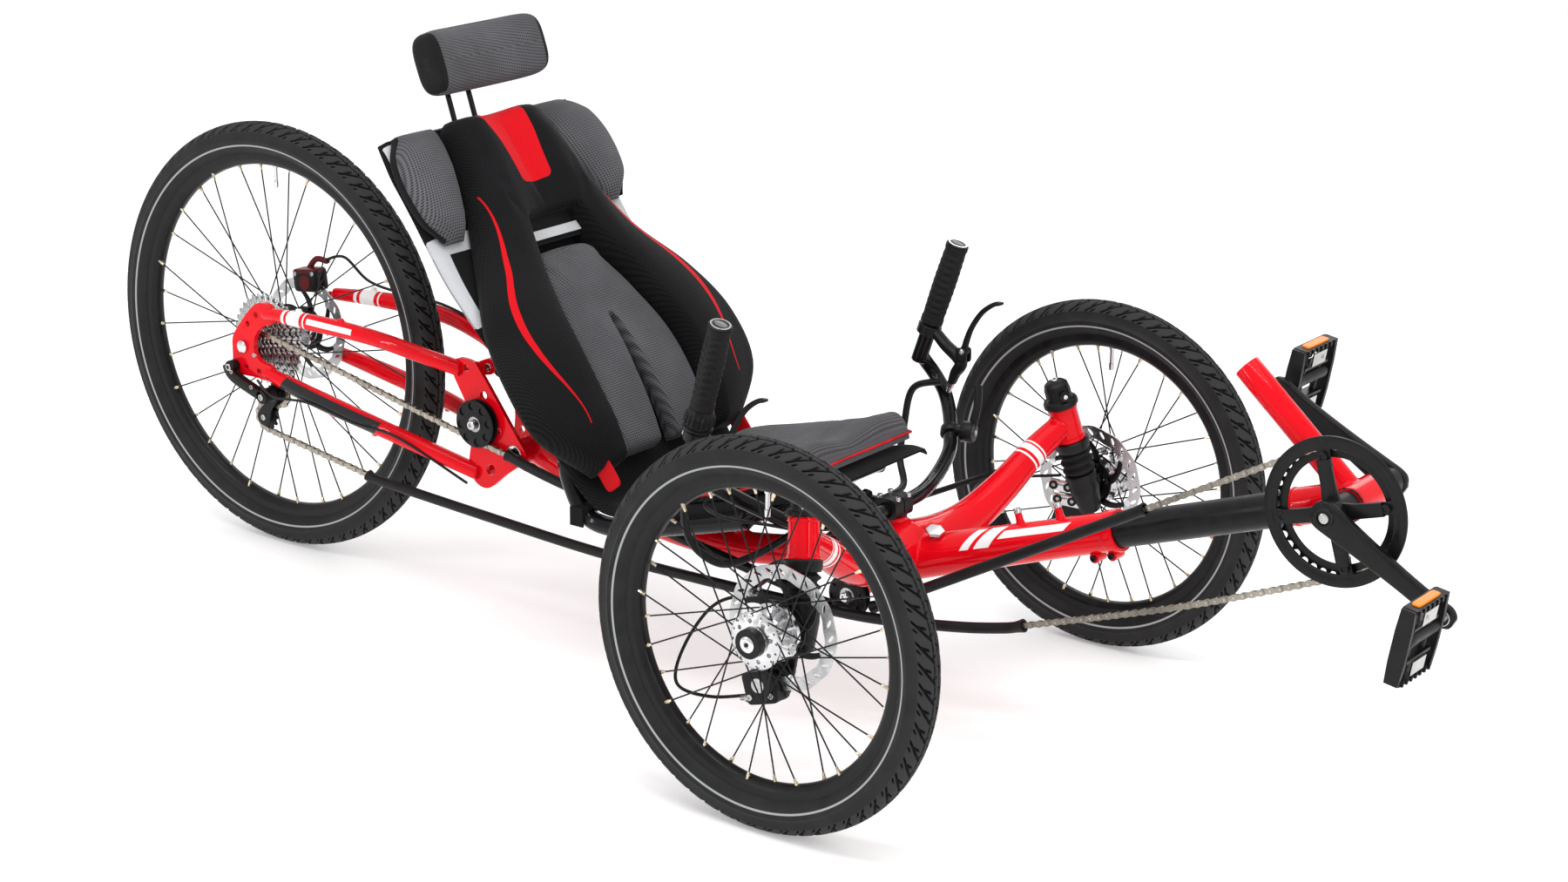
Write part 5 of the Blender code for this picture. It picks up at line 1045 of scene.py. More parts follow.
@dataclass
class Piece:
    """One finished object: skins with their finishes, the body it rides on and the nodes it stands for."""

    name: str
    body: str
    replaces: tuple[str, ...] = ()
    slot: str = ""
    shapes: list[tuple[Surface, Finish]] = field(default_factory=list)

    def add(self, shape: Surface | Iterable[Surface], finish: Finish) -> Piece:
        """Put one or more skins into the piece.

        Args:
            shape: One skin or more.
            finish: Its finish.

        Returns:
            The piece itself.
        """
        found = [shape] if isinstance(shape, Surface) else list(shape)
        self.shapes += [(s, finish) for s in found]
        return self

    def raw(self, smooth_deg: float = 35.0) -> bpy.types.Object:
        """The object with its mesh, UVs and materials, not yet handed over.

        Args:
            smooth_deg: Edges sharper than this stay sharp in shading.

        Returns:
            The object.
        """
        finishes = list(dict.fromkeys(f for _, f in self.shapes))
        faces: list[list[int]] = []
        corners, index, start = [], [], 0
        for shape, finish in self.shapes:
            for block_faces, uv in shape.blocks:
                faces += (block_faces + start).tolist()
                corners.append(uv.reshape(-1, 2))
                index.append(np.full(len(block_faces), finishes.index(finish)))
            start += len(shape.points)
        mesh = bpy.data.meshes.new(self.name)
        mesh.from_pydata(np.concatenate([s.points for s, _ in self.shapes]), [], faces)
        layer = mesh.uv_layers.new(name="UVMap")
        layer.data.foreach_set("uv", np.concatenate(corners).astype(np.float32).ravel())
        mesh.polygons.foreach_set("material_index", np.concatenate(index).astype(np.int32))
        for finish in finishes:
            mesh.materials.append(finish.material())
        mesh.shade_smooth()
        mesh.set_sharp_from_angle(angle=math.radians(smooth_deg))
        return placed(self.name, mesh)

    def build(self, bevel: float = 0.0, smooth_deg: float = 35.0) -> bpy.types.Object:
        """Make the object and ride it on its body.

        Args:
            bevel: Width of a rounded edge put on every edge sharper than 40 degrees.
            smooth_deg: Edges sharper than this stay sharp in shading.

        Returns:
            The object, at the origin, riding on its body.
        """
        made = self.raw(smooth_deg)
        if bevel:
            rounded_edges(made, bevel, 40)
        return self.hand_over(made)

    def hand_over(self, made: bpy.types.Object) -> bpy.types.Object:
        """Ride the object on its body and hide the nodes it stands for.

        Args:
            made: The object.

        Returns:
            The same object.
        """
        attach(made, self.body)
        if self.replaces:
            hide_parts(*self.replaces)
        LOG.info("%s: %d faces on %s", self.name, len(made.data.polygons), self.body)
        return made


def placed(name: str, data: bpy.types.ID) -> bpy.types.Object:
    """A new object with its data, linked into the scene.

    Args:
        name: Its name.
        data: Its mesh.

    Returns:
        The object.
    """
    made = bpy.data.objects.new(name, data)
    bpy.context.scene.collection.objects.link(made)
    return made


def rounded_edges(made: bpy.types.Object, width: float, degrees: float) -> None:
    """Put a rounded edge of two segments on every edge sharper than an angle.

    Args:
        made: The object.
        width: Width of the rounding.
        degrees: Least angle of an edge that is rounded.
    """
    edge = made.modifiers.new("edge", "BEVEL")
    edge.width, edge.segments, edge.limit_method = width, 2, "ANGLE"
    edge.angle_limit = math.radians(degrees)


def bake(made: bpy.types.Object) -> None:
    """Replace a mesh by what its modifiers make of it.

    Args:
        made: The object.
    """
    bpy.context.view_layer.update()
    graph = bpy.context.evaluated_depsgraph_get()
    result = bpy.data.meshes.new_from_object(made.evaluated_get(graph))
    made.modifiers.clear()
    old, made.data = made.data, result
    result.name = made.name
    bpy.data.meshes.remove(old)


def holes_cut(made: bpy.types.Object, cutters: Sequence[Surface]) -> None:
    """Cut skins out of a piece's mesh for good, with Blender's exact boolean.

    Args:
        made: The piece's object.
        cutters: The skins to cut out.
    """
    whole = merged(cutters)
    mesh = bpy.data.meshes.new("cutter")
    mesh.from_pydata(whole.points, [], [f for block_faces, _ in whole.blocks for f in block_faces.tolist()])
    for finish in made.data.materials:
        mesh.materials.append(finish)
    helper = placed("cutter", mesh)
    step = made.modifiers.new("holes", "BOOLEAN")
    step.operation, step.solver, step.object = "DIFFERENCE", "EXACT", helper
    bake(made)
    bpy.data.objects.remove(helper)
    made.data.shade_smooth()
    made.data.set_sharp_from_angle(angle=math.radians(35))


# Stage


@dataclass
class Studio:
    """Pale floor, soft light and the photograph's camera."""

    camera_at: tuple[float, float, float] = (2.426819, -3.1255, 1.5734)
    azimuth: float = 0.6337
    elevation: float = 0.3072
    roll: float = 0.0107
    lens: float = 70.38

    def build(self) -> None:
        """Make the stage."""
        self.camera()
        self.floor()
        self.lights()

    def camera(self) -> None:
        """The camera looks back along azimuth and elevation, then rolls about its own axis."""
        a, e, r = self.azimuth, self.elevation, self.roll
        back = vec(math.sin(a) * math.cos(e), -math.cos(a) * math.cos(e), math.sin(e))
        right = unit(np.cross(-back, Z_AXIS))
        up = np.cross(right, -back)
        turned_right = right * math.cos(r) + up * math.sin(r)
        turned_up = -right * math.sin(r) + up * math.cos(r)
        data = bpy.data.cameras.new("camera")
        data.lens, data.sensor_width, data.sensor_fit = self.lens, 36.0, "HORIZONTAL"
        data.clip_start, data.clip_end = 0.05, 200
        made = placed("camera", data)
        matrix = Matrix.Identity(4)
        for k, column in enumerate((turned_right, turned_up, back, vec(*self.camera_at))):
            for row in range(3):
                matrix[row][k] = column[row]
        made.matrix_world = matrix
        bpy.context.scene.camera = made

    def floor(self) -> None:
        """A wide pale floor with a faint sheen."""
        mesh = bpy.data.meshes.new("floor")
        size = 40.0
        mesh.from_pydata([(-size, -size, 0), (size, -size, 0), (size, size, 0), (-size, size, 0)], [],
                         [(0, 1, 2, 3)])
        material = bpy.data.materials.new("studio floor")
        material.use_nodes = True
        shader = material.node_tree.nodes["Principled BSDF"]
        shader.inputs["Base Color"].default_value = (0.9, 0.9, 0.9, 1)
        shader.inputs["Emission Color"].default_value = (1, 1, 1, 1)
        shader.inputs["Emission Strength"].default_value = 0.24
        shader.inputs["Roughness"].default_value = 0.55
        shader.inputs["Specular IOR Level"].default_value = 0.25
        mesh.materials.append(material)
        made = placed("floor", mesh)

    def lights(self) -> None:
        """Wide soft boxes above and to both sides, and a white room."""
        scene = bpy.context.scene
        world = bpy.data.worlds.new("room")
        world.use_nodes = True
        world.node_tree.nodes["Background"].inputs[0].default_value = (1, 1, 1, 1)
        world.node_tree.nodes["Background"].inputs[1].default_value = 0.82
        scene.world = world
        boxes = (
            ("top box", (0.2, -0.3, 3.6), (0, 0, 0.3), (3.4, 2.2), 30),
            ("top strip", (0.6, -1.3, 3.0), (0, 0, 0.3), (3.0, 0.14), 26),
            ("camera left strip", (-2.0, -3.4, 1.9), (0, 0, 0.4), (0.16, 2.4), 26),
            ("camera right box", (3.6, -1.2, 1.9), (0.2, 0, 0.3), (0.7, 2.2), 30),
            ("back box", (-1.0, 3.4, 2.4), (0, 0, 0.4), (3.0, 1.2), 22),
        )
        for name, at, to, size, power in boxes:
            data = bpy.data.lights.new(name, "AREA")
            data.shape, data.size, data.size_y, data.energy = "RECTANGLE", size[0], size[1], power
            made = placed(name, data)
            made.location = at
            made.rotation_mode = "QUATERNION"
            made.rotation_quaternion = (Vector(to) - Vector(at)).to_track_quat("-Z", "Y")
        scene.view_settings.view_transform = "Standard"


# Wheels


@dataclass
class Tyre:
    """A road tyre with curved sipes cut into its tread.

    The section is a smooth curve through bead, wall, shoulder and crown; the tread's height is lowered
    along curves u = u0 + f(v) round the tyre.
    """

    name: str
    node: str
    body: str
    centre: Array
    radius: float
    bead: float
    around: int = 1080
    half_width: float = 0.0235
    groove_depth: float = 0.0027
    pitch: float = 0.026

    def section(self) -> tuple[Array, Array]:
        """Radius and offset round the outside, bead to bead, and the signed arc length from the crown.

        Returns:
            The section's points, and each one's arc length.
        """
        tall = self.radius - self.bead
        half = [(0.0, 0.5), (0.1, 0.7), (0.24, 0.9), (0.46, 1.0), (0.66, 0.95), (0.82, 0.78), (0.92, 0.55),
                (0.98, 0.29), (1.0, 0.0)]
        marks = [(self.bead + tall * a, -self.half_width * b) for a, b in half]
        marks += [(r, -y) for r, y in marks[-2::-1]]
        line = smooth(np.array(marks), 10)
        fine = spaced(line, 400)
        away = distances(fine)
        away -= away[-1] / 2
        edge = 0.0265
        at = np.concatenate([np.linspace(away[0], -edge, 12)[:-1], np.linspace(-edge, edge, 49),
                             np.linspace(edge, away[-1], 12)[1:]])
        return np.stack([np.interp(at, away, fine[:, k]) for k in (0, 1)], -1), at

    def tread(self, u: Array, v: Array) -> Array:
        """Depth cut below the tread's face at arc u round the tyre and v across it, in metres.

        Args:
            u: Arc round the tyre.
            v: Arc across it from the crown.

        Returns:
            The depth in metres.
        """
        edge = 0.0255
        w = np.clip(np.abs(v) / edge, 0, 1.2)
        phase = u / self.pitch + np.where(v > 0, 0.5, 0.0)

        def cut(shape: Array, width: float, low: float, high: float) -> Array:
            """A groove where the phase meets the shape, fading outside a range of w.

            Args:
                shape: Phase of the groove at each place.
                width: Width of the groove.
                low: Least share of the half tread.
                high: Greatest share.

            Returns:
                Its depth as a share.
            """
            off = np.abs((phase - shape + 0.5) % 1.0 - 0.5) * self.pitch
            inside = np.clip((w - low) / 0.04, 0, 1) * np.clip((high - w) / 0.04, 0, 1)
            return np.clip(1.6 - off / (width / 2), 0, 1) * inside

        long_groove = cut(1.25 * w**1.25, 0.0036, 0.1, 1.0)
        short_groove = cut(0.5 + 0.55 * w, 0.0026, 0.34, 0.76)
        inner_sipe = cut(0.42 - 0.5 * w, 0.0022, 0.0, 0.36)
        tick = cut(0.62 + 1.25 * w, 0.0024, 0.8, 1.0)
        ring = np.clip(1.5 - np.abs(np.abs(v) - 0.0042 - 0.0006 * np.sin(2 * np.pi * phase)) / 0.0007, 0, 1)
        depth = np.maximum.reduce([long_groove, short_groove, inner_sipe * 0.8, tick, ring * 0.8])
        shoulder = np.clip((1.06 - w) / 0.05, 0, 1)
        return self.groove_depth * (depth * shoulder - (shoulder - 1) * 0.55)

    def build(self) -> None:
        """Make the tyre."""
        section, across = self.section()
        t = full_turn(self.around)
        steps = round(2 * np.pi * self.radius / self.pitch)
        u = (t / (2 * np.pi))[None, :] * steps * self.pitch
        v = across[:, None]
        slope = unit(np.stack([np.gradient(section[:, 1]), -np.gradient(section[:, 0])], -1))
        depth = self.tread(u, v)
        r = section[:, 0, None] - depth * np.abs(slope[:, 0, None])
        y = section[:, 1, None] - depth * slope[:, 1, None] * np.sign(slope[:, 0, None])
        outer = np.stack([r * np.cos(t), y + 0 * r, r * np.sin(t)], -1)
        wall, tall = 0.0035, self.radius - self.bead
        inner = np.array([(self.bead, 0.5 * self.half_width - wall),
                          (self.bead + tall * 0.5, self.half_width - 1.3 * wall),
                          (self.bead + tall * 0.5, -self.half_width + 1.3 * wall),
                          (self.bead, wall - 0.5 * self.half_width)])
        inside = np.stack([inner[:, 0, None] * np.cos(t), inner[:, 1, None] + 0 * t,
                           inner[:, 0, None] * np.sin(t)], -1)
        points = np.concatenate([outer, inside]) + self.centre
        reach = np.concatenate([across, [0.06, 0.065, 0.07, 0.075]])
        rows, cols = points.shape[:2]
        shape = skin(points, wrap_rows=True)
        i, j = np.meshgrid(np.arange(rows), np.arange(cols), indexing="ij")
        i, j = i.ravel(), j.ravel()
        step = 2 * np.pi * self.radius / cols
        corner = [(i, j), (i, j + 1), (i + 1, j + 1), (i + 1, j)]
        uv = np.stack([np.stack([b * step, reach[a % rows]], -1) for a, b in corner], 1)
        faces = np.stack([(a % rows) * cols + b % cols for a, b in corner], -1)
        shape = Surface(shape.points, [(faces, uv)]).outward()
        line_at = float(np.interp(self.bead + 0.0125, section[:12, 0], np.abs(across[:12])))
        finish = TyreRubber("tyre rubber " + self.name, (0.014, 0.014, 0.0145), 0.62, line_at=line_at)
        made = Piece(self.name, self.body, (self.node,), "tyre").add(shape, finish).build(smooth_deg=48)
        # The groove attribute tells the material where to paint shade into the grooves.
        cut = np.zeros(points.shape[:2])
        cut[:len(depth)] = np.where(np.abs(across)[:, None] < 0.0262, depth / self.groove_depth, 0)
        layer = made.data.attributes.new("groove", "FLOAT", "POINT")
        layer.data.foreach_set("value", cut.astype(np.float32).ravel())


@dataclass
class Wheel:
    """A laced wheel: double-walled rim, crossed spokes with nipples, and a turned hub."""

    name: str
    node: str
    body: str
    centre: Array
    bead: float
    flanges: tuple[float, float]
    flange_radius: float
    outward: int = 1
    count: int = 32
    rim_half: float = 0.0125
    rim_depth: float = 0.019

    def rim(self) -> Surface:
        """The rim's section: hooked edges, straight walls and a rounded inner face.

        Returns:
            The rim's skin.
        """
        top, half, deep = self.bead - 0.0003, self.rim_half, self.rim_depth
        profile = [(top, -half), (top, -half + 0.0018), (top - 0.0045, -half + 0.0024), (top - 0.006, -0.004),
                   (top - 0.006, 0.004), (top - 0.0045, half - 0.0024), (top, half - 0.0018), (top, half),
                   (top - deep * 0.5, half), (top - deep * 0.62, half - 0.0006)]
        for a in np.linspace(70, -70, 9):
            profile.append((top - deep + 0.0065 - 0.0065 * math.cos(math.radians(a)),
                            0.0098 * math.sin(math.radians(a))))
        profile += [(top - deep * 0.62, -half + 0.0006), (top - deep * 0.5, -half)]
        return lathe(profile, self.centre, sides=160)

    def lacing(self) -> tuple[list[Surface], list[Surface]]:
        """Spokes from each flange to the rim, every other one leaning the other way, and their nipples.

        Returns:
            The spokes, and the nipples.
        """
        spokes, nipples = [], []
        half = self.count // 2
        inner = self.bead - 0.0003 - self.rim_depth
        for flange, y_flange in enumerate(self.flanges):
            out = 1 if y_flange > sum(self.flanges) / 2 else -1
            for k in range(half):
                lead = 1 if k % 2 else -1
                rim_turn = 2 * math.pi * (k + 0.5 * flange + 0.25) / half
                hub_turn = rim_turn + lead * math.radians(62)
                r = self.flange_radius * 0.93
                hub = vec(r * math.cos(hub_turn), y_flange + lead * out * 0.0024, r * math.sin(hub_turn))
                seat = inner + 0.004
                end = vec(seat * math.cos(rim_turn), out * (0.004 + 0.002 * lead), seat * math.sin(rim_turn))
                aim = unit(hub - end)
                foot = end + aim * 0.0105
                spokes.append(rod(self.centre + hub, self.centre + foot, 0.00105, 8))
                nipples.append(tube(self.centre + np.stack([end, end + aim * 0.006, end + aim * 0.0065, foot,
                                                            foot + aim * 0.001]),
                                    [0.0026, 0.0026, 0.002, 0.0019, 0.0012], 8))
        return spokes, nipples

    def valve(self) -> list[Surface]:
        """A slim valve that stands in from the rim, at the top.

        Returns:
            The valve's skins.
        """
        inner = self.bead - 0.0003 - self.rim_depth
        foot = self.centre + vec(0.004, 0, inner + 0.002)
        return [tube(np.stack([foot, foot - Z_AXIS * 0.004]), 0.0042, 16),
                tube(np.stack([foot, foot - Z_AXIS * 0.024, foot - Z_AXIS * 0.0245, foot - Z_AXIS * 0.034]),
                     [0.003, 0.003, 0.0039, 0.0036], 16, bevel=0.0008)]

    def hub(self, piece: Piece) -> list[Surface]:
        """The hub's turned parts; returns what is cut out of them."""
        raise NotImplementedError

    def build(self) -> None:
        """Make the wheel."""
        piece = Piece(self.name, self.body, (self.node,), "metal_black")
        spokes, nipples = self.lacing()
        piece.add(self.rim(), SATIN_BLACK).add(spokes, SATIN_BLACK).add(nipples, BRASS)
        piece.add(self.valve(), SILVER)
        piece.build()
        hub = Piece(self.name + "_hub", self.body, (), "steel")
        cutters = self.hub(hub)
        made = hub.build()
        if cutters:
            holes_cut(made, cutters)

    def drillings(self, y_low: float, y_high: float,
                  rows: Sequence[tuple[int, float, float, float]]) -> list[Surface]:
        """Round holes through a flange: count, circle radius, hole radius and first angle for each row.

        Args:
            y_low: Start of the holes across the wheel.
            y_high: Their end.
            rows: The four figures of each row.

        Returns:
            The skins to cut out.
        """
        cut = []
        for count, circle, radius, first in rows:
            for k in range(count):
                a = 2 * math.pi * k / count + first
                spot = self.centre + circle * heading(a)
                cut.append(rod(spot + Y_AXIS * y_low, spot + Y_AXIS * y_high, radius, 12))
        return cut


@dataclass
class FrontWheel(Wheel):
    """A 20 inch wheel that runs on a stub axle from its inner side."""

    def hub(self, piece: Piece) -> list[Surface]:
        """Two wide drilled flanges on a waisted barrel, with a black seal and a bolt outside.

        Args:
            piece: The piece that takes the skins.

        Returns:
            The skins to cut out.
        """
        o = self.outward
        inner = -0.038 + 0.0013
        body = [(0.0095, inner), (0.0225, inner), (0.0225, inner + 0.005), (0.033, -0.0245),
                (0.0365, -0.0238), (0.0365, -0.0182), (0.033, -0.0175), (0.02, -0.013), (0.0172, -0.006),
                (0.0172, 0.006), (0.023, 0.0105), (0.035, 0.0122), (0.0362, 0.013), (0.0362, 0.0168),
                (0.035, 0.0178), (0.019, 0.02), (0.0185, 0.0215), (0.0095, 0.0215)]
        piece.add(lathe([(r, y * o) for r, y in body], self.centre, sides=72), SILVER)
        seal = [(0.011, 0.0212), (0.0184, 0.0212), (0.0184, 0.0322), (0.0172, 0.0334), (0.011, 0.0334)]
        cover = Piece(self.name + "_seal", self.body, (),
                      "metal_black").add(lathe([(r, y * o) for r, y in seal], self.centre), SATIN_BLACK)
        cap = [(0, 0.0345), (0.0034, 0.0345), (0.004, 0.0352), (0.0086, 0.035), (0.0102, 0.0338),
               (0.0102, 0.029), (0, 0.029)]
        piece.add(lathe([(r, y * o) for r, y in cap], self.centre), SILVER)
        cover.add(lathe([(0, 0.0349 * o), (0.0029, 0.0354 * o), (0.0029, 0.033 * o), (0, 0.033 * o)],
                        self.centre, sides=6), PLASTIC).build()
        low, high = sorted((0.01 * o, 0.0205 * o))
        cut = self.drillings(low, high, ((16, 0.0322, 0.00165, 0.1), (8, 0.0255, 0.003, 0.25)))
        low, high = sorted((-0.0262 * o, -0.016 * o))
        return cut + self.drillings(low, high, ((16, 0.0325, 0.00165, 0.1), (8, 0.027, 0.0028, 0.25)))


@dataclass
class RearWheel(Wheel):
    """The driven 26 inch wheel with its through axle."""

    def hub(self, piece: Piece) -> list[Surface]:
        """Barrel with drilled flanges, axle with nuts outside both dropouts.

        Args:
            piece: The piece that takes the skins.

        Returns:
            The skins to cut out.
        """
        body = [(0, -0.0676), (0.01, -0.0676), (0.01, -0.062), (0.0166, -0.062), (0.0166, -0.0208),
                (0.029, -0.0203), (0.0315, -0.0196), (0.0315, -0.016), (0.029, -0.0152), (0.018, -0.012),
                (0.0165, 0.004), (0.018, 0.0255), (0.029, 0.029), (0.0315, 0.03), (0.0315, 0.0336),
                (0.029, 0.0344), (0.0225, 0.036), (0.0225, 0.0531), (0.012, 0.0531), (0.01, 0.056),
                (0.01, 0.0676), (0, 0.0676)]
        piece.add(lathe(body, self.centre, sides=72), SILVER)
        axle = [(0, -0.0825), (0.006, -0.0825), (0.0092, -0.081), (0.0092, -0.077), (0.005, -0.077),
                (0.005, 0.077), (0.0092, 0.077), (0.0092, 0.081), (0.006, 0.0825), (0, 0.0825)]
        piece.add(lathe(axle, self.centre, sides=32), SILVER)
        cut = self.drillings(-0.0215, -0.014, ((16, 0.0287, 0.0016, 0.1),))
        return cut + self.drillings(0.028, 0.035, ((16, 0.0287, 0.0016, 0.1),))


@dataclass
class Rotor:
    """A brake disc: a waved track with slots, on a spider of six arms."""

    name: str
    node: str
    body: str
    centre: Array
    outward: int = 1
    radius: float = 0.08
    thick: float = 0.0019
    bore: float = 0.0225
    slot_circle: float = 0.0712
    slot_phase: float = 0.0314286
    slot_lean: float = 0.9
    slot_length: float = 0.0125
    slot_width: float = 0.0042

    def build(self) -> None:
        """The track's edge is R + a cos(12 t); slots are cut out of it."""
        t = full_turn(288)
        ring = heading(t)
        outer = (self.radius - 0.0008 + 0.0008 * np.cos(12 * t))[:, None] * ring
        inner = (0.062 + 0.001 * np.cos(12 * t + 1.0))[:, None] * ring
        half = Y_AXIS * self.thick / 2
        track = skin(np.stack([inner - half, outer - half, outer + half, inner + half]) + self.centre,
                     wrap_rows=True)
        piece = Piece(self.name, self.body, (self.node,), "steel").add(track, BRUSHED)
        made = piece.build(smooth_deg=30)
        cut = []
        for k in range(24):
            a = 2 * math.pi * k / 24
            spot = self.centre + self.slot_circle * heading(a + self.slot_phase)
            aim, across = heading(a + self.slot_lean), heading(a + self.slot_lean + math.pi / 2)
            s = full_turn(14)[:, None]
            loop = spot + self.slot_length / 2 * np.cos(s) * aim + self.slot_width / 2 * np.sin(s) * across
            cut.append(plate(loop, self.centre[1] - 0.01, self.centre[1] + 0.01))
        holes_cut(made, cut)
        self.spider()

    def spider(self) -> None:
        """Six curved arms from the hub ring to rivets on the track, and the six bolts."""
        piece = Piece(self.name + "_spider", self.body, (), "metal_black")
        half = self.thick / 2 - 0.0001
        hub = lathe(washer(self.bore, 0.0335, -half, half), self.centre, sides=60)
        piece.add(hub, SATIN_BLACK)
        bolts = Piece(self.name + "_bolts", self.body, (), "steel")
        for k in range(6):
            a = 2 * math.pi * k / 6 + 0.2
            s = np.linspace(0, 1, 8)
            r = 0.031 + 0.0325 * s
            angle = a + 0.55 * s**1.2
            line = self.centre + r[:, None] * heading(angle)
            piece.add(ribbon(line, 0.0055 - 0.0025 * s, half, np.cross(unit(line[-1] - line[0]), Y_AXIS)),
                      SATIN_BLACK)
            tip = line[-1]
            piece.add(lathe(washer(0, 0.005, -0.0013, 0.0013), tip, sides=20), SILVER)
            spot = self.centre + 0.0262 * heading(a)
            o = self.outward
            head = [(0, 0.0009 * o), (0.0042, 0.0009 * o), (0.004, 0.0028 * o), (0.002, 0.0032 * o),
                    (0, 0.0032 * o)]
            bolts.add(lathe([(r_, -y_) for r_, y_ in head], spot, sides=16), SILVER)
        piece.build()
        bolts.build()


@dataclass
class Cassette:
    """The stack of toothed sprockets."""

    body: str = "cassette"
    teeth: tuple[int, ...] = (11, 13, 15, 18, 21, 24, 28, 32, 34)
    low_y: float = -0.0612
    high_y: float = -0.0225

    def build(self) -> None:
        """Each sprocket's edge is R + tooth height shaped round its teeth."""
        piece = Piece("cassette_sprockets", self.body, ("cassette",), "steel")
        gap = (self.high_y - self.low_y) / len(self.teeth)
        for k, teeth in enumerate(self.teeth):
            r = CHAIN_PITCH / (2 * math.sin(math.pi / teeth))
            piece.add(toothed_ring(REAR_AXLE + Y_AXIS * (self.low_y + gap * (k + 0.5)), r, teeth,
                                   0.0205 if r > 0.03 else 0.018, 0.0009), STEEL if k % 2 else BRUSHED)
            if k:
                spot = REAR_AXLE + Y_AXIS * (self.low_y + gap * k)
                piece.add(lathe(washer(0.0172, 0.0205, -0.0013, 0.0013), spot), SATIN_BLACK)
        piece.add(lathe([(0.0105, -0.0637), (0.016, -0.0637), (0.0165, -0.0612), (0.0105, -0.0612)],
                        REAR_AXLE), SATIN_BLACK)
        piece.build()


def toothed_ring(centre: Array, pitch_radius: float, teeth: int, bore: float, half: float) -> Surface:
    """A sprocket: its edge is the pitch radius plus rounded teeth, the tanh of a cosine.

    Args:
        centre: Its middle.
        pitch_radius: Radius of the chain's line.
        teeth: How many teeth.
        bore: Radius of the hole.
        half: Half its thickness.

    Returns:
        The sprocket's skin.
    """
    t = full_turn(teeth * 10)
    edge = pitch_radius - 0.0004 + 0.0024 * np.tanh(1.8 * np.cos(teeth * t) - 0.4)
    ring = heading(t)
    inner, outer = ring * bore, ring * edge[:, None]
    rim = ring * (edge[:, None] - 0.0008)
    h = Y_AXIS * half
    return skin(np.stack([inner - h, rim - h, outer - h * 0.4, outer + h * 0.4, rim + h, inner + h]) + centre,
                wrap_rows=True)


@dataclass
class Wheels:
    """Everything that turns on the three axles."""

    def build(self) -> None:
        """Front pair, then the rear wheel."""
        for side in Side:
            s, word = side.value, side.word
            body = "front_wheel_" + word
            hub = front(0, s * HALF_TRACK, 0)
            Tyre("tyre_front_" + word, "front_tyre_" + word, body, hub, FRONT_Z, 0.203).build()
            flanges = (-0.021 * s, 0.015 * s)
            FrontWheel("wheel_front_" + word, "front_wheel_" + word, body, hub, 0.203, flanges, 0.036,
                       s).build()
            Rotor("rotor_front_" + word, "front_rotor_" + word, body, front(0, s * DISC_Y, 0), s).build()
        body = "rear_wheel"
        Tyre("tyre_rear", "rear_tyre", body, REAR_AXLE, REAR_Z, 0.2795, around=1320).build()
        RearWheel("wheel_rear", "rear_wheel", body, REAR_AXLE, 0.2795, (-0.0178, 0.0318), 0.031).build()
        Rotor("rotor_rear", "rear_rotor", body, rear(0, 0.0545, 0), -1).build()
        Cassette().build()


# Shared builders


def repeated(shape: Surface, places: Array, turns: Array) -> Surface:
    """Copies of a skin: place + turn . point, for each place and its 3 by 3 turn.

    Args:
        shape: The skin to copy.
        places: Where each copy goes.
        turns: A matrix for each.

    Returns:
        One skin of all copies.
    """
    points = places[:, None] + np.einsum("nij,pj->npi", turns, shape.points)
    shift = (np.arange(len(places)) * len(shape.points))[:, None, None]
    blocks = [((faces[None] + shift).reshape(-1, faces.shape[1]), np.tile(uv, (len(places), 1, 1)))
              for faces, uv in shape.blocks]
    return Surface(points.reshape(-1, 3), blocks)


def pipe(path: Sequence[Point] | Array, outer: float | Array, bore: float, sides: int = 18) -> Surface:
    """A round tube open at both ends.

    Args:
        path: Points of the middle line.
        outer: Outer radius, one or for each point.
        bore: Inner radius.
        sides: Points round each section.

    Returns:
        The pipe's skin.
    """
    path = np.asarray(path, float)
    _, side, rise = frames_along(path)
    t = full_turn(sides)
    ring = np.cos(t)[None, :, None] * side[:, None] + np.sin(t)[None, :, None] * rise[:, None]
    radii = np.broadcast_to(np.asarray(outer, float), (len(path),))[:, None, None]
    outside = path[:, None] + ring * radii
    inside = path[:, None] + ring * bore
    return skin(np.concatenate([outside, inside[::-1]]), wrap_rows=True)


def bolt(at: Array, axis: Array, radius: float = 0.004, tall: float = 0.004) -> Surface:
    """A socket head: a rounded drum with a recess, standing out along its axis."""
    return lathe([(0, -0.001), (radius, -0.001), (radius, tall * 0.75), (radius * 0.86, tall),
                  (radius * 0.52, tall), (radius * 0.48, tall * 0.45), (0, tall * 0.45)], at, axis, 24)


def rounded_box(centre: Array, size: Point, turn: Array | None = None, share: float = 0.28,
                rows: int = 12) -> Surface:
    """A box with rounded edges: a superellipse section carried from end to end and drawn in at the ends.

    Args:
        centre: Its middle.
        size: Its three lengths.
        turn: Its turn, a 3 by 3 matrix.
        share: How round the edges are.
        rows: Sections in each half.

    Returns:
        The box's skin.
    """
    x, y, z = np.asarray(size, float) / 2
    t = full_turn(40)
    power = max(0.12, share)
    c, s = np.cos(t), np.sin(t)
    ring = np.stack([y * np.sign(c) * np.abs(c) ** power, z * np.sign(s) * np.abs(s) ** power], -1)
    a = np.linspace(-1, 1, rows * 2)
    a = np.sign(a) * (1 - (1 - np.abs(a)) ** 2.2)
    shrink = (1 - np.abs(a) ** (2 / power)) ** (power / 2)
    shrink = np.maximum(shrink, 0.02)
    points = np.concatenate([np.broadcast_to((a * x)[:, None, None], (len(a), len(t), 1)),
                             ring[None] * shrink[:, None, None]], -1)
    return skin(points).moved(shift=centre, turn=turn)


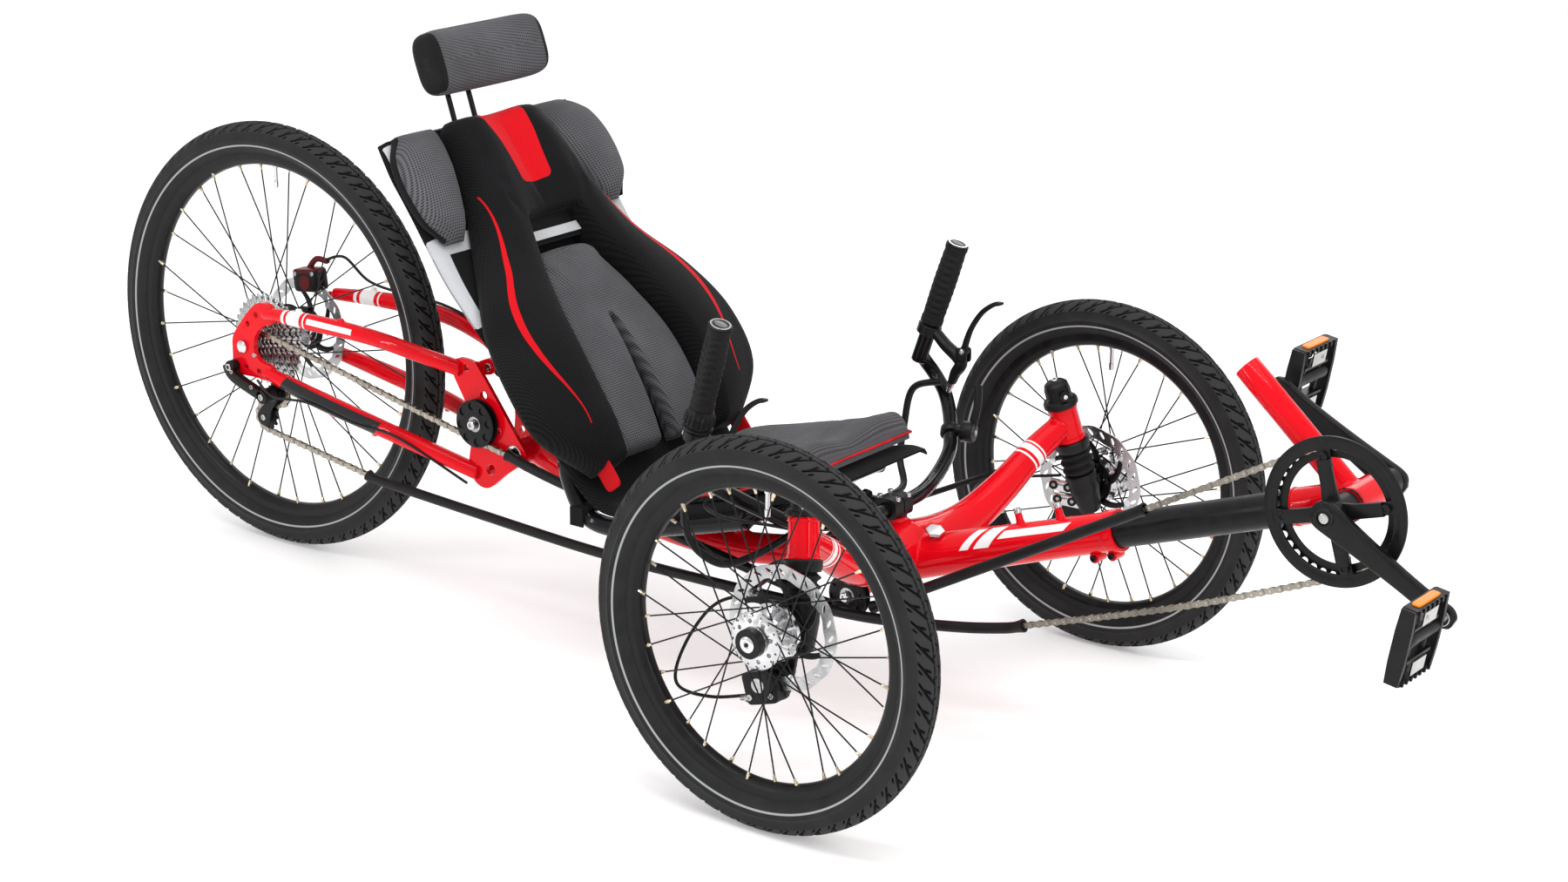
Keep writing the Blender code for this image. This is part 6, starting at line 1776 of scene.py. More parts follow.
def welded(name: str, body: str, stands_for: tuple[str, ...], shapes: Sequence[Surface], finish: Finish,
           slot: str, voxel: float = 0.0022, rounds: int = 5,
           cutters: Sequence[Surface] = ()) -> bpy.types.Object:
    """Fuse overlapping tubes into one skin, with its inner corners filled like welds.

    The skin is rebuilt on a fine grid and then relaxed a few rounds, each point moving half way to the
    mean of its neighbours.

    Args:
        name: Its name.
        body: The body that it rides on.
        stands_for: The nodes that it stands for.
        shapes: The overlapping skins.
        finish: Its finish.
        slot: Its slot.
        voxel: Size of the grid.
        rounds: Rounds of relaxing.
        cutters: Skins to cut out at the end.

    Returns:
        The object, handed over.
    """
    piece = Piece(name, body, stands_for, slot).add(shapes, finish)
    made = piece.raw()
    grid = made.modifiers.new("grid", "REMESH")
    grid.mode, grid.voxel_size, grid.use_smooth_shade = "VOXEL", voxel, True
    relax = made.modifiers.new("relax", "SMOOTH")
    relax.factor, relax.iterations = 0.5, rounds
    bake(made)
    if not made.data.materials:
        made.data.materials.append(finish.material())
    made.data.shade_smooth()
    if cutters:
        holes_cut(made, cutters)
    return piece.hand_over(made)


def boom_point(x: float, y: float = 0.0, lift: float = 0.0) -> Array:
    """A place on the boom's axis, lifted square to it.

    Args:
        x: Distance ahead of the front axle.
        y: Distance across, left for plus.
        lift: Distance above the boom's axis.

    Returns:
        The place.
    """
    slope = math.radians(18.8)
    z = 0.189 - (0.571 - x) * math.tan(slope)
    return front(x - lift * math.sin(slope), y, z + lift * math.cos(slope))


def kingpin(side: Side) -> tuple[Array, Array]:
    """The upward direction of a kingpin and the lower end of its head tube.

    Args:
        side: The left or the right.

    Returns:
        The direction, and the place.
    """
    rise = vec(-math.tan(math.radians(10.3)), -side.value * math.tan(math.radians(14.9)), 1.0)
    foot = front(0.053, side.value * HALF_TRACK, -FRONT_Z)
    return unit(rise), foot + rise * (0.073 + FRONT_Z)


# Frame


@dataclass
class Frame:
    """The painted main frame with its small fittings, and the sliding boom."""

    def arm(self, side: Side) -> tuple[Array, Array]:
        """Centre line and radii of one cross arm, up into the head tube.

        Args:
            side: The left or the right.

        Returns:
            The line, and a radius for each point.
        """
        s = side.value
        rise, low = kingpin(side)
        marks = np.array([front(-0.062, -s * 0.004, -0.005), front(-0.055, s * 0.06, -0.01),
                          front(-0.046, s * 0.12, 0.0), front(-0.036, s * 0.185, 0.028),
                          front(-0.026, s * 0.245, 0.064), low + rise * HEAD_LENGTH * 0.5])
        return smooth(marks, 8), smooth(vec(0.032, 0.03, 0.026, 0.0225, 0.0195, 0.017), 8)

    def bands(self) -> tuple[Band, ...]:
        """White bands round the arms by the head tubes, and two slanted stripes on the front tube.

        Returns:
            The marks.
        """
        found = []
        for side in Side:
            s = side.value
            a, b = front(-0.036, s * 0.185, 0.028), front(-0.0225, s * 0.262, 0.076)
            axis = unit(b - a)
            for low, high in ((0.052, 0.055), (0.06, 0.07), (0.073, 0.0755)):
                found.append(Band(tuple(a), tuple(axis), low, high, 0.035))
        base = boom_point(0.0)
        axis = unit(boom_point(0.1) - base)
        facing = unit(vec(-0.1, -0.72, 0.69))
        for low, high in ((0.052, 0.066), (0.074, 0.098)):
            found.append(Band(tuple(base), tuple(axis), low, high, 0.05, facing=tuple(facing),
                              half_width=0.014, slant=0.9))
        found.append(Band(tuple(base), tuple(axis), 0.104, 0.205, 0.05, facing=tuple(facing),
                          half_width=0.0055, slant=0.9))
        return tuple(found)

    def build(self) -> None:
        """Tubes fused into one skin, then the fittings."""
        red = Paint("frame paint", RED, 0.16, bands=self.bands())
        spine = smooth([front(-0.05, 0, -0.012), front(-0.2, 0, -0.046), front(-0.36, 0, -0.07),
                        front(-0.52, 0, -0.058), front(-0.64, 0, -0.02), PIVOT], 8)
        half = Y_AXIS * 0.039
        shapes = [tube(spine, 0.0215, 28),
                  tube([boom_point(x) for x in (-0.095, -0.02, 0.165, 0.2545)],
                       [0.03, 0.0285, 0.0255, 0.0255], 36),
                  rod(PIVOT - half, PIVOT + half, 0.019, 32)]
        for side in Side:
            rise, low = kingpin(side)
            line, radii = self.arm(side)
            shapes += [tube(line, radii, 32), rod(low, low + rise * HEAD_LENGTH, 0.0195, 40)]
        shapes.append(rod(front(STEER_X, 0, -0.03), front(STEER_X, 0, 0.0293), 0.018, 32))
        shapes.append(plate([front(-0.64, 0, -0.02), SHOCK_BOTTOM + vec(0.01, 0, -0.008),
                             SHOCK_BOTTOM + vec(0.008, 0, 0.008), SHOCK_BOTTOM + vec(-0.008, 0, 0.008),
                             SHOCK_BOTTOM + vec(-0.01, 0, -0.008), front(-0.672, 0, -0.012)], -0.005, 0.005))
        shapes.append(plate([front(-0.135, 0, -0.03), front(-0.095, 0, -0.024),
                             FRONT_IDLER + vec(0.01, 0, -0.006), FRONT_IDLER + vec(-0.01, 0, -0.006)], -0.04,
                            -0.014))
        shapes.append(rod(front(-0.33, 0, -0.07), front(-0.33, 0, -0.0122), 0.009, 20))
        stay = unit(STAY_HEAD - STAY_FOOT)
        shapes.append(rod(STAY_FOOT - stay * 0.0003, STAY_FOOT - stay * 0.026, 0.0105, 24))
        cuts = [rod(boom_point(0.06), boom_point(0.28), 0.0228, 40),
                rod(PIVOT - half * 1.5, PIVOT + half * 1.5, 0.0102, 32)]
        welded("frame_tubes", "frame", ("main_frame",), shapes, red, "frame_red", cutters=cuts)
        self.fittings()
        self.boom()

    def fittings(self) -> None:
        """Bosses, lugs, badge plate, head rings and the idler's axle."""
        piece = Piece("frame_fittings", "frame", (), "steel")
        for x in (0.118, 0.176):
            base = boom_point(x, 0, 0.024)
            up = unit(boom_point(x, 0, 0.05) - base)
            piece.add(lathe([(0, 0), (0.0068, 0), (0.005, 0.006), (0.0046, 0.016), (0, 0.016)], base, up, 28),
                      RED_PAINT)
            piece.add(bolt(base + up * 0.0165, up, 0.0052, 0.0052), SILVER)
        for x in (0.215, 0.24):
            lug = boom_point(x, 0, -0.029)
            piece.add(rod(lug - Y_AXIS * 0.011, lug + Y_AXIS * 0.011, 0.0068, 24, 0.001), RED_PAINT)
            for s in (1, -1):
                piece.add(bolt(lug + Y_AXIS * 0.011 * s, Y_AXIS * s, 0.0042, 0.003), SATIN_BLACK)
        ring = unit(boom_point(0.3) - boom_point(0.2))
        piece.add(lathe([(0.0228, -0.018), (0.0266, -0.018), (0.0272, -0.016), (0.0272, -0.002),
                         (0.0264, 0.0), (0.0228, 0.0)], boom_point(0.2552), ring, 56), RED_PAINT)
        for side in Side:
            rise, low = kingpin(side)
            for at in (0.0, HEAD_LENGTH - 0.006):
                piece.add(lathe([(0.0178, 0.0), (0.0204, 0.0), (0.0208, 0.001), (0.0208, 0.005),
                                 (0.0204, 0.006), (0.0178, 0.006)], low, rise, 48).moved(shift=rise * at),
                          RED_PAINT)
        badge = front(-0.01, -0.014, 0.0285)
        normal = unit(vec(0.12, -0.42, 0.9))
        t = np.radians(np.arange(0, 360, 60) + 20)
        side = unit(np.cross(normal, X_AXIS))
        ahead = np.cross(side, normal)
        loop = np.cos(t)[:, None] * ahead * 0.0135 + np.sin(t)[:, None] * side * 0.0105
        piece.add(skin(np.stack([badge + loop - normal * 0.004, badge + loop,
                                 badge + loop * 0.9 + normal * 0.0008]), caps="face"), BADGE_METAL)
        piece.add(rod(FRONT_IDLER + Y_AXIS * 0.03, FRONT_IDLER - Y_AXIS * 0.0105, 0.004, 20), STEEL)
        piece.add(bolt(FRONT_IDLER - Y_AXIS * 0.01, -Y_AXIS, 0.0065, 0.004), SILVER)
        for s in (1, -1):
            piece.add(lathe([(0.0104, 0), (0.0165, 0), (0.016, 0.0011), (0.0104, 0.0014)],
                            PIVOT + Y_AXIS * s * 0.0386, Y_AXIS * s), STEEL)
        piece.build()

    def boom(self) -> None:
        """Black sliding tube with a red head: bottom bracket shell and the hollow mast."""
        ahead = unit(boom_point(0.3) - boom_point(0.2))
        tube_piece = Piece("boom_tube", "boom", ("boom",), "metal_black")
        tube_piece.add(tube([boom_point(0.126), boom_point(0.3), boom_point(0.52)], 0.022, 44), SATIN_BLACK)
        tube_piece.build()
        lean = math.radians(48.5)
        aim = heading(lean + math.pi / 2)
        behind = vec(-math.cos(lean), 0, -math.sin(lean)) * 0.0045
        wide = Y_AXIS * 0.034
        shapes = [rod(boom_point(0.492), BB - ahead * 0.008, 0.0232, 40),
                  rod(BB - wide, BB + wide, 0.0215, 40),
                  rod(BB + behind, BB + aim * 0.16 + behind, 0.0165, 32)]
        welded("boom_head", "boom", (), shapes, RED_PAINT, "frame_red", voxel=0.0019,
               cutters=[rod(BB - wide * 1.4, BB + wide * 1.4, 0.0122, 32)])
        piece = Piece("boom_mast", "boom", (), "frame_red")
        piece.add(lathe([(0, 0.15), (0.01655, 0.15), (0.01655, 0.2045), (0.0162, 0.205), (0.0148, 0.205),
                         (0.0148, 0.165), (0, 0.165)], BB + behind, aim, 48), RED_PAINT)
        piece.add(lathe([(0.0222, -0.002), (0.0236, -0.002), (0.024, 0.0), (0.0236, 0.002), (0.0222, 0.002)],
                        boom_point(0.492), ahead, 56), RED_PAINT)
        for s in (1, -1):
            cup = [(0.0122, 0.03), (0.0212, 0.03), (0.0212, 0.0352), (0.02, 0.0366), (0.0122, 0.0366)]
            piece.add(lathe([(r, a - 0.003) for r, a in cup], BB, Y_AXIS * s, 48), SATIN_BLACK)
        piece.build()


# Drive


def tangent_angles(a: Array, radius_a: float, sense_a: int, b: Array, radius_b: float,
                   sense_b: int) -> tuple[float, float]:
    """Angles where a chain leaves one wheel and meets the next; sense is 1 for anticlockwise.

    Args:
        a: Middle of the wheel it leaves.
        radius_a: Its radius.
        sense_a: Its sense.
        b: Middle of the next wheel.
        radius_b: Its radius.
        sense_b: Its sense.

    Returns:
        The angle on each wheel.
    """
    dx, dz = b[0] - a[0], b[2] - a[2]
    run = math.atan2(dz, dx) - math.asin((sense_b * radius_b - sense_a * radius_a) / math.hypot(dx, dz))
    return run - sense_a * math.pi / 2, run - sense_b * math.pi / 2


def wrap(start: float, end: float, sense: int) -> float:
    """The end angle carried past the start angle in the direction of travel."""
    full = 2 * math.pi
    return start + sense * ((sense * (end - start)) % full)


@dataclass
class Drive:
    """Cranks, chainring, pedals, chain, idlers, tubes and derailleur."""

    crank: float = 0.175
    angle: float = math.radians(-29.2)
    ring_radius: float = 0.0768
    idler: float = 0.0255
    jockey: float = 0.0215
    cog: float = 0.0246

    def build(self) -> None:
        """Front to back."""
        for side, turn in ((Side.RIGHT, self.angle), (Side.LEFT, self.angle + math.pi)):
            self.crank_arm(side, turn)
            self.pedal(side, BB + self.crank * heading(turn))
        self.chainring()
        self.chains()
        self.idlers()
        self.derailleur()

    def crank_arm(self, side: Side, turn: float) -> None:
        """A forged arm: rounded sections carried from the spindle to the pedal eye.

        Args:
            side: The left or the right.
            turn: The arm's angle.
        """
        s = side.value
        aim, across = heading(turn), heading(turn + math.pi / 2)
        along = smooth(vec(-0.0195, -0.014, -0.003, 0.022, 0.07, 0.12, 0.155, 0.175, 0.186, 0.1885), 6)
        half = smooth(vec(0.006, 0.0145, 0.0185, 0.0172, 0.014, 0.012, 0.0122, 0.0142, 0.01, 0.006), 6)
        t = full_turn(36)
        c, n = np.cos(t), np.sin(t)
        wide, thick = np.sign(c) * np.abs(c) ** 0.45, np.sign(n) * np.abs(n) ** 0.45
        end = np.clip(np.minimum(along + 0.02, 0.189 - along) / 0.008, 0.25, 1) ** 0.4
        middle = BB + along[:, None] * aim + s * 0.0855 * Y_AXIS
        points = (middle[:, None] + (half[:, None] * wide)[..., None] * across
                  + (0.0063 * end[:, None] * thick)[..., None] * Y_AXIS)
        piece = Piece("crank_arm_" + side.word, "crank", ("crank_" + side.word,), "metal_black")
        piece.add(skin(points), SATIN_BLACK)
        face = s * 0.0922
        piece.add(lathe([(0.0, 0), (0.0125, 0), (0.0125, 0.0016), (0.0112, 0.003), (0.0085, 0.003),
                         (0.008, 0.001), (0, 0.001)], BB + Y_AXIS * face * 0.985, Y_AXIS * s, 40), PLASTIC)
        piece.add(bolt(BB + Y_AXIS * face, Y_AXIS * s, 0.0062, 0.0014), STEEL)
        eye = BB + aim * self.crank
        piece.add(rod(eye + Y_AXIS * s * 0.079, eye + Y_AXIS * s * 0.158, 0.0052, 24), STEEL)
        piece.add(lathe([(0, -0.001), (0.0098, -0.001), (0.0098, 0.0012), (0.009, 0.0018), (0, 0.0018)],
                        eye + Y_AXIS * s * 0.0918, Y_AXIS * s, 24), STEEL)
        piece.add(bolt(eye + Y_AXIS * s * 0.0786, -Y_AXIS * s, 0.0062, 0.001), STEEL)
        piece.add(lathe([(0, 0.0343), (0.0178, 0.0343), (0.0182, 0.036), (0.018, 0.076), (0.0175, 0.08),
                         (0, 0.08)], BB, Y_AXIS * s, 40), SATIN_BLACK)
        if side is Side.RIGHT:
            for k in range(4):
                a = turn + math.radians(45 + 90 * k)
                way, cross = heading(a), heading(a + math.pi / 2)
                r = np.linspace(0.01, 0.0635, 12)
                line = BB + r[:, None] * way + vec(0, CHAIN_Y - 0.0104, 0)
                piece.add(ribbon(line, np.interp(r, [0.01, 0.03, 0.0635], [0.012, 0.009, 0.0085]), 0.0033,
                                 cross), SATIN_BLACK)
        piece.build()

    def chainring(self) -> None:
        """Toothed ring, and a guard ring outside it held by four tabs."""
        piece = Piece("chainring_guard", "crank", ("chainring",), "metal_black")
        line = BB + Y_AXIS * CHAIN_Y
        piece.add(toothed_ring(line, self.ring_radius, 38, 0.064, 0.0011), SATIN_BLACK)
        guard = BB + Y_AXIS * (CHAIN_Y - 0.0064)
        piece.add(lathe([(0.0745, -0.0009), (0.0752, -0.0016), (0.08, -0.0016), (0.0812, -0.0021),
                         (0.088, -0.0021), (0.0903, -0.0014), (0.0905, 0.0012), (0.088, 0.0016),
                         (0.0755, 0.0012), (0.0745, 0.0006)], guard, sides=160), SATIN_BLACK)
        for k in range(4):
            a = self.angle + math.radians(45 + 90 * k)
            way, cross = heading(a), heading(a + math.pi / 2)
            r = np.linspace(0.0535, 0.079, 8)
            piece.add(ribbon(guard + r[:, None] * way, smooth(vec(0.0085, 0.008, 0.0105), 4)[:8], 0.0015,
                             cross), SATIN_BLACK)
            piece.add(bolt(guard + way * 0.0668 - Y_AXIS * 0.0044, -Y_AXIS, 0.0058, 0.0022), SATIN_BLACK)
            piece.add(rod(guard + way * 0.0668 + Y_AXIS * 0.0005, line + way * 0.0668 + Y_AXIS * 0.001,
                          0.0042, 20), STEEL)
            piece.add(block(guard + way * 0.0838 - Y_AXIS * 0.0015, (0.0075, 0.0018, 0.012),
                            np.stack([way, Y_AXIS, cross], -1)), PLASTIC)
        piece.build()

    def pedal(self, side: Side, eye: Array) -> None:
        """A cage pedal: axle barrel, two toothed side bars, end plates, clips and reflectors.

        Args:
            side: The left or the right.
            eye: The place of the pedal's eye.
        """
        s = side.value
        tip = turn_about(Y_AXIS, 9.5)
        near = 0.079 + 0.013 + 0.018
        middle = eye + Y_AXIS * s * (near + 0.045)
        piece = Piece("pedal_cage_" + side.word, "pedal_" + side.word, ("pedal_" + side.word,),
                      "plastic_black")

        def at(x: float, y: float, z: float) -> Array:
            """A place on the pedal: across its thickness, along its axle, along its chord."""
            return middle + tip @ vec(x, s * y, z - 0.004)

        low_end = eye + Y_AXIS * s * (near + 0.001)
        piece.add(lathe([(0.0062, 0), (0.0092, 0), (0.0098, 0.003), (0.0092, 0.012), (0.0088, 0.06),
                         (0.0098, 0.074), (0.009, 0.0785), (0.0062, 0.0785)], low_end, Y_AXIS * s, 32),
                  PLASTIC)
        for y in (-0.0415, 0.0415):
            outline = [at(x, y, z) for x, z in ((-0.0085, -0.046), (0.0085, -0.046), (0.01, -0.02),
                                                (0.01, 0.02), (0.0085, 0.0465), (-0.0085, 0.0465),
                                                (-0.01, 0.02), (-0.01, -0.02))]
            loop = np.array(outline)
            piece.add(skin(np.stack([loop - Y_AXIS * 0.003, loop + Y_AXIS * 0.003]), caps="face"), PLASTIC)
        for z in (-0.0445, 0.0445):
            piece.add(block(at(0, 0, z), (0.018, 0.08, 0.0055), tip), PLASTIC)
            piece.add(rounded_box(at(0, 0, z + math.copysign(0.003, z)), (0.0115, 0.056, 0.004), tip, 0.3, 6),
                      REFLECTOR)
            for y in np.linspace(-0.034, 0.034, 7):
                piece.add(block(at(0.0098, y, z), (0.003, 0.004, 0.0055), tip), PLASTIC)
        for z in (-0.0175, 0.0175):
            piece.add(block(at(0, 0, z * 1.15), (0.015, 0.06, 0.004), tip), SATIN_BLACK)
        for y in (-0.02, 0.02):
            piece.add(rod(at(0, y, -0.042), at(0, y, 0.042), 0.0042, 16), SATIN_BLACK)
        for x in (-0.0088, 0.0088):
            piece.add(block(at(x, 0, -0.031), (0.0022, 0.034, 0.017), tip), STEEL)
            piece.add(block(at(x, 0, 0.031), (0.0022, 0.034, 0.017), tip), STEEL)
            piece.add(bolt(at(x, 0.008, 0.031), tip @ X_AXIS * math.copysign(1, x), 0.0032, 0.002), STEEL)
        piece.build(bevel=0.0005)

    def round_wheel(self, centre: Array, radius: float, start: float, end: float) -> Array:
        """Points of the chain round a wheel."""
        return arc(centre, radius, start, end, max(6, int(abs(end - start) * 12)))

    def front_run(self) -> tuple[Array, Array, float]:
        """The power run from the front idler up to the chainring, and the angle where it meets it.

        Returns:
            Its lower end, its upper end and the angle.
        """
        ring = BB + Y_AXIS * CHAIN_Y
        leave, meet = tangent_angles(FRONT_IDLER, self.idler, 1, ring, self.ring_radius, -1)
        return rim_point(FRONT_IDLER, self.idler, leave), rim_point(ring, self.ring_radius, meet), meet

    def chains(self) -> None:
        """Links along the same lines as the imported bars, and the tubes they run in."""
        ring = BB + Y_AXIS * CHAIN_Y
        low, high, meet = self.front_run()
        aim = unit(high - low)
        mouth = low + aim * ((FRONT_X + 0.319 - low[0]) / aim[0])
        route = [front(*p) for p in ((0.159, -0.064, -0.048), (0.06, -0.07, -0.071), (-0.06, -0.079, -0.085),
                                     (-0.18, -0.079, -0.091), (-0.35, -0.0775, -0.096),
                                     (-0.534, -0.075, -0.098), (-0.76, -0.067, -0.092),
                                     (-0.972, -0.059, -0.082))]
        entry, exit_point = route[0], route[-1]
        leave = tangent_angles(entry, 0.0, 1, ring, self.ring_radius, 1)[1]
        around = self.round_wheel(ring, self.ring_radius, meet, wrap(meet, leave, -1))
        sag = (entry + around[-1]) / 2 - Z_AXIS * 0.007
        last = unit(entry - sag)
        lower = smooth([around[-1], sag, entry + last * 0.015], 10)
        self.links("chain_links_front", "boom", "chain_front",
                   np.concatenate([[mouth - aim * 0.03], around, lower[1:]]), 0)
        self.tube_piece("chain_tube_power", "chain_tube_front", np.stack([low + aim * 0.028, mouth]))

        rear_mouth, bend = front(-0.702, CHAIN_Y, 0.002), front(-0.59, CHAIN_Y, -0.022)
        meet_idler = tangent_angles(bend, 0.0, 1, FRONT_IDLER, self.idler, 1)[1]
        touch = rim_point(FRONT_IDLER, self.idler, meet_idler)
        self.tube_piece("chain_tube_back", "chain_tube_rear",
                        smooth([touch + unit(bend - touch) * 0.028, bend, rear_mouth], 10))
        leave_low = tangent_angles(JOCKEY_LOWER, self.jockey, 1, exit_point, 0.0, 1)[0]
        foot = rim_point(JOCKEY_LOWER, self.jockey, leave_low)
        forward = unit(exit_point - foot)
        route.insert(1, entry + last * 0.03)
        route.insert(-1, exit_point + forward * 0.03)
        self.tube_piece("chain_tube_slack", "chain_tube_return", smooth(route, 8))

        cog = REAR_AXLE + Y_AXIS * CHAIN_Y
        begin = rear_mouth - unit(rear_mouth - bend) * 0.012
        wheels = ((REAR_IDLER, self.idler, -1), (cog, self.cog, 1), (JOCKEY_UPPER, self.jockey, -1),
                  (JOCKEY_LOWER, self.jockey, 1))
        path, here, radius, sense = [begin[None]], begin, 0.0, -1
        meets = []
        for centre, r, turn in wheels:
            meets.append(tangent_angles(here, radius, sense, centre, r, turn))
            here, radius, sense = centre, r, turn
        leaves = [m[0] for m in meets[1:]] + [leave_low]
        for (centre, r, turn), (_, start), end in zip(wheels, meets, leaves):
            path.append(self.round_wheel(centre, r, start, wrap(start, end, turn)))
        path.append((exit_point + forward * 0.012)[None])
        self.links("chain_links_rear", "rear_arm", "chain_rear", np.concatenate(path), 1)

    def tube_piece(self, name: str, node: str, line: Array) -> None:
        """A black chain tube with a slightly belled mouth at both ends.

        Args:
            name: Its name.
            node: The node that it stands for.
            line: Its middle line.
        """
        fine = spaced(line, max(24, int(length_of(line) / 0.006)))
        radii = np.full(len(fine), 0.0072)
        radii[[0, -1]] = 0.0088
        radii[[1, -2]] = 0.0078
        Piece(name, "frame", (node,), "plastic_black").add(pipe(fine, radii, 0.006), PLASTIC).build()

    def links(self, name: str, body: str, node: str, path: Array, first: int) -> None:
        """Inner and outer links by turns, 12.7 mm apart, with rollers and pin heads.

        Args:
            name: Its name.
            body: The body that it rides on.
            node: The node that it stands for.
            path: The chain's line.
            first: Whether the first link is wide (0) or thin (1).
        """
        count = int(length_of(path) / CHAIN_PITCH)
        at = spaced(path, count + 1)
        ahead = unit(np.diff(at, axis=0))
        turns = np.stack([ahead, np.broadcast_to(Y_AXIS, ahead.shape), np.cross(ahead, Y_AXIS)], -1)
        middle = (at[1:] + at[:-1]) / 2
        t = np.radians(np.array([90, 45, 0, -45, -90]))
        tall, neck = 0.0042, 0.0029
        right = np.stack([CHAIN_PITCH / 2 + tall * np.cos(t), tall * np.sin(t)], -1)
        outline = np.concatenate([right, [[0, -neck]], -right, [[0, neck]]])
        outline = np.stack([outline[:, 0], 0 * outline[:, 0], outline[:, 1]], -1)

        def pair(inner: float, outer: float) -> Surface:
            """Two plates of a link."""
            return merged(plate(outline, s * inner, s * outer) if s > 0
                          else plate(outline, -outer, -inner) for s in (1, -1))

        thin = pair(0.00125, 0.0021)
        wide = pair(0.0022, 0.003)
        roller = rod(vec(0, -0.0012, 0), vec(0, 0.0012, 0), 0.0038, 10)
        pin = rod(vec(0, -0.0034, 0), vec(0, 0.0034, 0), 0.0016, 8)
        piece = Piece(name, body, (node,), "chain_steel")
        odd = np.arange(count) % 2 == first
        piece.add(repeated(thin, middle[odd], turns[odd]), CHAIN_STEEL)
        piece.add(repeated(wide, middle[~odd], turns[~odd]), CHAIN_STEEL)
        every = np.concatenate([turns, turns[-1:]])
        piece.add(repeated(roller, at, every), STEEL).add(repeated(pin, at, every), STEEL)
        piece.build(smooth_deg=40)

    def idlers(self) -> None:
        """Grooved idler wheels with eight round windows and a bearing."""
        for word, place in (("front", FRONT_IDLER), ("rear", REAR_IDLER)):
            body = "idler_" + word
            rim = 0.0294 if word == "front" else 0.0345
            piece = Piece("idler_wheel_" + word, body, (body,), "plastic_black")
            piece.add(lathe([(0.0112, -0.0066), (0.017, -0.0066), (0.0178, -0.006), (rim - 0.0012, -0.006),
                             (rim, -0.0052), (rim, -0.0042), (0.0232, -0.0024), (0.0208, -0.0024),
                             (0.0208, 0.0024), (0.0232, 0.0024), (rim, 0.0042), (rim, 0.0052),
                             (rim - 0.0012, 0.006), (0.0178, 0.006), (0.017, 0.0066), (0.0112, 0.0066)],
                            place, sides=72), PLASTIC)
            made = piece.build()
            spin = np.radians(np.arange(8) * 45 + 10)
            mid = (0.0175 + rim) / 2
            holes_cut(made, [rod(place + vec(mid * math.cos(a), -0.0073, mid * math.sin(a)),
                                 place + vec(mid * math.cos(a), -0.004, mid * math.sin(a)),
                                 (rim - 0.0175) * 0.35, 20) for a in spin])
            bearing = Piece("idler_bearing_" + word, body, (), "steel")
            bearing.add(lathe([(0.0048, -0.0062), (0.0075, -0.0064), (0.0078, -0.0058), (0.0092, -0.0058),
                               (0.0095, -0.0064), (0.0112, -0.0062), (0.0112, 0.0062), (0.0048, 0.0062)],
                              place, sides=48), STEEL)
            bearing.build()

    def derailleur(self) -> None:
        """Hanger link, parallelogram plates, spring barrel, cage plates and toothed jockeys."""
        cage_out = CHAIN_Y - 0.0039 - 0.007
        foot = rear(-0.018, -0.0768, -0.032)
        hip = vec(JOCKEY_UPPER[0], cage_out - 0.0003, JOCKEY_UPPER[2])
        piece = Piece("derailleur_arm", "derailleur", ("derailleur_body",), "metal_black")
        piece.add(lathe([(0, 0), (0.0088, 0), (0.0092, 0.0015), (0.0092, 0.013), (0.008, 0.015), (0, 0.015)],
                        foot, -Y_AXIS, 36), SATIN_BLACK)
        piece.add(bolt(foot - Y_AXIS * 0.0148, -Y_AXIS, 0.0055, 0.0022), STEEL)
        knee = rear(-0.01, 0, -0.046)
        for y, half in ((-0.0835, 0.0026), (-0.0905, 0.0022)):
            line = smooth([vec(foot[0] - 0.005, y, foot[2] + 0.004), vec(knee[0], y, knee[2]),
                           vec(hip[0], y, hip[2])], 8)
            piece.add(ribbon(line, half, np.linspace(0.0085, 0.0072, len(line)), Y_AXIS), SATIN_BLACK)
        for spot in (vec(foot[0] + 0.006, -0.0918, foot[2] - 0.006),
                     vec(hip[0] - 0.02, -0.0918, hip[2] + 0.012)):
            piece.add(bolt(spot, -Y_AXIS, 0.0032, 0.0018), STEEL)
        piece.add(lathe([(0, 0), (0.0112, 0), (0.0116, 0.002), (0.0112, 0.0215), (0.0096, 0.0245),
                         (0, 0.0245)], hip, -Y_AXIS, 40), SATIN_BLACK)
        piece.add(bolt(hip - Y_AXIS * 0.0243, -Y_AXIS, 0.005, 0.002), STEEL)
        piece.build()

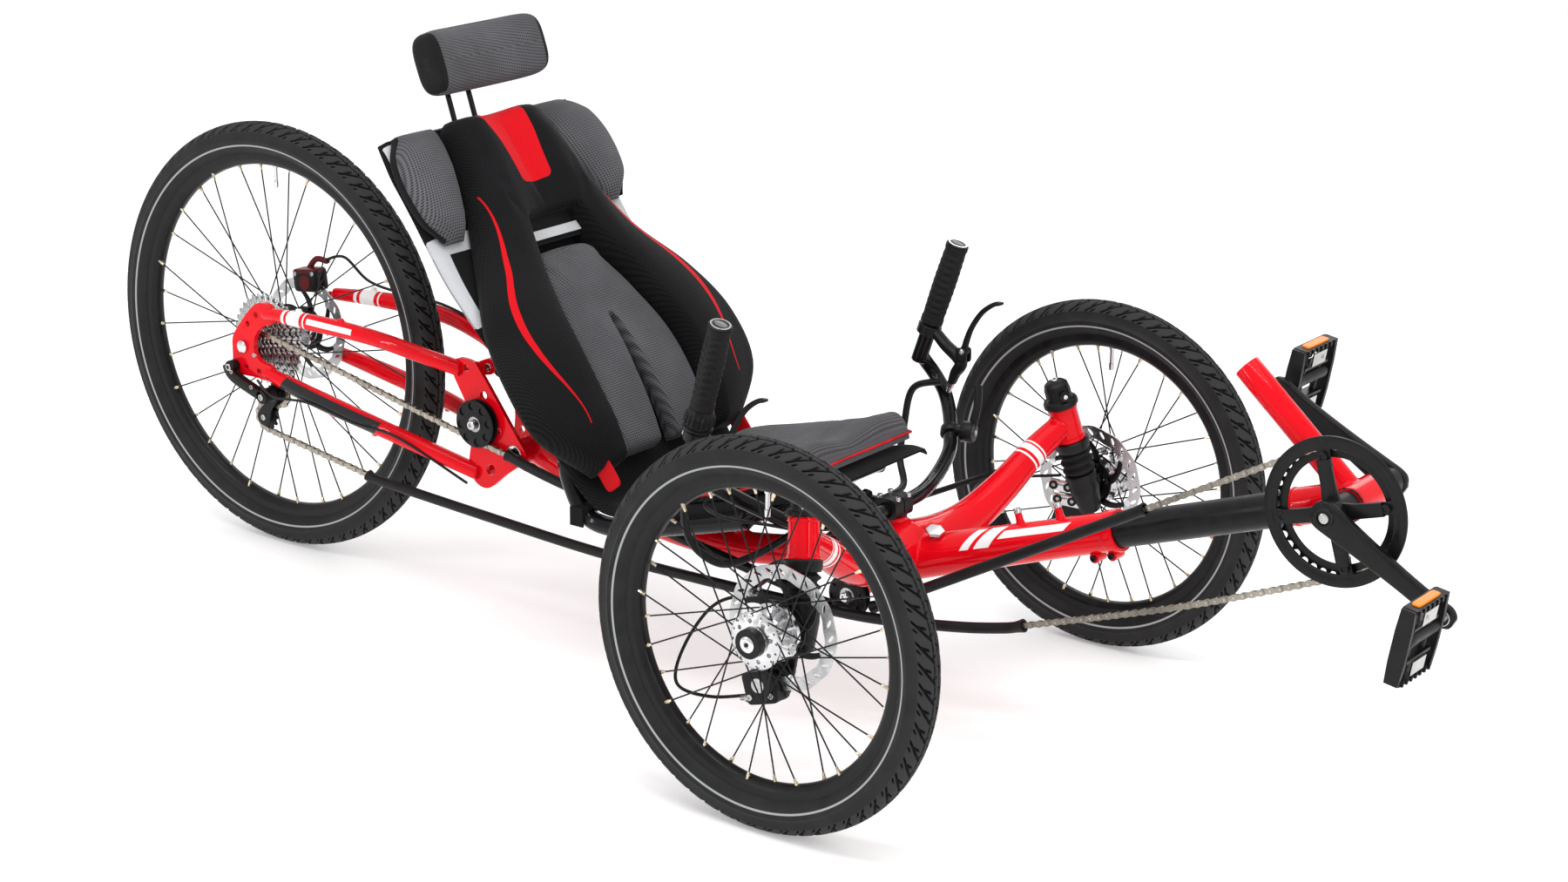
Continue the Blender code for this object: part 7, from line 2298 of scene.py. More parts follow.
        lean = math.atan2(JOCKEY_LOWER[2] - JOCKEY_UPPER[2], JOCKEY_LOWER[0] - JOCKEY_UPPER[0])
        cage = Piece("derailleur_cage_plates", "derailleur_cage", ("derailleur_cage",), "metal_black")
        for y, thick, big in ((cage_out + 0.0002, 0.0022, 0.0125), (CHAIN_Y + 0.0052, 0.0018, 0.0115)):
            upper = arc(JOCKEY_UPPER, big, lean + math.pi / 2, lean + 3 * math.pi / 2, 14)
            waist = (JOCKEY_UPPER + JOCKEY_LOWER) / 2
            across = heading(lean + math.pi / 2)
            lower_arc = arc(JOCKEY_LOWER, big, lean - math.pi / 2, lean + math.pi / 2, 14)
            loop = np.concatenate([upper, [waist - across * 0.007], lower_arc, [waist + across * 0.007]])
            cage.add(plate(loop, y, y + thick), SATIN_BLACK)
        for p in (JOCKEY_UPPER, JOCKEY_LOWER):
            cage.add(rod(vec(p[0], cage_out + 0.001, p[2]), vec(p[0], CHAIN_Y + 0.0064, p[2]), 0.003, 16),
                     STEEL)
            cage.add(bolt(vec(p[0], CHAIN_Y + 0.0066, p[2]), Y_AXIS, 0.0042, 0.0018), STEEL)
        cage.add(bolt(vec(JOCKEY_LOWER[0], cage_out + 0.0004, JOCKEY_LOWER[2]), -Y_AXIS, 0.0045, 0.0018),
                 STEEL)
        cage.build()
        for word, p in (("upper", JOCKEY_UPPER), ("lower", JOCKEY_LOWER)):
            wheel = Piece("jockey_wheel_" + word, "jockey_" + word, ("jockey_" + word,), "plastic_black")
            wheel.add(toothed_ring(p, self.jockey - 0.0026, 11, 0.0058, 0.0018), PLASTIC)
            wheel.add(lathe(washer(0.0034, 0.006, -0.003, 0.003), p, sides=32), STEEL)
            wheel.build()


# Front suspension


@dataclass
class FrontCorner:
    """One kingpin with its cap and bellows, the sliding upright, the caliper and the tie rod."""

    side: Side

    def tie_points(self) -> tuple[Array, Array]:
        """Centres of the tie rod's inner and outer eyes.

        Returns:
            The inner and the outer centre.
        """
        s = self.side.value
        rise, low = kingpin(self.side)
        inner = front(STEER_X - 0.062, s * 0.02, 0.0095)
        return inner, low - rise * ARM_DROP + vec(-0.062, s * 0.019, -0.0386)

    def build(self) -> None:
        """Top to bottom."""
        self.pin()
        self.bellows()
        self.upright()
        self.caliper()
        self.tie_rod()

    def pin(self) -> None:
        """Cap with its knob and bolt, collar, and the steering arm."""
        s, word = self.side.value, self.side.word
        rise, low = kingpin(self.side)
        top = HEAD_LENGTH + 0.0003
        piece = Piece("kingpin_cap_" + word, "kingpin_" + word, ("kingpin_" + word,), "metal_black")
        cap = [(0, top), (0.0225, top), (0.0238, top + 0.0012), (0.0238, top + 0.006), (0.0225, top + 0.0085),
               (0.0185, top + 0.0105), (0.0172, top + 0.013), (0.0172, top + 0.027), (0.016, top + 0.032),
               (0.012, top + 0.0355), (0.008, top + 0.0368), (0, top + 0.037)]
        piece.add(lathe(cap, low, rise, 64), SATIN_BLACK)
        piece.add(bolt(low + rise * (top + 0.0366), rise, 0.005, 0.003), STEEL)
        t = full_turn(14)
        helper = unit(np.cross(rise, Y_AXIS))
        beside = np.cross(rise, helper)
        for a in t:
            way = math.cos(a) * helper + math.sin(a) * beside
            piece.add(rod(low + rise * (top + 0.014) + way * 0.0168,
                          low + rise * (top + 0.0262) + way * 0.0168, 0.0011, 8), SATIN_BLACK)
        knob = unit(vec(0.75, -0.5 * s, 0.0))
        piece.add(lathe([(0, 0.012), (0.006, 0.012), (0.006, 0.02), (0.0072, 0.0205), (0.0072, 0.0235),
                         (0.004, 0.0245), (0, 0.0245)], low + rise * (top + 0.019), knob, 28), SATIN_BLACK)
        piece.add(bolt(low + rise * (top + 0.019) + knob * 0.024, knob, 0.003, 0.0016), SILVER)
        collar = [(0, -0.0003), (0.0228, -0.0003), (0.024, -0.0016), (0.024, -0.01), (0.0222, -0.015),
                  (0.018, -0.0158), (0, -0.0158)]
        piece.add(lathe(collar, low, rise, 56), SATIN_BLACK)
        _, outer = self.tie_points()
        root, eye = low - rise * ARM_DROP, outer + Z_AXIS * 0.0095
        knee = root + vec(-0.036, s * 0.006, -0.005)
        line = smooth([root + vec(-0.008, 0, -0.002), knee, eye], 10)
        piece.add(ribbon(line, 0.0034, np.linspace(0.01, 0.0085, len(line)), Z_AXIS, 0.9), SATIN_BLACK)
        piece.add(rod(eye - Z_AXIS * 0.0037, eye + Z_AXIS * 0.0037, 0.01, 32, 0.0008), SATIN_BLACK)
        piece.add(bolt(eye + Z_AXIS * 0.0035, Z_AXIS, 0.0052, 0.0032), STEEL)
        piece.add(rod(eye, outer - Z_AXIS * 0.0045, 0.0038, 20), STEEL)
        piece.add(lathe(washer(0, 0.0066, -0.0085, -0.0045), outer, Z_AXIS, 6), STEEL)
        piece.build()

    def bellows(self) -> None:
        """Folds: the radius swings between a root and a crest three times."""
        word = self.side.word
        rise, low = kingpin(self.side)
        span, top = 0.0354, -0.0161
        a = np.linspace(0, 1, 49)
        r = 0.0199 + 0.0026 * -np.cos(2 * np.pi * 3 * a)
        folds = [(float(q), float(top - span * k)) for q, k in zip(r, a)]
        profile = [(0.0116, top), *folds, (0.0116, top - span)]
        made = Piece("bellows_rubber_" + word, "kingpin_" + word, ("bellows_" + word,),
                     "rubber").add(lathe(profile, low, rise, 56), RUBBER).build()
        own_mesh(made)

    def upright(self) -> None:
        """Machined block on the pin, stub axle, caliper ear and two silver links with bushed holes."""
        s, word = self.side.value, self.side.word
        rise, low = kingpin(self.side)
        top, bottom = -0.0518, -0.1118
        face = DISC_Y
        name = "upright_" + word
        barrel = lathe([(0, top), (0.0205, top), (0.0215, top - 0.0012), (0.0215, top - 0.025),
                        (0.0206, top - 0.03), (0.0172, top - 0.05), (0.015, bottom + 0.001), (0.014, bottom),
                        (0, bottom)], low, rise, 48)
        shapes = [barrel, rod(front(0, s * (face - 0.034), 0), front(0, s * (face - 0.006), 0), 0.017, 36)]
        near, far = sorted((s * (face - 0.018), s * (face - 0.011)))
        ear = smooth([front(0.014, 0, -0.012), front(0.01, 0, -0.05), front(-0.004, 0, -0.096),
                      front(-0.044, 0, -0.09), front(-0.05, 0, -0.06), front(-0.016, 0, 0.01),
                      front(0.008, 0, 0.014), front(0.014, 0, -0.012)], 6)[:-1]
        shapes.append(plate(ear, near, far))
        welded(name + "_block", name, (name,), shapes, SATIN_BLACK, "metal_black", voxel=0.0014, rounds=3)
        piece = Piece(name + "_fittings", name, (), "steel")
        piece.add(rod(front(0, s * (face - 0.01), 0), front(0, s * (face + 0.001), 0), 0.0115, 28), STEEL)
        piece.add(rod(front(0, s * (face - 0.01), 0), front(0, s * (HALF_TRACK + 0.03), 0), 0.0078, 28),
                  STEEL)
        for z in (0.0, -0.021):
            middle = low + rise * ((FRONT_Z + z - low[2]) / rise[2])
            start, end = middle + vec(-0.006, -s * 0.012, 0), middle + vec(-0.04, -s * 0.024, 0.004)
            line = start + np.linspace(0, 1, 6)[:, None] * (end - start)
            piece.add(ribbon(line, 0.0032, 0.0082, Y_AXIS, 0.5), SILVER)
            aim = unit(end - start)
            out = unit(np.cross(aim, Z_AXIS)) * -s
            for share in (0.3, 0.86):
                spot = start + (end - start) * share
                piece.add(lathe([(0.0026, -0.0036), (0.0064, -0.0036), (0.0066, 0.0), (0.0064, 0.0036),
                                 (0.0026, 0.0036)], spot, out, 28), SATIN_BLACK)
                piece.add(lathe(washer(0, 0.0025, -0.0033, 0.0033), spot, out, 20), STEEL)
        outward = unit(vec(0.3, s, 0.0))
        piece.add(bolt(low + rise * (top - 0.016) + outward * 0.0205, outward, 0.0058, 0.0036), SILVER)
        piece.add(bolt(low + rise * (bottom + 0.0004), -rise, 0.007, 0.0036), STEEL)
        piece.build()

    def caliper(self) -> None:
        """Two-part caliper over the disc with its pad slot, bolts and the hose banjo."""
        s, word = self.side.value, self.side.word
        face = DISC_Y
        centre = front(-0.024, s * face, -0.08)
        turn = turn_about(Y_AXIS, -17)
        name = "caliper_" + word
        piece = Piece(name + "_body", "upright_" + word, (name,), "metal_black")
        ahead, up = turn @ X_AXIS, turn @ Z_AXIS
        inner = 0.0107 - 0.0022
        piece.add(rounded_box(centre - Y_AXIS * s * 0.0062, (0.049, inner - 0.0002, 0.042), turn, 0.25),
                  SATIN_BLACK)
        piece.add(rounded_box(centre + Y_AXIS * s * 0.009, (0.048, 0.013, 0.041), turn, 0.25), SATIN_BLACK)
        piece.add(rounded_box(centre - up * 0.0135, (0.046, 0.03, 0.013), turn, 0.25), SATIN_BLACK)
        for along in (-0.0165, 0.0165):
            piece.add(bolt(centre + ahead * along - up * 0.01 + Y_AXIS * s * 0.0152, Y_AXIS * s, 0.0042,
                           0.0024), STEEL)
        piece.add(lathe([(0, 0), (0.0098, 0), (0.0092, 0.0016), (0.005, 0.0018), (0.0046, 0.0006),
                         (0, 0.0006)], centre + up * 0.004 + Y_AXIS * s * 0.0152, Y_AXIS * s, 32), BRUSHED)
        piece.add(lathe([(0, 0), (0.0056, 0), (0.0056, 0.005), (0.0034, 0.0056), (0.003, 0.014), (0, 0.014)],
                        centre - ahead * 0.022 - up * 0.012 + Y_AXIS * s * 0.009, -ahead, 20), STEEL)
        piece.build()

    def tie_rod(self) -> None:
        """Rod with jam nuts and two eyes."""
        inner, outer = self.tie_points()
        aim = unit(outer - inner)
        name = "tie_rod_" + self.side.word
        piece = Piece(name + "_bar", name, (name,), "metal_black")
        piece.add(rod(inner + aim * 0.013, outer - aim * 0.013, 0.004, 24, 0.0006), SATIN_BLACK)
        for place, way in ((inner, aim), (outer, -aim)):
            piece.add(lathe([(0.006, -0.0038), (0.0086, -0.0038), (0.0092, 0.0), (0.0086, 0.0038),
                             (0.006, 0.0038)], place, Z_AXIS, 36), STEEL)
            piece.add(rod(place + way * 0.0078, place + way * 0.02, 0.0038, 20), STEEL)
            piece.add(lathe(washer(0, 0.0058, 0.015, 0.0185), place, way, 6), STEEL)
        piece.build()


# Steering


@dataclass
class Steering:
    """Under-seat handlebar with its stem, grips and controls."""

    route: tuple[tuple[float, float, float], ...] = ((-0.084, 0.0, 0.0405), (-0.084, 0.024, 0.0405),
                                                     (-0.088, 0.072, 0.0415), (-0.101, 0.124, 0.0475),
                                                     (-0.119, 0.18, 0.0615), (-0.135, 0.208, 0.078),
                                                     (-0.156, 0.236, 0.098), (-0.18, 0.259, 0.118),
                                                     (-0.203, 0.269, 0.137), (-0.214, 0.261, 0.156),
                                                     (-0.2145, 0.252, 0.168))
    grip_length: float = 0.12

    def axis(self, side: Side) -> tuple[Array, Array, float]:
        """Foot, upward direction and length of a grip tube.

        Args:
            side: The left or the right.

        Returns:
            The three of them.
        """
        foot, head = front(-0.219, 0.251, 0.157), front(-0.167, 0.263, 0.329)
        flip = vec(1, side.value, 1)
        return foot * flip, unit(head - foot) * flip, float(np.linalg.norm(head - foot))

    def build(self) -> None:
        """Bar, stem, grips and controls."""
        self.bar()
        self.stem()
        for side in Side:
            self.grip(side)
            self.lever(side)
        self.shifter()
        self.thumb()

    def bar(self) -> None:
        """The bent bar, its grip tubes and the lever brackets."""
        half = np.array([front(*p) for p in self.route])
        whole = np.concatenate([half[::-1] * vec(1, -1, 1), half[1:]])
        line = smooth(whole, 8)
        shapes = [tube(line, 0.01, 28)]
        for side in Side:
            foot, aim, length = self.axis(side)
            shapes.append(rod(foot, foot + aim * (length - 0.122), 0.0111, 28, 0.001))
        welded("handlebar_tube", "steering", ("handlebar",), shapes, GLOSS_BLACK, "metal_black", voxel=0.0018,
               rounds=3)
        piece = Piece("handlebar_brackets", "steering", (), "metal_black")
        end = THUMB_POD - THUMB_AXIS * 0.027
        piece.add(rod(end, THUMB_POD - THUMB_AXIS * 0.01, 0.007, 20), SATIN_BLACK)
        piece.add(lathe([(0.0102, -0.006), (0.0135, -0.006), (0.014, -0.005), (0.014, 0.005), (0.0135, 0.006),
                         (0.0102, 0.006)], line[np.argmin(np.linalg.norm(line - end, axis=1))],
                        unit(vec(-0.45, 0.75, 0.5)), 32), SATIN_BLACK)
        for side, pin in LEVER_PIN.items():
            foot, aim, length = self.axis(side)
            clamp = foot + aim * (length - self.grip_length - 0.01 - (0.03 if side is Side.RIGHT else 0.0))
            piece.add(lathe([(0.0112, -0.0068), (0.0158, -0.0068), (0.0165, -0.006), (0.0165, 0.006),
                             (0.0158, 0.0068), (0.0112, 0.0068)], clamp, aim, 40), SATIN_BLACK)
            toward = unit(vec(pin[0] - clamp[0], pin[1] - clamp[1], 0))
            start = clamp + toward * 0.0115 - Z_AXIS * 0.002
            low = pin + vec(-0.006, 0, -0.016)
            neck = smooth([start, start + (low - start) * 0.4 - Z_AXIS * 0.0015, low,
                           pin + vec(-0.014, 0, -0.034), pin + vec(-0.019, 0, -0.048)], 8)
            piece.add(ribbon(neck, 0.007, smooth(vec(0.0074, 0.0084, 0.009, 0.0075, 0.0052), 8), Y_AXIS, 0.8),
                      SATIN_BLACK)
            for y in (-0.0058, 0.0058):
                cheek = pin + vec(-0.002, y, -0.006)
                piece.add(rounded_box(cheek, (0.0175, 0.0034, 0.0215), None, 0.45, 8), SATIN_BLACK)
                piece.add(bolt(pin + Y_AXIS * math.copysign(0.0074, y), Y_AXIS * math.copysign(1, y), 0.004,
                               0.0014), SILVER)
            piece.add(rod(pin - Y_AXIS * 0.0072, pin + Y_AXIS * 0.0072, 0.0025, 16), STEEL)
            barrel = pin + vec(-0.019, 0, -0.046)
            piece.add(lathe([(0, 0), (0.0052, 0), (0.0052, 0.009), (0.0038, 0.01), (0.0036, 0.017),
                             (0, 0.017)], barrel, unit(vec(-0.35, 0, -1)), 20), SILVER)
            piece.add(bolt(clamp - toward * 0.016, -toward, 0.0034, 0.0024), SILVER)
        piece.build()

    def stem(self) -> None:
        """Two-part clamp with bolts over the post, and the drop arm that works the tie rods."""
        centre = front(STEER_X, 0, 0.0405)
        low = 0.0405 - 0.01 - 0.0006
        piece = Piece("stem_clamp", "steering", ("handlebar_stem",), "metal_black")
        profile = []
        for a in np.radians(np.arange(0, 360, 12)):
            c, s = math.cos(a), math.sin(a)
            profile.append(centre + vec(0.0168 * math.copysign(abs(c) ** 0.5, c), 0,
                                        0.002 + 0.0142 * math.copysign(abs(s) ** 0.5, s)))
        loop = np.array(profile)
        hole = np.array([centre + 0.0108 * heading(a) for a in np.radians(np.arange(0, 360, 12))])
        for low_y, high_y in ((-0.02, -0.001), (0.001, 0.02)):
            wide = np.stack([hole + Y_AXIS * low_y, loop + Y_AXIS * low_y, loop + Y_AXIS * high_y,
                             hole + Y_AXIS * high_y])
            piece.add(skin(wide, wrap_rows=True), SATIN_BLACK)
        for x in (-0.014, 0.014):
            for y in (-0.012, 0.012):
                piece.add(bolt(centre + vec(x, y, 0.0148), Z_AXIS, 0.0036, 0.0036), SILVER)
        piece.add(rod(front(STEER_X, 0, -0.019), front(STEER_X, 0, low), 0.009, 28), STEEL)
        back = STEER_X - 0.062
        outline = smooth([front(STEER_X + 0.012, -0.012, 0), front(STEER_X + 0.016, 0, 0),
                          front(STEER_X + 0.012, 0.012, 0), front(STEER_X - 0.02, 0.019, 0),
                          front(back + 0.006, 0.0285, 0), front(back - 0.009, 0.024, 0),
                          front(back - 0.007, 0, 0), front(back - 0.009, -0.024, 0),
                          front(back + 0.006, -0.0285, 0), front(STEER_X - 0.02, -0.019, 0),
                          front(STEER_X + 0.012, -0.012, 0)], 6)[:-1]
        flat = outline * vec(1, 1, 0)
        piece.add(skin(np.stack([flat + Z_AXIS * (FRONT_Z + low), flat + Z_AXIS * (FRONT_Z + low + 0.006)]),
                       caps="face"), SATIN_BLACK)
        for side in Side:
            inner, _ = FrontCorner(side).tie_points()
            piece.add(rod(inner + Z_AXIS * 0.0208, inner - Z_AXIS * 0.005, 0.0038, 20), STEEL)
            piece.add(lathe([(0, 0.0088), (0.007, 0.0088), (0.0074, 0.01), (0.0074, 0.0208), (0, 0.0208)],
                            inner, Z_AXIS, 28), STEEL)
            piece.add(lathe(washer(0, 0.007, -0.008, -0.0048), inner, Z_AXIS, 6), STEEL)
        piece.build()

    def grip(self, side: Side) -> None:
        """Rubber grip: its radius is a slow swell with narrow rings and eight flutes between them.

        Args:
            side: The left or the right.
        """
        foot, aim, length = self.axis(side)
        start = length - self.grip_length
        a = np.linspace(0, self.grip_length - 0.003, 220)
        t = full_turn(72)
        share = a / self.grip_length
        base = 0.0148 + 0.0009 * np.sin(np.pi * share) ** 2
        rings = np.clip(np.cos(2 * np.pi * a / 0.01) * 2.6, -1, 1) * 0.0008
        zone = np.clip(np.minimum((share - 0.12) / 0.02, (0.9 - share) / 0.02), 0, 1)
        flute = (np.clip(np.cos(6 * t) * 3 + 1.4, -1, 1) * 0.5 + 0.5)[None, :]
        collar = 0.0009 * ((share < 0.07) | (share > 0.93))
        r = (base + collar)[:, None] + (rings * zone)[:, None] * flute
        r[0] -= 0.001
        helper = unit(np.cross(Y_AXIS, aim))
        other = np.cross(aim, helper)
        ring = np.cos(t)[:, None] * helper + np.sin(t)[:, None] * other
        outer = foot + (start + a)[:, None, None] * aim + r[..., None] * ring
        ends = vec(start + self.grip_length - 0.0055, start)
        inner = foot + ends[:, None, None] * aim + 0.0116 * ring[None]
        piece = Piece("grip_rubber_" + side.word, "steering", ("grip_" + side.word,), "rubber")
        piece.add(skin(np.concatenate([outer, inner]), wrap_rows=True), RUBBER)
        cap = [(0, length - 0.0052), (0.0108, length - 0.0052), (0.0108, length - 0.0032),
               (0.0152, length - 0.0031), (0.0156, length - 0.0016), (0.0135, length - 0.0001),
               (0, length - 0.0001)]
        piece.add(lathe(cap, foot, aim, 48), PLASTIC)
        piece.build()
        plug = Piece("grip_plug_" + side.word, "steering", (), "plastic_black")
        s = full_turn(32)
        loop = np.cos(s)[:, None] * helper * 0.0095 + np.sin(s)[:, None] * other * 0.0062
        at = foot + aim * (length + 0.00025)
        plug.add(lathe([(0.0112, length - 0.0008), (0.0134, length - 0.0008), (0.0134, length + 0.0003),
                        (0.0112, length + 0.0003)], foot, aim, 48), SILVER)
        plug.add(skin(np.stack([at + loop - aim * 0.0008, at + loop, at + loop * 0.9 + aim * 0.0004])),
                 GREY_PLASTIC)
        plug.build()

    def lever(self, side: Side) -> None:
        """A hooked blade with a rounded edge, thickened round its pin.

        Args:
            side: The left or the right.
        """
        pin = LEVER_PIN[side]
        word = side.word
        piece = Piece("lever_blade_" + word, "brake_lever_" + word, ("brake_lever_" + word,), "metal_black")
        line = smooth([pin + vec(*p) for p in ((-0.003, 0, -0.007), (0.003, 0, 0.016), (0.011, 0, 0.036),
                                               (0.026, 0, 0.058), (0.044, 0, 0.072), (0.057, 0, 0.0755))], 9)
        share = np.linspace(0, 1, len(line))
        half_width = np.interp(share, [0, 0.2, 1], [0.0031, 0.004, 0.0046])
        half_height = np.interp(share, [0, 0.3, 0.9, 1], [0.0052, 0.0042, 0.003, 0.0018])
        piece.add(ribbon(line, half_width, half_height, Y_AXIS, 0.9), SATIN_BLACK)
        piece.add(lathe(washer(0.0031, 0.0062, -0.0033, 0.0033), pin, Y_AXIS, 28), SATIN_BLACK)
        piece.build(smooth_deg=50)

    def shifter(self) -> None:
        """Twist ring with finger ridges: r + 0.8 mm of rounded square wave round it."""
        foot, aim, length = self.axis(Side.RIGHT)
        top = length - self.grip_length - 0.0003
        a = np.array([0, 0.0006, 0.004, 0.0046, 0.0075, 0.0085, 0.02, 0.0225, 0.0285, 0.0296])
        base = np.array([0.0186, 0.0196, 0.0196, 0.0176, 0.0176, 0.019, 0.0184, 0.0166, 0.016, 0.0152])
        ridge = np.array([0, 0, 0, 0, 0, 1, 1, 0.3, 0, 0]) * 0.0012
        t = full_turn(144)
        helper = unit(np.cross(Y_AXIS, aim))
        other = np.cross(aim, helper)
        ring = np.cos(t)[:, None] * helper + np.sin(t)[:, None] * other
        r = base[:, None] + ridge[:, None] * np.tanh(2.5 * np.cos(18 * t))[None]
        outer = foot + (top - 0.03 + a)[:, None, None] * aim + r[..., None] * ring
        inner = foot + vec(top, top - 0.03)[:, None, None] * aim + 0.0117 * ring[None]
        piece = Piece("shifter_ring", "twist_shifter", ("twist_shifter",), "plastic_black")
        piece.add(skin(np.concatenate([outer, inner]), wrap_rows=True), PLASTIC)
        piece.build()

    def thumb(self) -> None:
        """Thumb lever: a drum with a curved blade."""
        pod, axis = THUMB_POD, unit(THUMB_AXIS)
        piece = Piece("thumb_lever_drum", "thumb_lever", ("thumb_lever",), "plastic_black")
        piece.add(lathe([(0, -0.0098), (0.0138, -0.0098), (0.0145, -0.0088), (0.0145, 0.0045),
                         (0.0125, 0.0075), (0, 0.008)], pod, axis, 48), SATIN_BLACK)
        piece.add(bolt(pod + axis * 0.0076, axis, 0.004, 0.0018), SILVER)
        line = smooth([pod + vec(0.002, 0.004, 0.004), pod + vec(0.004, 0.012, 0.036),
                       pod + vec(0.0, 0.018, 0.062)], 10)
        piece.add(ribbon(line, np.linspace(0.005, 0.0068, len(line)), np.linspace(0.0036, 0.0026, len(line)),
                         X_AXIS, 0.9), PLASTIC)
        piece.build(smooth_deg=50)


# Seat


@dataclass(frozen=True)
class Patch:
    """A flat piece sewn on both halves of a cloth: between two distances along it, and between an inner and
    an outer edge that both run straight from its lower to its upper end."""

    low: float
    high: float
    inner: tuple[float, float]
    outer: tuple[float, float]
    colour: tuple[float, float, float]
    corner: float = 0.004


@dataclass(frozen=True)
class Sewn(Fabric):
    """Spacer mesh with plain patches and a curved insert, laid out on the cloth's UV in metres.

    A patch's edge is where the distance from its shrunken outline equals the corner's radius. The insert
    is where the distance from its middle line, read from a curve along the cloth, is under half its width.
    """

    patches: tuple[Patch, ...] = ()
    insert: tuple[tuple[float, float, float], ...] = ()
    insert_colour: tuple[float, float, float] = (0.62, 0.004, 0.01)

    def read(self, g: Graph, along: object, column: int) -> bpy.types.NodeSocket:
        """A column of the insert's table, as a curve of the distance along the cloth.

        Args:
            g: The material's graph.
            along: Distance along the cloth.
            column: Which column.

        Returns:
            The column's value there.
        """
        rows = np.array(self.insert)
        node = g.add("ShaderNodeFloatCurve")
        curve = node.mapping.curves[0]
        x = (rows[:, 0] - rows[0, 0]) / (rows[-1, 0] - rows[0, 0])
        y = rows[:, column] / rows[:, column].max()
        for k, (a, b) in enumerate(zip(x, y)):
            point = curve.points[k] if k < 2 else curve.points.new(a, b)
            point.location = (a, b)
        node.mapping.update()
        g.feed(node.inputs["Value"], g.step(along, rows[0, 0], rows[-1, 0]))
        return g.math("MULTIPLY", node.outputs[0], float(rows[:, column].max()))

    def dress(self, g: Graph, shader: bpy.types.Node) -> None:
        """The mesh of Fabric, with each sewn piece's colour over it and its relief kept under.

        Args:
            g: The material's graph.
            shader: The Principled shader.
        """
        super().dress(g, shader)
        u, v, _ = g.parts(g.coordinates("UV"))
        away = g.math("ABSOLUTE", u)
        colour = shader.inputs["Base Color"].links[0].from_socket
        for patch in self.patches:
            r = patch.corner
            inner = g.step(v, patch.low, patch.high, patch.inner[0] + r, patch.inner[1] + r)
            outer = g.step(v, patch.low, patch.high, patch.outer[0] - r, patch.outer[1] - r)
            side = g.math("MAXIMUM", g.math("SUBTRACT", away, outer), g.math("SUBTRACT", inner, away))
            end = g.math("MAXIMUM", g.math("SUBTRACT", patch.low + r, v),
                         g.math("SUBTRACT", v, patch.high - r))
            far = g.add("ShaderNodeVectorMath", operation="LENGTH")
            joined = g.add("ShaderNodeCombineXYZ")
            g.feed(joined.inputs[0], g.math("MAXIMUM", side, 0.0))
            g.feed(joined.inputs[1], g.math("MAXIMUM", end, 0.0))
            g.feed(far.inputs[0], joined.outputs[0])
            colour = g.mix(g.step(far.outputs["Value"], r + 0.0002, r - 0.0002), colour, (*patch.colour, 1))
        if self.insert:
            off = g.math("ABSOLUTE", g.math("SUBTRACT", away, self.read(g, v, 1)))
            half = self.read(g, v, 2)
            inside = g.step(g.math("SUBTRACT", off, half), 0.0002, -0.0002)
            ends = g.math("MULTIPLY", g.math("GREATER_THAN", v, self.insert[0][0]),
                          g.math("LESS_THAN", v, self.insert[-1][0]))
            colour = g.mix(g.math("MULTIPLY", inside, ends), colour, (*self.insert_colour, 1))
        g.feed(shader.inputs["Base Color"], colour)


@dataclass(frozen=True)
class TwoTone(Fabric):
    """Cloth of one colour where it faces one way inside a width, and of another everywhere else."""

    other: tuple[float, float, float] = (0.0135, 0.0135, 0.0145)
    origin: tuple[float, float, float] = (0, 0, 0)
    facing: tuple[float, float, float] = (1, 0, 0)
    near: float = 0.0
    half_width: float = 0.1

    def dress(self, g: Graph, shader: bpy.types.Node) -> None:
        """The mesh of Fabric, with the second colour outside a seam line.

        Args:
            g: The material's graph.
            shader: The Principled shader.
        """
        super().dress(g, shader)
        where = g.coordinates()
        inside = g.step(g.along(where, vec(*self.origin), vec(*self.facing)), self.near - 0.0004,
                        self.near + 0.0004)
        wide = g.math("ABSOLUTE", g.along(where, vec(*self.origin), Y_AXIS))
        inside = g.math("MULTIPLY", inside, g.step(wide, self.half_width + 0.0004, self.half_width - 0.0004))
        link = shader.inputs["Base Color"].links[0].from_socket
        scaled = g.add("ShaderNodeMix", data_type="RGBA", blend_type="MULTIPLY")
        ratio = tuple(min(1.0, o / max(c, 1e-5)) for o, c in zip(self.other, self.colour)) + (1,)
        g.feed(scaled.inputs[0], g.math("SUBTRACT", 1.0, inside))
        g.feed(scaled.inputs[6], link)
        g.feed(scaled.inputs[7], ratio)
        g.feed(shader.inputs["Base Color"], scaled.outputs[2])


def quarter_roll(distance: Array, radius: float) -> Array:
    """Height share of a rolled edge: a quarter ellipse over a radius in from the edge."""
    inward = np.clip(distance / radius, 0, 1)
    return np.sqrt(np.clip(1 - (1 - inward) ** 2, 0, 1))


def both_halves(half: Array) -> Array:
    """An outline of (y, s) from its foot to the middle, carried on down the other side."""
    return np.concatenate([half * vec(-1, 1), half[-2::-1]])


def corner(y: float, s: float, radius: float, count: int) -> Array:
    """A quarter circle of an outline of (y, s), from its side round to its top, without its first point."""
    a = np.linspace(0, np.pi / 2, count)[1:]
    return np.stack([y + radius * np.cos(a), s + radius * np.sin(a)], -1)


def crossing(y: float, s: float, count: int) -> Array:
    """A straight top of an outline of (y, s), in to the middle, without its first point."""
    a = np.linspace(y, 0, count)[1:]
    return np.stack([a, np.full_like(a, s)], -1)


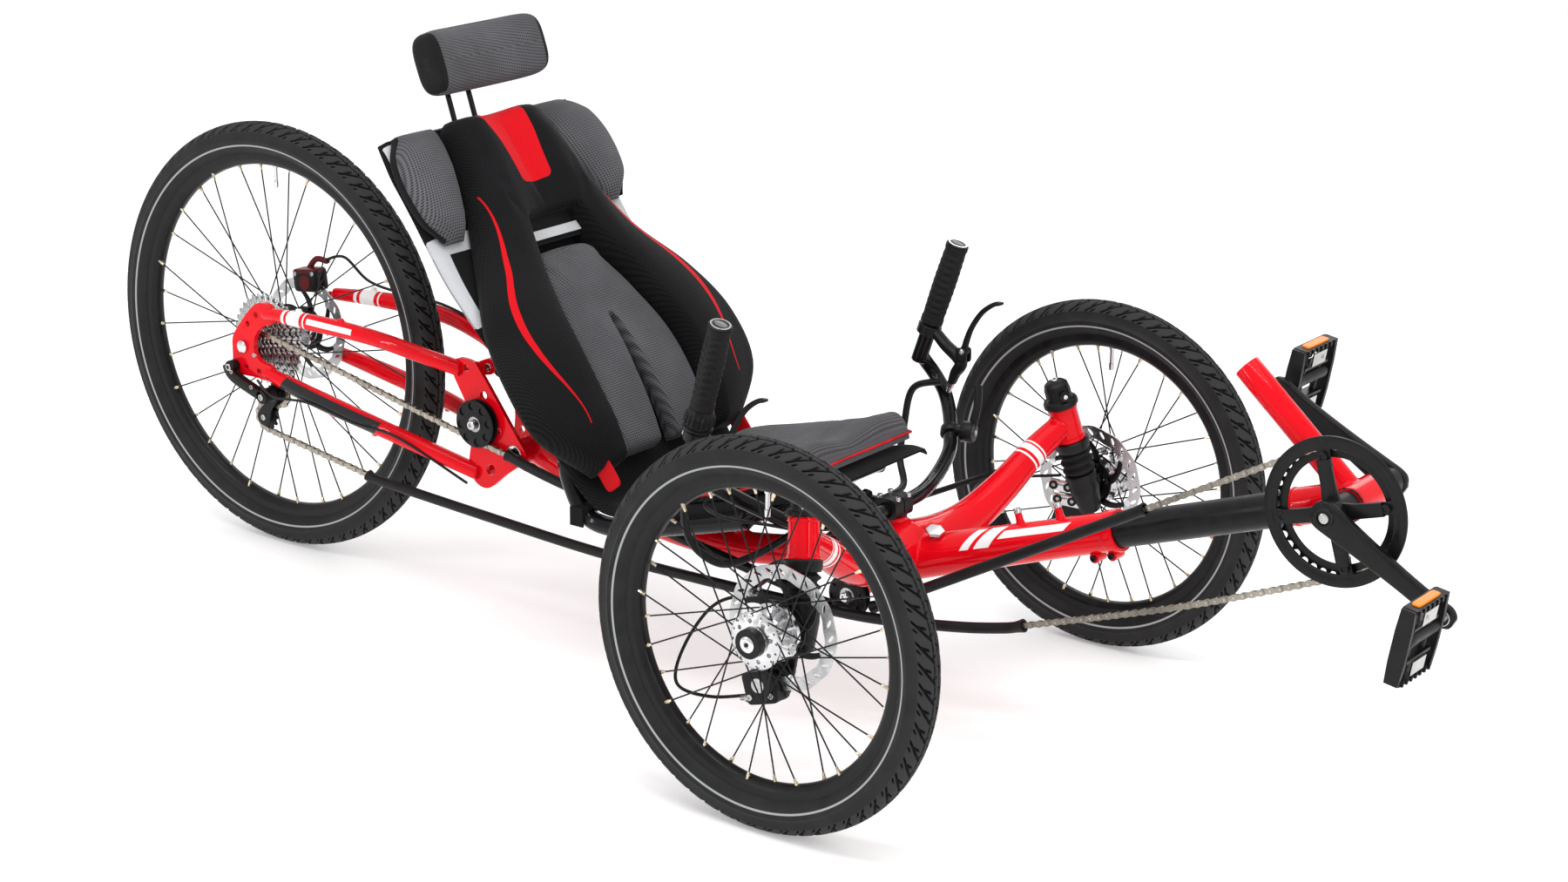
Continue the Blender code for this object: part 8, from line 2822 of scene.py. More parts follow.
@dataclass
class SeatBack:
    """The curve of the seat's back, and the cloth pieces that lie on it.

    A place on it is given by y across, s along the curve from its lower end and h out of its front face.
    """

    thickness: float = 0.036
    profile: tuple[tuple[float, float], ...] = ((-0.44, 0.052), (-0.47, 0.117), (-0.52, 0.189),
                                                (-0.58, 0.252), (-0.64, 0.314), (-0.69, 0.384),
                                                (-0.733, 0.442), (-0.768, 0.483))
    halves: tuple[float, ...] = (0.15, 0.225, 0.236, 0.212, 0.158, 0.118, 0.1, 0.086)
    opening: tuple[float, ...] = (0.098, 0.106, 0.104, 0.086, 0.058, 0.046)

    def __post_init__(self) -> None:
        """Work out the curve's stations."""
        marks = np.array([front(x, 0, z) for x, z in self.profile])
        self.line = smooth(marks, 12)
        self.far = distances(self.line)
        self.up = unit(np.gradient(self.line, axis=0))
        self.normal = np.stack([self.up[:, 2], 0 * self.up[:, 0], -self.up[:, 0]], -1)
        self.marks_s = self.far[::12]
        self.length = float(self.far[-1])

    def read(self, table: Array, s: Array) -> Array:
        """A row of the curve's table at distance s."""
        return np.stack([np.interp(s, self.far, table[:, k]) for k in range(3)], -1)

    def lift(self, y: Array, s: Array, h: Array) -> Array:
        """The point at y, s, h; s may pass either end along the end's direction.

        Args:
            y: Distance across, left for plus.
            s: Distance along the curve.
            h: Distance out of the front face.

        Returns:
            The points.
        """
        y, s, h = np.broadcast_arrays(np.asarray(y, float), np.asarray(s, float), np.asarray(h, float))
        held = np.clip(s, 0, self.length)
        spill = (s - held)[..., None]
        up, normal = unit(self.read(self.up, held)), unit(self.read(self.normal, held))
        return self.read(self.line, held) + y[..., None] * Y_AXIS + normal * h[..., None] + up * spill

    def at(self, values: Sequence[float], s: Array) -> Array:
        """A row of values given at the profile's marks, read at s on a smooth curve.

        Args:
            values: One value for each mark.
            s: Distance along the curve.

        Returns:
            The values at s.
        """
        values = np.asarray(values, float)
        fine = smooth(values, 12)
        return np.interp(s, self.far[:len(fine)], fine)

    def crown(self, y: Array, s: Array) -> Array:
        """Height of the cover's face: two bolsters of 16 mm with a shallow dish between them.

        Args:
            y: Distance across, left for plus.
            s: Distance along the curve.

        Returns:
            The height.
        """
        a = np.clip(np.abs(y) / self.at(self.halves, s), 0, 1)
        swell = np.clip(0.45 + s / 0.12, 0, 1) * np.clip(0.45 + (self.length - s) / 0.1, 0, 1)
        return (0.016 * np.sin(np.pi * a**1.2) ** 2 - 0.004 * (1 - a) ** 2) * swell

    def pad(self, inner: Array, outer: Array, floor: float, top: Callable[[Array, Array], Array], roll: float,
            inner_roll: float, ends: float = 0.02, middle: int = 18) -> Surface:
        """A stuffed strip between two outlines given as rows of (y, s).

        Its face is the height top(y, s) above the floor, rolled down to the floor at both edges and both
        ends with quarter ellipses.

        Args:
            inner: Rows of (y, s) of the inner edge.
            outer: Rows of (y, s) of the outer edge.
            floor: Depth of its back behind the face.
            top: Height of the face at (y, s).
            roll: Radius of the outer edge.
            inner_roll: Radius of the inner edge.
            ends: Radius of both ends, 0 for none.
            middle: Stations between the edges.

        Returns:
            The strip's skin.
        """
        wide = np.linalg.norm(outer - inner, axis=1)
        theta = np.linspace(0, np.pi / 2, 8)
        near = inner_roll * (1 - np.cos(theta))
        away = roll * (1 - np.cos(theta))
        between = (wide - near[-1] - away[-1])[:, None] * np.linspace(0, 1, middle)[None, 1:-1]
        d_in = np.concatenate([np.broadcast_to(near, (len(inner), 8)), near[-1] + between,
                               wide[:, None] - away[None, ::-1]], 1)
        b = d_in / wide[:, None]
        place = inner[:, None] + b[..., None] * (outer - inner)[:, None]
        y, s = place[..., 0], place[..., 1]
        length = distances((inner + outer) / 2)
        end = quarter_roll(np.minimum(length, length[-1] - length) + 0.0008, ends)[:, None] if ends else 1.0
        edge = quarter_roll(d_in + 0.0004, inner_roll) * quarter_roll(wide[:, None] - d_in + 0.0004, roll)
        edge = edge * end
        height = -floor + 0.0015 + (floor - 0.0015 + top(y, s)) * edge
        face = self.lift(y, s, height)
        back_b = np.linspace(0.97, 0.03, 6)
        back_place = inner[:, None] + back_b[None, :, None] * (outer - inner)[:, None]
        back = self.lift(back_place[..., 0], back_place[..., 1], -floor)
        grid = np.concatenate([face, back], 1)
        flat = np.concatenate([place, back_place], 1)
        return skin(grid, uv=flat)

    def patch(self, inner: Array, outer: Array, top: Callable[[Array, Array], Array], thick: float = 0.0016,
              columns: int = 14) -> Surface:
        """A thin piece of cloth on the face between two outlines, drawn down at its edges.

        Args:
            inner: Rows of (y, s) of the inner edge.
            outer: Rows of (y, s) of the outer edge.
            top: Height of the face at (y, s).
            thick: Height above the face.
            columns: Stations across.

        Returns:
            The patch's skin.
        """
        b = np.concatenate([[0.0], np.linspace(0.02, 0.98, columns), [1.0]])
        place = inner[:, None] + b[None, :, None] * (outer - inner)[:, None]
        y, s = place[..., 0], place[..., 1]
        rise = np.full(b.shape, thick)
        rise[[0, -1]] = -0.0005
        face = self.lift(y, s, top(y, s) + rise[None])
        under = self.lift(y[:, ::-1], s[:, ::-1], top(y[:, ::-1], s[:, ::-1]) - 0.0012)
        return skin(np.concatenate([face, under], 1), uv=np.concatenate([place, place[:, ::-1]], 1),
                    caps="face")


@dataclass
class Seat:
    """Sling, covers, pads, wings, cushions, headrest and the tubes that carry them."""

    back: SeatBack = field(default_factory=SeatBack)
    tube_y: float = 0.15
    tube_radius: float = 0.013

    def build(self) -> None:
        """From the tubes outwards."""
        self.frame()
        self.sling()
        self.cover()
        self.lumbar()
        for side in Side:
            self.wing(side)
        self.base_cushion()
        self.headrest()

    def outlines(self) -> tuple[Array, Array]:
        """The cover's inner and outer edge, from the right leg's foot round the neck to the left leg's.

        Returns:
            Both as rows of (y, s).
        """
        b = self.back
        top_open = b.marks_s[5] - 0.046
        s_leg = np.linspace(0.004, top_open - 0.012, 46)
        inner_leg = np.stack([b.at(b.opening, s_leg), s_leg], -1)
        w = inner_leg[-1, 0]
        inner_half = np.concatenate([inner_leg, corner(w - 0.012, top_open - 0.012, 0.012, 8),
                                     crossing(w - 0.012, top_open, 12)])
        s_out = np.linspace(0.0, b.length - 0.014, 53)
        outer_leg = np.stack([b.at(b.halves, s_out), s_out], -1)
        wo = outer_leg[-1, 0]
        outer_half = np.concatenate([outer_leg, corner(wo - 0.014, b.length - 0.014, 0.014, 6),
                                     crossing(wo - 0.014, b.length, 8)])
        outer_half = spaced(outer_half, len(inner_half))
        return both_halves(inner_half), both_halves(outer_half)

    def cover(self) -> None:
        """The padded cover round the opening: black mesh, a red neck panel, red side inserts."""
        b = self.back
        inner, outer = self.outlines()
        shape = b.pad(inner, outer, b.thickness, b.crown, 0.024, 0.012, middle=30)
        rows = np.linspace(b.marks_s[0] + 0.07, b.marks_s[5] + 0.004, 12)
        share = np.linspace(0, 1, 12)
        middle = np.interp(share, np.linspace(0, 1, 7),
                           (0.72, 0.77, 0.8, 0.83, 0.885, 0.925, 0.945)) * b.at(b.halves, rows)
        wide = 0.0054 * np.sin(np.pi * np.clip(share, 0.02, 0.99)) ** 0.8 + 0.0004
        red = Patch(b.marks_s[5] + 0.004, b.length + 0.09, (-1.0, -1.0), (0.031, 0.054), (0.62, 0.004, 0.01),
                    0.009)
        cloth = Sewn("seat cover cloth", BLACK_MESH.colour, 0.86, pitch=0.0036, lean=0.55, hole=0.25,
                     patches=(red,), insert=tuple(zip(rows.tolist(), middle.tolist(), wide.tolist())))
        piece = Piece("back_cover", "frame", ("back_cushion",), "mesh_black").add(shape, cloth)
        inflate(piece.build(smooth_deg=60), 0.006)

    def lumbar(self) -> None:
        """The grey pad in the opening, split from below by a slot."""
        b = self.back
        high = b.marks_s[4] - 0.004
        s_leg = np.linspace(0.01, high - 0.02, 42)
        half = b.at(b.opening, s_leg) - 0.005
        out_leg = np.stack([half, s_leg], -1)
        w = half[-1] - 0.02
        outer_half = np.concatenate([out_leg, corner(w, high - 0.02, 0.02, 8), crossing(w, high, 10)])
        slot_top = b.marks_s[2] + 0.05
        s_in = np.linspace(0.01, slot_top, 50)
        slot = np.interp(s_in, [0.0, b.marks_s[1], slot_top - 0.006], [0.0155, 0.0135, 0.0055])
        slot *= np.sqrt(np.clip((slot_top - s_in) / 0.006, 0, 1))
        inner_half = spaced(np.stack([slot, s_in], -1), len(outer_half))
        outer_half = spaced(outer_half, len(inner_half))
        inner, outer = both_halves(inner_half), both_halves(outer_half)

        def top(y: Array, s: Array) -> Array:
            """The pad's face stands a little below the cover's."""
            return -0.006 - 0.003 * (np.abs(y) / 0.1) ** 2

        shape = b.pad(inner, outer, b.thickness - 0.0005, top, 0.016, 0.007, middle=24)
        piece = Piece("lumbar_cover", "frame", ("lumbar_pad",), "mesh_grey").add(shape, GREY_MESH)
        inflate(piece.build(smooth_deg=60), 0.005)
        band = Piece("opening_webbing", "frame", (), "mesh_black")
        s0 = b.marks_s[4] + 0.01
        for low, high_s, cloth, lift_h in ((s0 - 0.004, s0 + 0.034, BLACK_CLOTH, -0.02),
                                           (s0 + 0.001, s0 + 0.014, SILVER_CLOTH, -0.015)):
            s = np.linspace(low, high_s, 5)
            a, c = np.stack([np.full_like(s, -0.066), s], -1), np.stack([np.full_like(s, 0.066), s], -1)
            band.add(b.patch(a, c, lambda y, q, h=lift_h: 0 * y + h, 0.0012, 10), cloth)
        band.build()

    def wing(self, side: Side) -> None:
        """A grey shoulder pad that curls forward at its outer edge, with a black gusset behind it.

        Args:
            side: The left or the right.
        """
        b = self.back
        start = (b.marks_s[4] + b.marks_s[5]) / 2
        s = np.linspace(start, b.length, 44)
        share = (s - s[0]) / (s[-1] - s[0])
        low = np.interp(share, np.linspace(0, 1, 6), (0.146, 0.131, 0.119, 0.109, 0.103, 0.097))
        high = smooth(vec(0.182, 0.203, 0.209, 0.208, 0.198, 0.172), 12)
        high = np.interp(share, np.linspace(0, 1, len(high)), high)
        swell = np.interp(share, np.linspace(0, 1, 6), (0.5, 0.9, 1.0, 1.0, 0.9, 0.4))

        def top(y: Array, s_at: Array) -> Array:
            """Bulge across the wing plus the outer edge's forward curl.

            Args:
                y: Distance across, left for plus.
                s_at: Distance along the curve.

            Returns:
                The height.
            """
            a = np.clip((y - np.interp(s_at, s, low)) / np.interp(s_at, s, high - low), 0, 1)
            q = np.interp(s_at, s, swell)
            return -b.thickness + 0.008 + (0.022 * np.sin(np.pi * (0.12 + 0.76 * a)) + 0.008 * a) * q

        inner, outer = np.stack([low, s], -1), np.stack([high, s], -1)
        shape = b.pad(inner, outer, b.thickness, top, 0.014, 0.01, ends=0.022, middle=16).on(side)
        name = "wing_" + side.word
        piece = Piece(name + "_cover", "frame", (name,), "mesh_grey").add(shape, GREY_MESH)
        inflate(piece.build(smooth_deg=60), 0.004)
        gusset = Piece(name + "_gusset", "frame", (), "mesh_black")
        rows = np.linspace(0.02, 0.98, 30)
        q = start + rows * (b.length - start)
        edge_y = np.interp(q, s, high)
        rim = b.lift(edge_y + 0.0008, q, -b.thickness + 0.0045)
        gusset.add(ribbon(rim * vec(1, side.value, 1), 0.005, 0.0022, X_AXIS, 0.9), BLACK_CLOTH)
        gusset.build(smooth_deg=60)

    def side_line(self) -> Array:
        """Middle line of a seat side tube, at y = 0.

        Returns:
            The line's marks.
        """
        b = self.back
        offset = b.thickness + 0.01 + self.tube_radius
        marks = b.line[::12] - b.normal[::12] * offset
        base = [front(-0.208, 0, 0.0369), front(-0.25, 0, 0.024), front(-0.34, 0, -0.001),
                front(-0.41, 0, -0.02), front(-0.474, 0, -0.017), front(-0.506, 0, 0.028)]
        return np.array(base + list(marks[1:]))

    def frame(self) -> None:
        """Side tubes, cross tubes, the stay, lacing stitches, strap and knob."""
        marks = self.side_line()
        line = smooth(marks, 8)
        shapes = []
        for s in (1, -1):
            shapes.append(tube(line + Y_AXIS * s * self.tube_y, self.tube_radius, 28))
        for place in (marks[0], front(-0.33, 0, 0.0018), marks[7], marks[10], marks[12]):
            shapes.append(rod(place - Y_AXIS * self.tube_y, place + Y_AXIS * self.tube_y, 0.0095, 20))
        shapes.append(rod(STAY_HEAD, STAY_FOOT, 0.0085, 20))
        aim = unit(POST_HEAD - POST_FOOT)
        cuts = []
        for s in (1, -1):
            shift = Y_AXIS * s * POST_HALF_GAP
            share = (marks[12][2] - POST_FOOT[2]) / (POST_HEAD[2] - POST_FOOT[2])
            spot = POST_FOOT + (POST_HEAD - POST_FOOT) * share
            shapes.append(rod(spot - aim * 0.02 + shift, spot + aim * 0.014 + shift, 0.008, 24))
            cuts.append(rod(POST_FOOT - aim * 0.03 + shift, POST_HEAD + aim * 0.1 + shift, 0.0046, 20))
        welded("seat_tubes", "frame", ("seat_frame",), shapes, GLOSS_BLACK, "metal_black", voxel=0.0022,
               rounds=3, cutters=cuts)
        piece = Piece("seat_fittings", "frame", (), "metal_black")
        even = spaced(line, 150)
        ahead = unit(np.gradient(even, axis=0))
        for s in (1, -1):
            for k in range(62, 128, 2):
                centre = even[k] + Y_AXIS * s * self.tube_y
                over = unit(np.cross(ahead[k], Y_AXIS) * 0.5 + Y_AXIS * s)
                start = centre + over * (self.tube_radius + 0.0002)
                piece.add(rod(start - ahead[k] * 0.0035, start + ahead[k] * 0.0035 + Y_AXIS * s * 0.0008,
                              0.0008, 8), RED_THREAD if k % 8 == 6 else PLASTIC)
        strap = vec(-0.463, -0.15, 0.225)
        nearest = even[np.argmin(np.abs(even[:, 0] - strap[0]) + np.abs(even[:, 2] - strap[2]))]
        way = unit(vec(0.95, 0, -0.25))
        side_on = np.cross(way, Y_AXIS)
        t = full_turn(40)
        ring = np.cos(t)[:, None] * Y_AXIS + np.sin(t)[:, None] * side_on
        for s in (1, -1):
            centre = nearest + Y_AXIS * s * self.tube_y
            rows = [centre + way * a + ring * r for a, r in ((-0.012, 0.0134), (-0.0115, 0.0152),
                                                             (0.0115, 0.0152), (0.012, 0.0134))]
            piece.add(skin(np.stack(rows), wrap_rows=False), BLACK_CLOTH)
            tongue = centre + Y_AXIS * s * 0.015
            piece.add(block(tongue + Z_AXIS * -0.004, (0.022, 0.003, 0.026)), BLACK_CLOTH)
        piece.add(lathe([(0, -0.004), (0.012, -0.004), (0.013, -0.002), (0.013, 0.004), (0.011, 0.006),
                         (0, 0.0065)], marks[8] + vec(-0.016, 0.05, 0.0), unit(vec(-0.8, 0, -0.3)), 32),
                  PLASTIC)
        for s in (1, -1):
            for p in (line[0], line[-1]):
                direction = unit(line[0] - line[1]) if p is line[0] else unit(line[-1] - line[-2])
                piece.add(lathe([(0, -0.001), (0.0134, -0.001), (0.0134, 0.001), (0.011, 0.0035), (0, 0.004)],
                                p + Y_AXIS * s * self.tube_y, direction, 28), PLASTIC)
        clamp_at = front(-0.33, 0, -0.02)
        piece.add(lathe([(0.0092, -0.009), (0.0125, -0.009), (0.0128, -0.008), (0.0128, 0.008),
                         (0.0125, 0.009), (0.0092, 0.009)], clamp_at, Z_AXIS, 36), SATIN_BLACK)
        piece.build()

    def sling_rows(self) -> tuple[Array, Array, Array]:
        """The sling's middle line: place, front normal and half width.

        Returns:
            The three of them, a row for each station.
        """
        b = self.back
        base = np.array([front(x, 0, z) for x, z in ((-0.125, 0.078), (-0.16, 0.076), (-0.25, 0.047),
                                                     (-0.34, 0.022), (-0.41, 0.008), (-0.448, 0.01))])
        depth = b.thickness + 0.0003 + 0.005
        pick = np.arange(0, len(b.line), 6)
        upper = b.line[pick] - b.normal[pick] * depth
        line = smooth(np.concatenate([base, upper]), 4)
        halves = np.concatenate([vec(0.138, 0.142, 0.149, 0.152, 0.158, 0.16),
                                 np.interp(np.linspace(0, 1, len(pick)), np.linspace(0, 1, 8),
                                           vec(0.165, 0.19, 0.2, 0.2, 0.2, 0.2, 0.2, 0.19))])
        wide = smooth(halves, 4)
        ahead = unit(np.gradient(line, axis=0))
        return line, np.stack([ahead[:, 2], 0 * ahead[:, 0], -ahead[:, 0]], -1), wide

    def sling(self) -> None:
        """A laced cloth of 3 mm that wraps back round its side edges."""
        line, normal, wide = self.sling_rows()
        u = np.linspace(-1, 1, 41)
        y = u[None] * wide[:, None]
        curl = -0.0085 * np.clip((np.abs(u) - 0.93) / 0.07, 0, 1) ** 2
        half = 0.0015
        face = line[:, None] + y[..., None] * Y_AXIS + normal[:, None] * (curl[None, :, None] + half)
        rear_face = line[:, None] + y[..., None] * Y_AXIS + normal[:, None] * (curl[None, :, None] - half)
        far = distances(line)
        flat = np.stack([y, np.broadcast_to(far[:, None], y.shape)], -1)
        shape = skin(np.concatenate([face, rear_face[:, ::-1]], 1), caps="face",
                     uv=np.concatenate([flat, flat[:, ::-1]], 1))
        start = float(far[-1]) - self.back.length
        low, high = start + self.back.marks_s[3] + 0.012, start + self.back.marks_s[5]
        grey = (0.5, 0.51, 0.53)
        patches = (Patch(low, high - 0.028, (0.184, 0.176), (0.2, 0.2), grey, 0.003),
                   Patch(high - 0.05, high - 0.024, (0.12, 0.12), (0.2, 0.2), grey, 0.003),
                   Patch(start + self.back.length - 0.064, start + self.back.length - 0.006, (0.186, 0.16),
                         (0.196, 0.1895), grey, 0.003))
        cloth = Sewn("sling cloth", BLACK_MESH.colour, 0.86, pitch=0.0036, lean=0.55, hole=0.25,
                     patches=patches)
        made = Piece("sling_cloth", "frame", ("seat_sling",),
                     "mesh_black").add(shape, cloth).build(smooth_deg=60)

    def base_top(self, x: Array) -> Array:
        """Height of the sling's face under the base cushion.

        Args:
            x: Places fore and aft.

        Returns:
            The height at each.
        """
        line, normal, _ = self.sling_rows()
        low = line[:22] + normal[:22] * 0.005
        order = np.argsort(low[:, 0])
        return np.interp(x, low[order, 0], low[order, 2])

    def base_cushion(self) -> None:
        """Grey cushion: bolsters at its sides, a rolled front edge and black cloth along its outer edges."""
        x_front, x_back = front(-0.1462, 0, 0)[0], front(-0.404, 0, 0)[0]
        a = np.linspace(0, 1, 64)
        a = 0.5 - 0.5 * np.cos(np.pi * a)
        x = x_front + (x_back - x_front) * a
        u = np.sin(np.linspace(-np.pi / 2, np.pi / 2, 61))
        half = 0.14 - 0.012 * np.clip((0.1 - a) / 0.1, 0, 1) ** 2
        half = half - 0.01 * np.clip((a - 0.93) / 0.07, 0, 1) ** 2
        floor = self.base_top(x) + 0.0006 + np.interp(a, [0, 0.14, 0.4], [0.006, 0.004, 0.0])
        along = np.minimum(a, 1 - a) * (x_front - x_back)
        end = np.where(a < 0.5, quarter_roll(a * 0.258 + 0.0015, 0.03),
                       quarter_roll((1 - a) * 0.258 + 0.0015, 0.02))
        roll = 0.007 * np.sin(np.pi * np.abs(u)) ** 2 - 0.006 * (1 - np.abs(u)) ** 2
        edge = quarter_roll((1 - np.abs(u)) * 0.14 + 0.0003, 0.02)
        crest = 0.003 * np.exp(-((along / 0.03 - 1) ** 2))
        top = floor[:, None] + 0.0105 + (0.0315 + roll[None] + crest[:, None]) * edge[None] * end[:, None]
        side = u[None] * half[:, None]
        face = np.stack([np.broadcast_to(x[:, None], side.shape), side,
                         np.maximum(top, floor[:, None] + 0.009)], -1)
        v = np.linspace(0.985, -0.985, 24)
        under_y = v[None] * half[:, None]
        under = np.stack([np.broadcast_to(x[:, None], under_y.shape), under_y,
                          np.broadcast_to(floor[:, None], under_y.shape)], -1)
        flat = np.stack([side, np.broadcast_to(x[:, None], side.shape)], -1)
        flat_under = np.stack([under_y, np.broadcast_to(x[:, None], under_y.shape)], -1)
        grey = TwoTone("base cushion cloth", GREY_MESH.colour, 0.82, pitch=0.0042, lean=0.25, hole=0.3,
                       origin=tuple(front(0, 0, 0)), facing=(0, 0, 1), near=-1.0, half_width=0.1315)
        shape = skin(np.concatenate([face, under], 1), caps="face", uv=np.concatenate([flat, flat_under], 1))
        made = Piece("base_cover", "frame", ("seat_cushion",),
                     "mesh_grey").add(shape, grey).build(smooth_deg=60)
        inflate(made, 0.005)
        trim = Piece("base_trim", "frame", (), "mesh_black")
        loop = np.concatenate([np.stack([x, half * s + 0.0006 * s, floor + 0.009],
                                        -1)[:: 1 if s > 0 else -1] for s in (1, -1)])
        trim.add(tube(spaced(np.concatenate([loop, loop[:1]]), 150)[:-1], 0.0017, 10, closed=True, up=Z_AXIS),
                 RED_THREAD)
        tab = front(-0.4456, -0.145, 0.047)
        for s in (1, -1):
            trim.add(rounded_box(tab * vec(1, s, 1), (0.042, 0.004, 0.029), turn_about(Y_AXIS, 52), 0.4, 8),
                     RED_CLOTH)
        trim.build(smooth_deg=60)

    def headrest(self) -> None:
        """Rounded block of cloth on a bent double post."""
        turn = turn_about(Y_AXIS, -20)
        middle = front(-0.802, 0, 0.547)
        size, tall, half = 0.06, 0.092, 0.112
        y = np.sin(np.linspace(-np.pi / 2, np.pi / 2, 61))
        scale = 0.96 * (1 - np.abs(y) ** 12) ** 0.22
        scale = np.maximum(scale, 0.1)
        ahead = 0.03 * np.abs(y) ** 2.6
        t = full_turn(56)
        c, s = np.cos(t), np.sin(t)
        a, b = 0.5 * np.sign(c) * np.abs(c) ** 0.55, 0.5 * np.sign(s) * np.abs(s) ** 0.6
        local = np.stack([a[None] * size * scale[:, None] + ahead[:, None] * 0.6,
                          np.broadcast_to(y[:, None] * half, (len(y), len(t))),
                          b[None] * tall * scale[:, None] * (1 + 0.05 * a[None])], -1)
        facing = turn @ X_AXIS
        cloth = TwoTone("headrest cloth", GREY_MESH.colour, 0.82, pitch=0.004, lean=0.25, hole=0.3,
                        origin=tuple(middle), facing=tuple(facing), near=0.012, half_width=0.101)
        shape = skin(local @ turn.T + middle)
        made = Piece("headrest_cover", "headrest", ("headrest_cushion",),
                     "mesh_grey").add(shape, cloth).build(smooth_deg=60)
        inflate(made, 0.004)
        foot, head = POST_FOOT, POST_HEAD
        aim = unit(head - foot)
        posts = Piece("headrest_posts", "headrest", ("headrest_post",), "metal_black")
        tip = head + aim * 0.01
        bend = smooth([foot, foot + (head - foot) * 0.6, head - aim * 0.004, tip + vec(0.01, 0, 0.002),
                       tip + vec(0.026, 0, 0.004)], 8)
        gap = Y_AXIS * POST_HALF_GAP
        for shift in (gap, -gap):
            posts.add(tube(bend + shift, 0.004, 16), GLOSS_BLACK)
        end = tip + vec(0.024, 0, 0.0037)
        posts.add(rod(end - gap, end + gap, 0.004, 16), GLOSS_BLACK)
        posts.build()


def inflate(made: bpy.types.Object, cap: float) -> bpy.types.Object:
    """Fill a cover with a short cloth simulation, so that its cloth takes up the soft folds of stuffing.

    The flat back is held; the simulated offset of each point is kept within the cap.

    Args:
        made: The cover, a closed mesh.
        cap: The greatest movement kept, in metres.

    Returns:
        The same object.
    """
    mesh = made.data
    count = len(mesh.vertices)
    start = np.empty(count * 3, np.float32)
    mesh.vertices.foreach_get("co", start)
    held = made.vertex_groups.new(name="held")
    normals = np.empty(count * 3, np.float32)
    mesh.vertices.foreach_get("normal", normals)
    points, out = start.reshape(-1, 3), normals.reshape(-1, 3)
    back = out @ vec(0.7, 0, 0.71) < -0.05
    held.add(np.nonzero(back)[0].tolist(), 1.0, "REPLACE")
    cloth = made.modifiers.new("stuffing", "CLOTH")
    given = cloth.settings
    given.quality, given.mass = 5, 0.25
    given.tension_stiffness = given.compression_stiffness = 28
    given.shear_stiffness, given.bending_stiffness = 10, 1.2
    given.use_pressure, given.uniform_pressure_force = True, 3.0
    given.vertex_group_mass = "held"
    given.effector_weights.gravity = 0.0
    cloth.point_cache.frame_start, cloth.point_cache.frame_end = 1, 14
    scene = bpy.context.scene
    for frame in range(1, 15):
        scene.frame_set(frame)
    graph = bpy.context.evaluated_depsgraph_get()
    moved = np.empty(count * 3, np.float32)
    ready = made.evaluated_get(graph).to_mesh()
    ready.vertices.foreach_get("co", moved)
    made.evaluated_get(graph).to_mesh_clear()
    made.modifiers.remove(cloth)
    made.vertex_groups.remove(held)
    scene.frame_set(1)
    shift = moved.reshape(-1, 3) - points
    far = np.linalg.norm(shift, axis=1, keepdims=True)
    shift *= np.minimum(1, cap / np.maximum(far, 1e-9))
    mesh.vertices.foreach_set("co", (points + shift).astype(np.float32).ravel())
    mesh.update()
    LOG.info("%s: cloth moved up to %.1f mm", made.name, 1000 * float(np.minimum(far, cap).max()))
    return made


# Rear arm


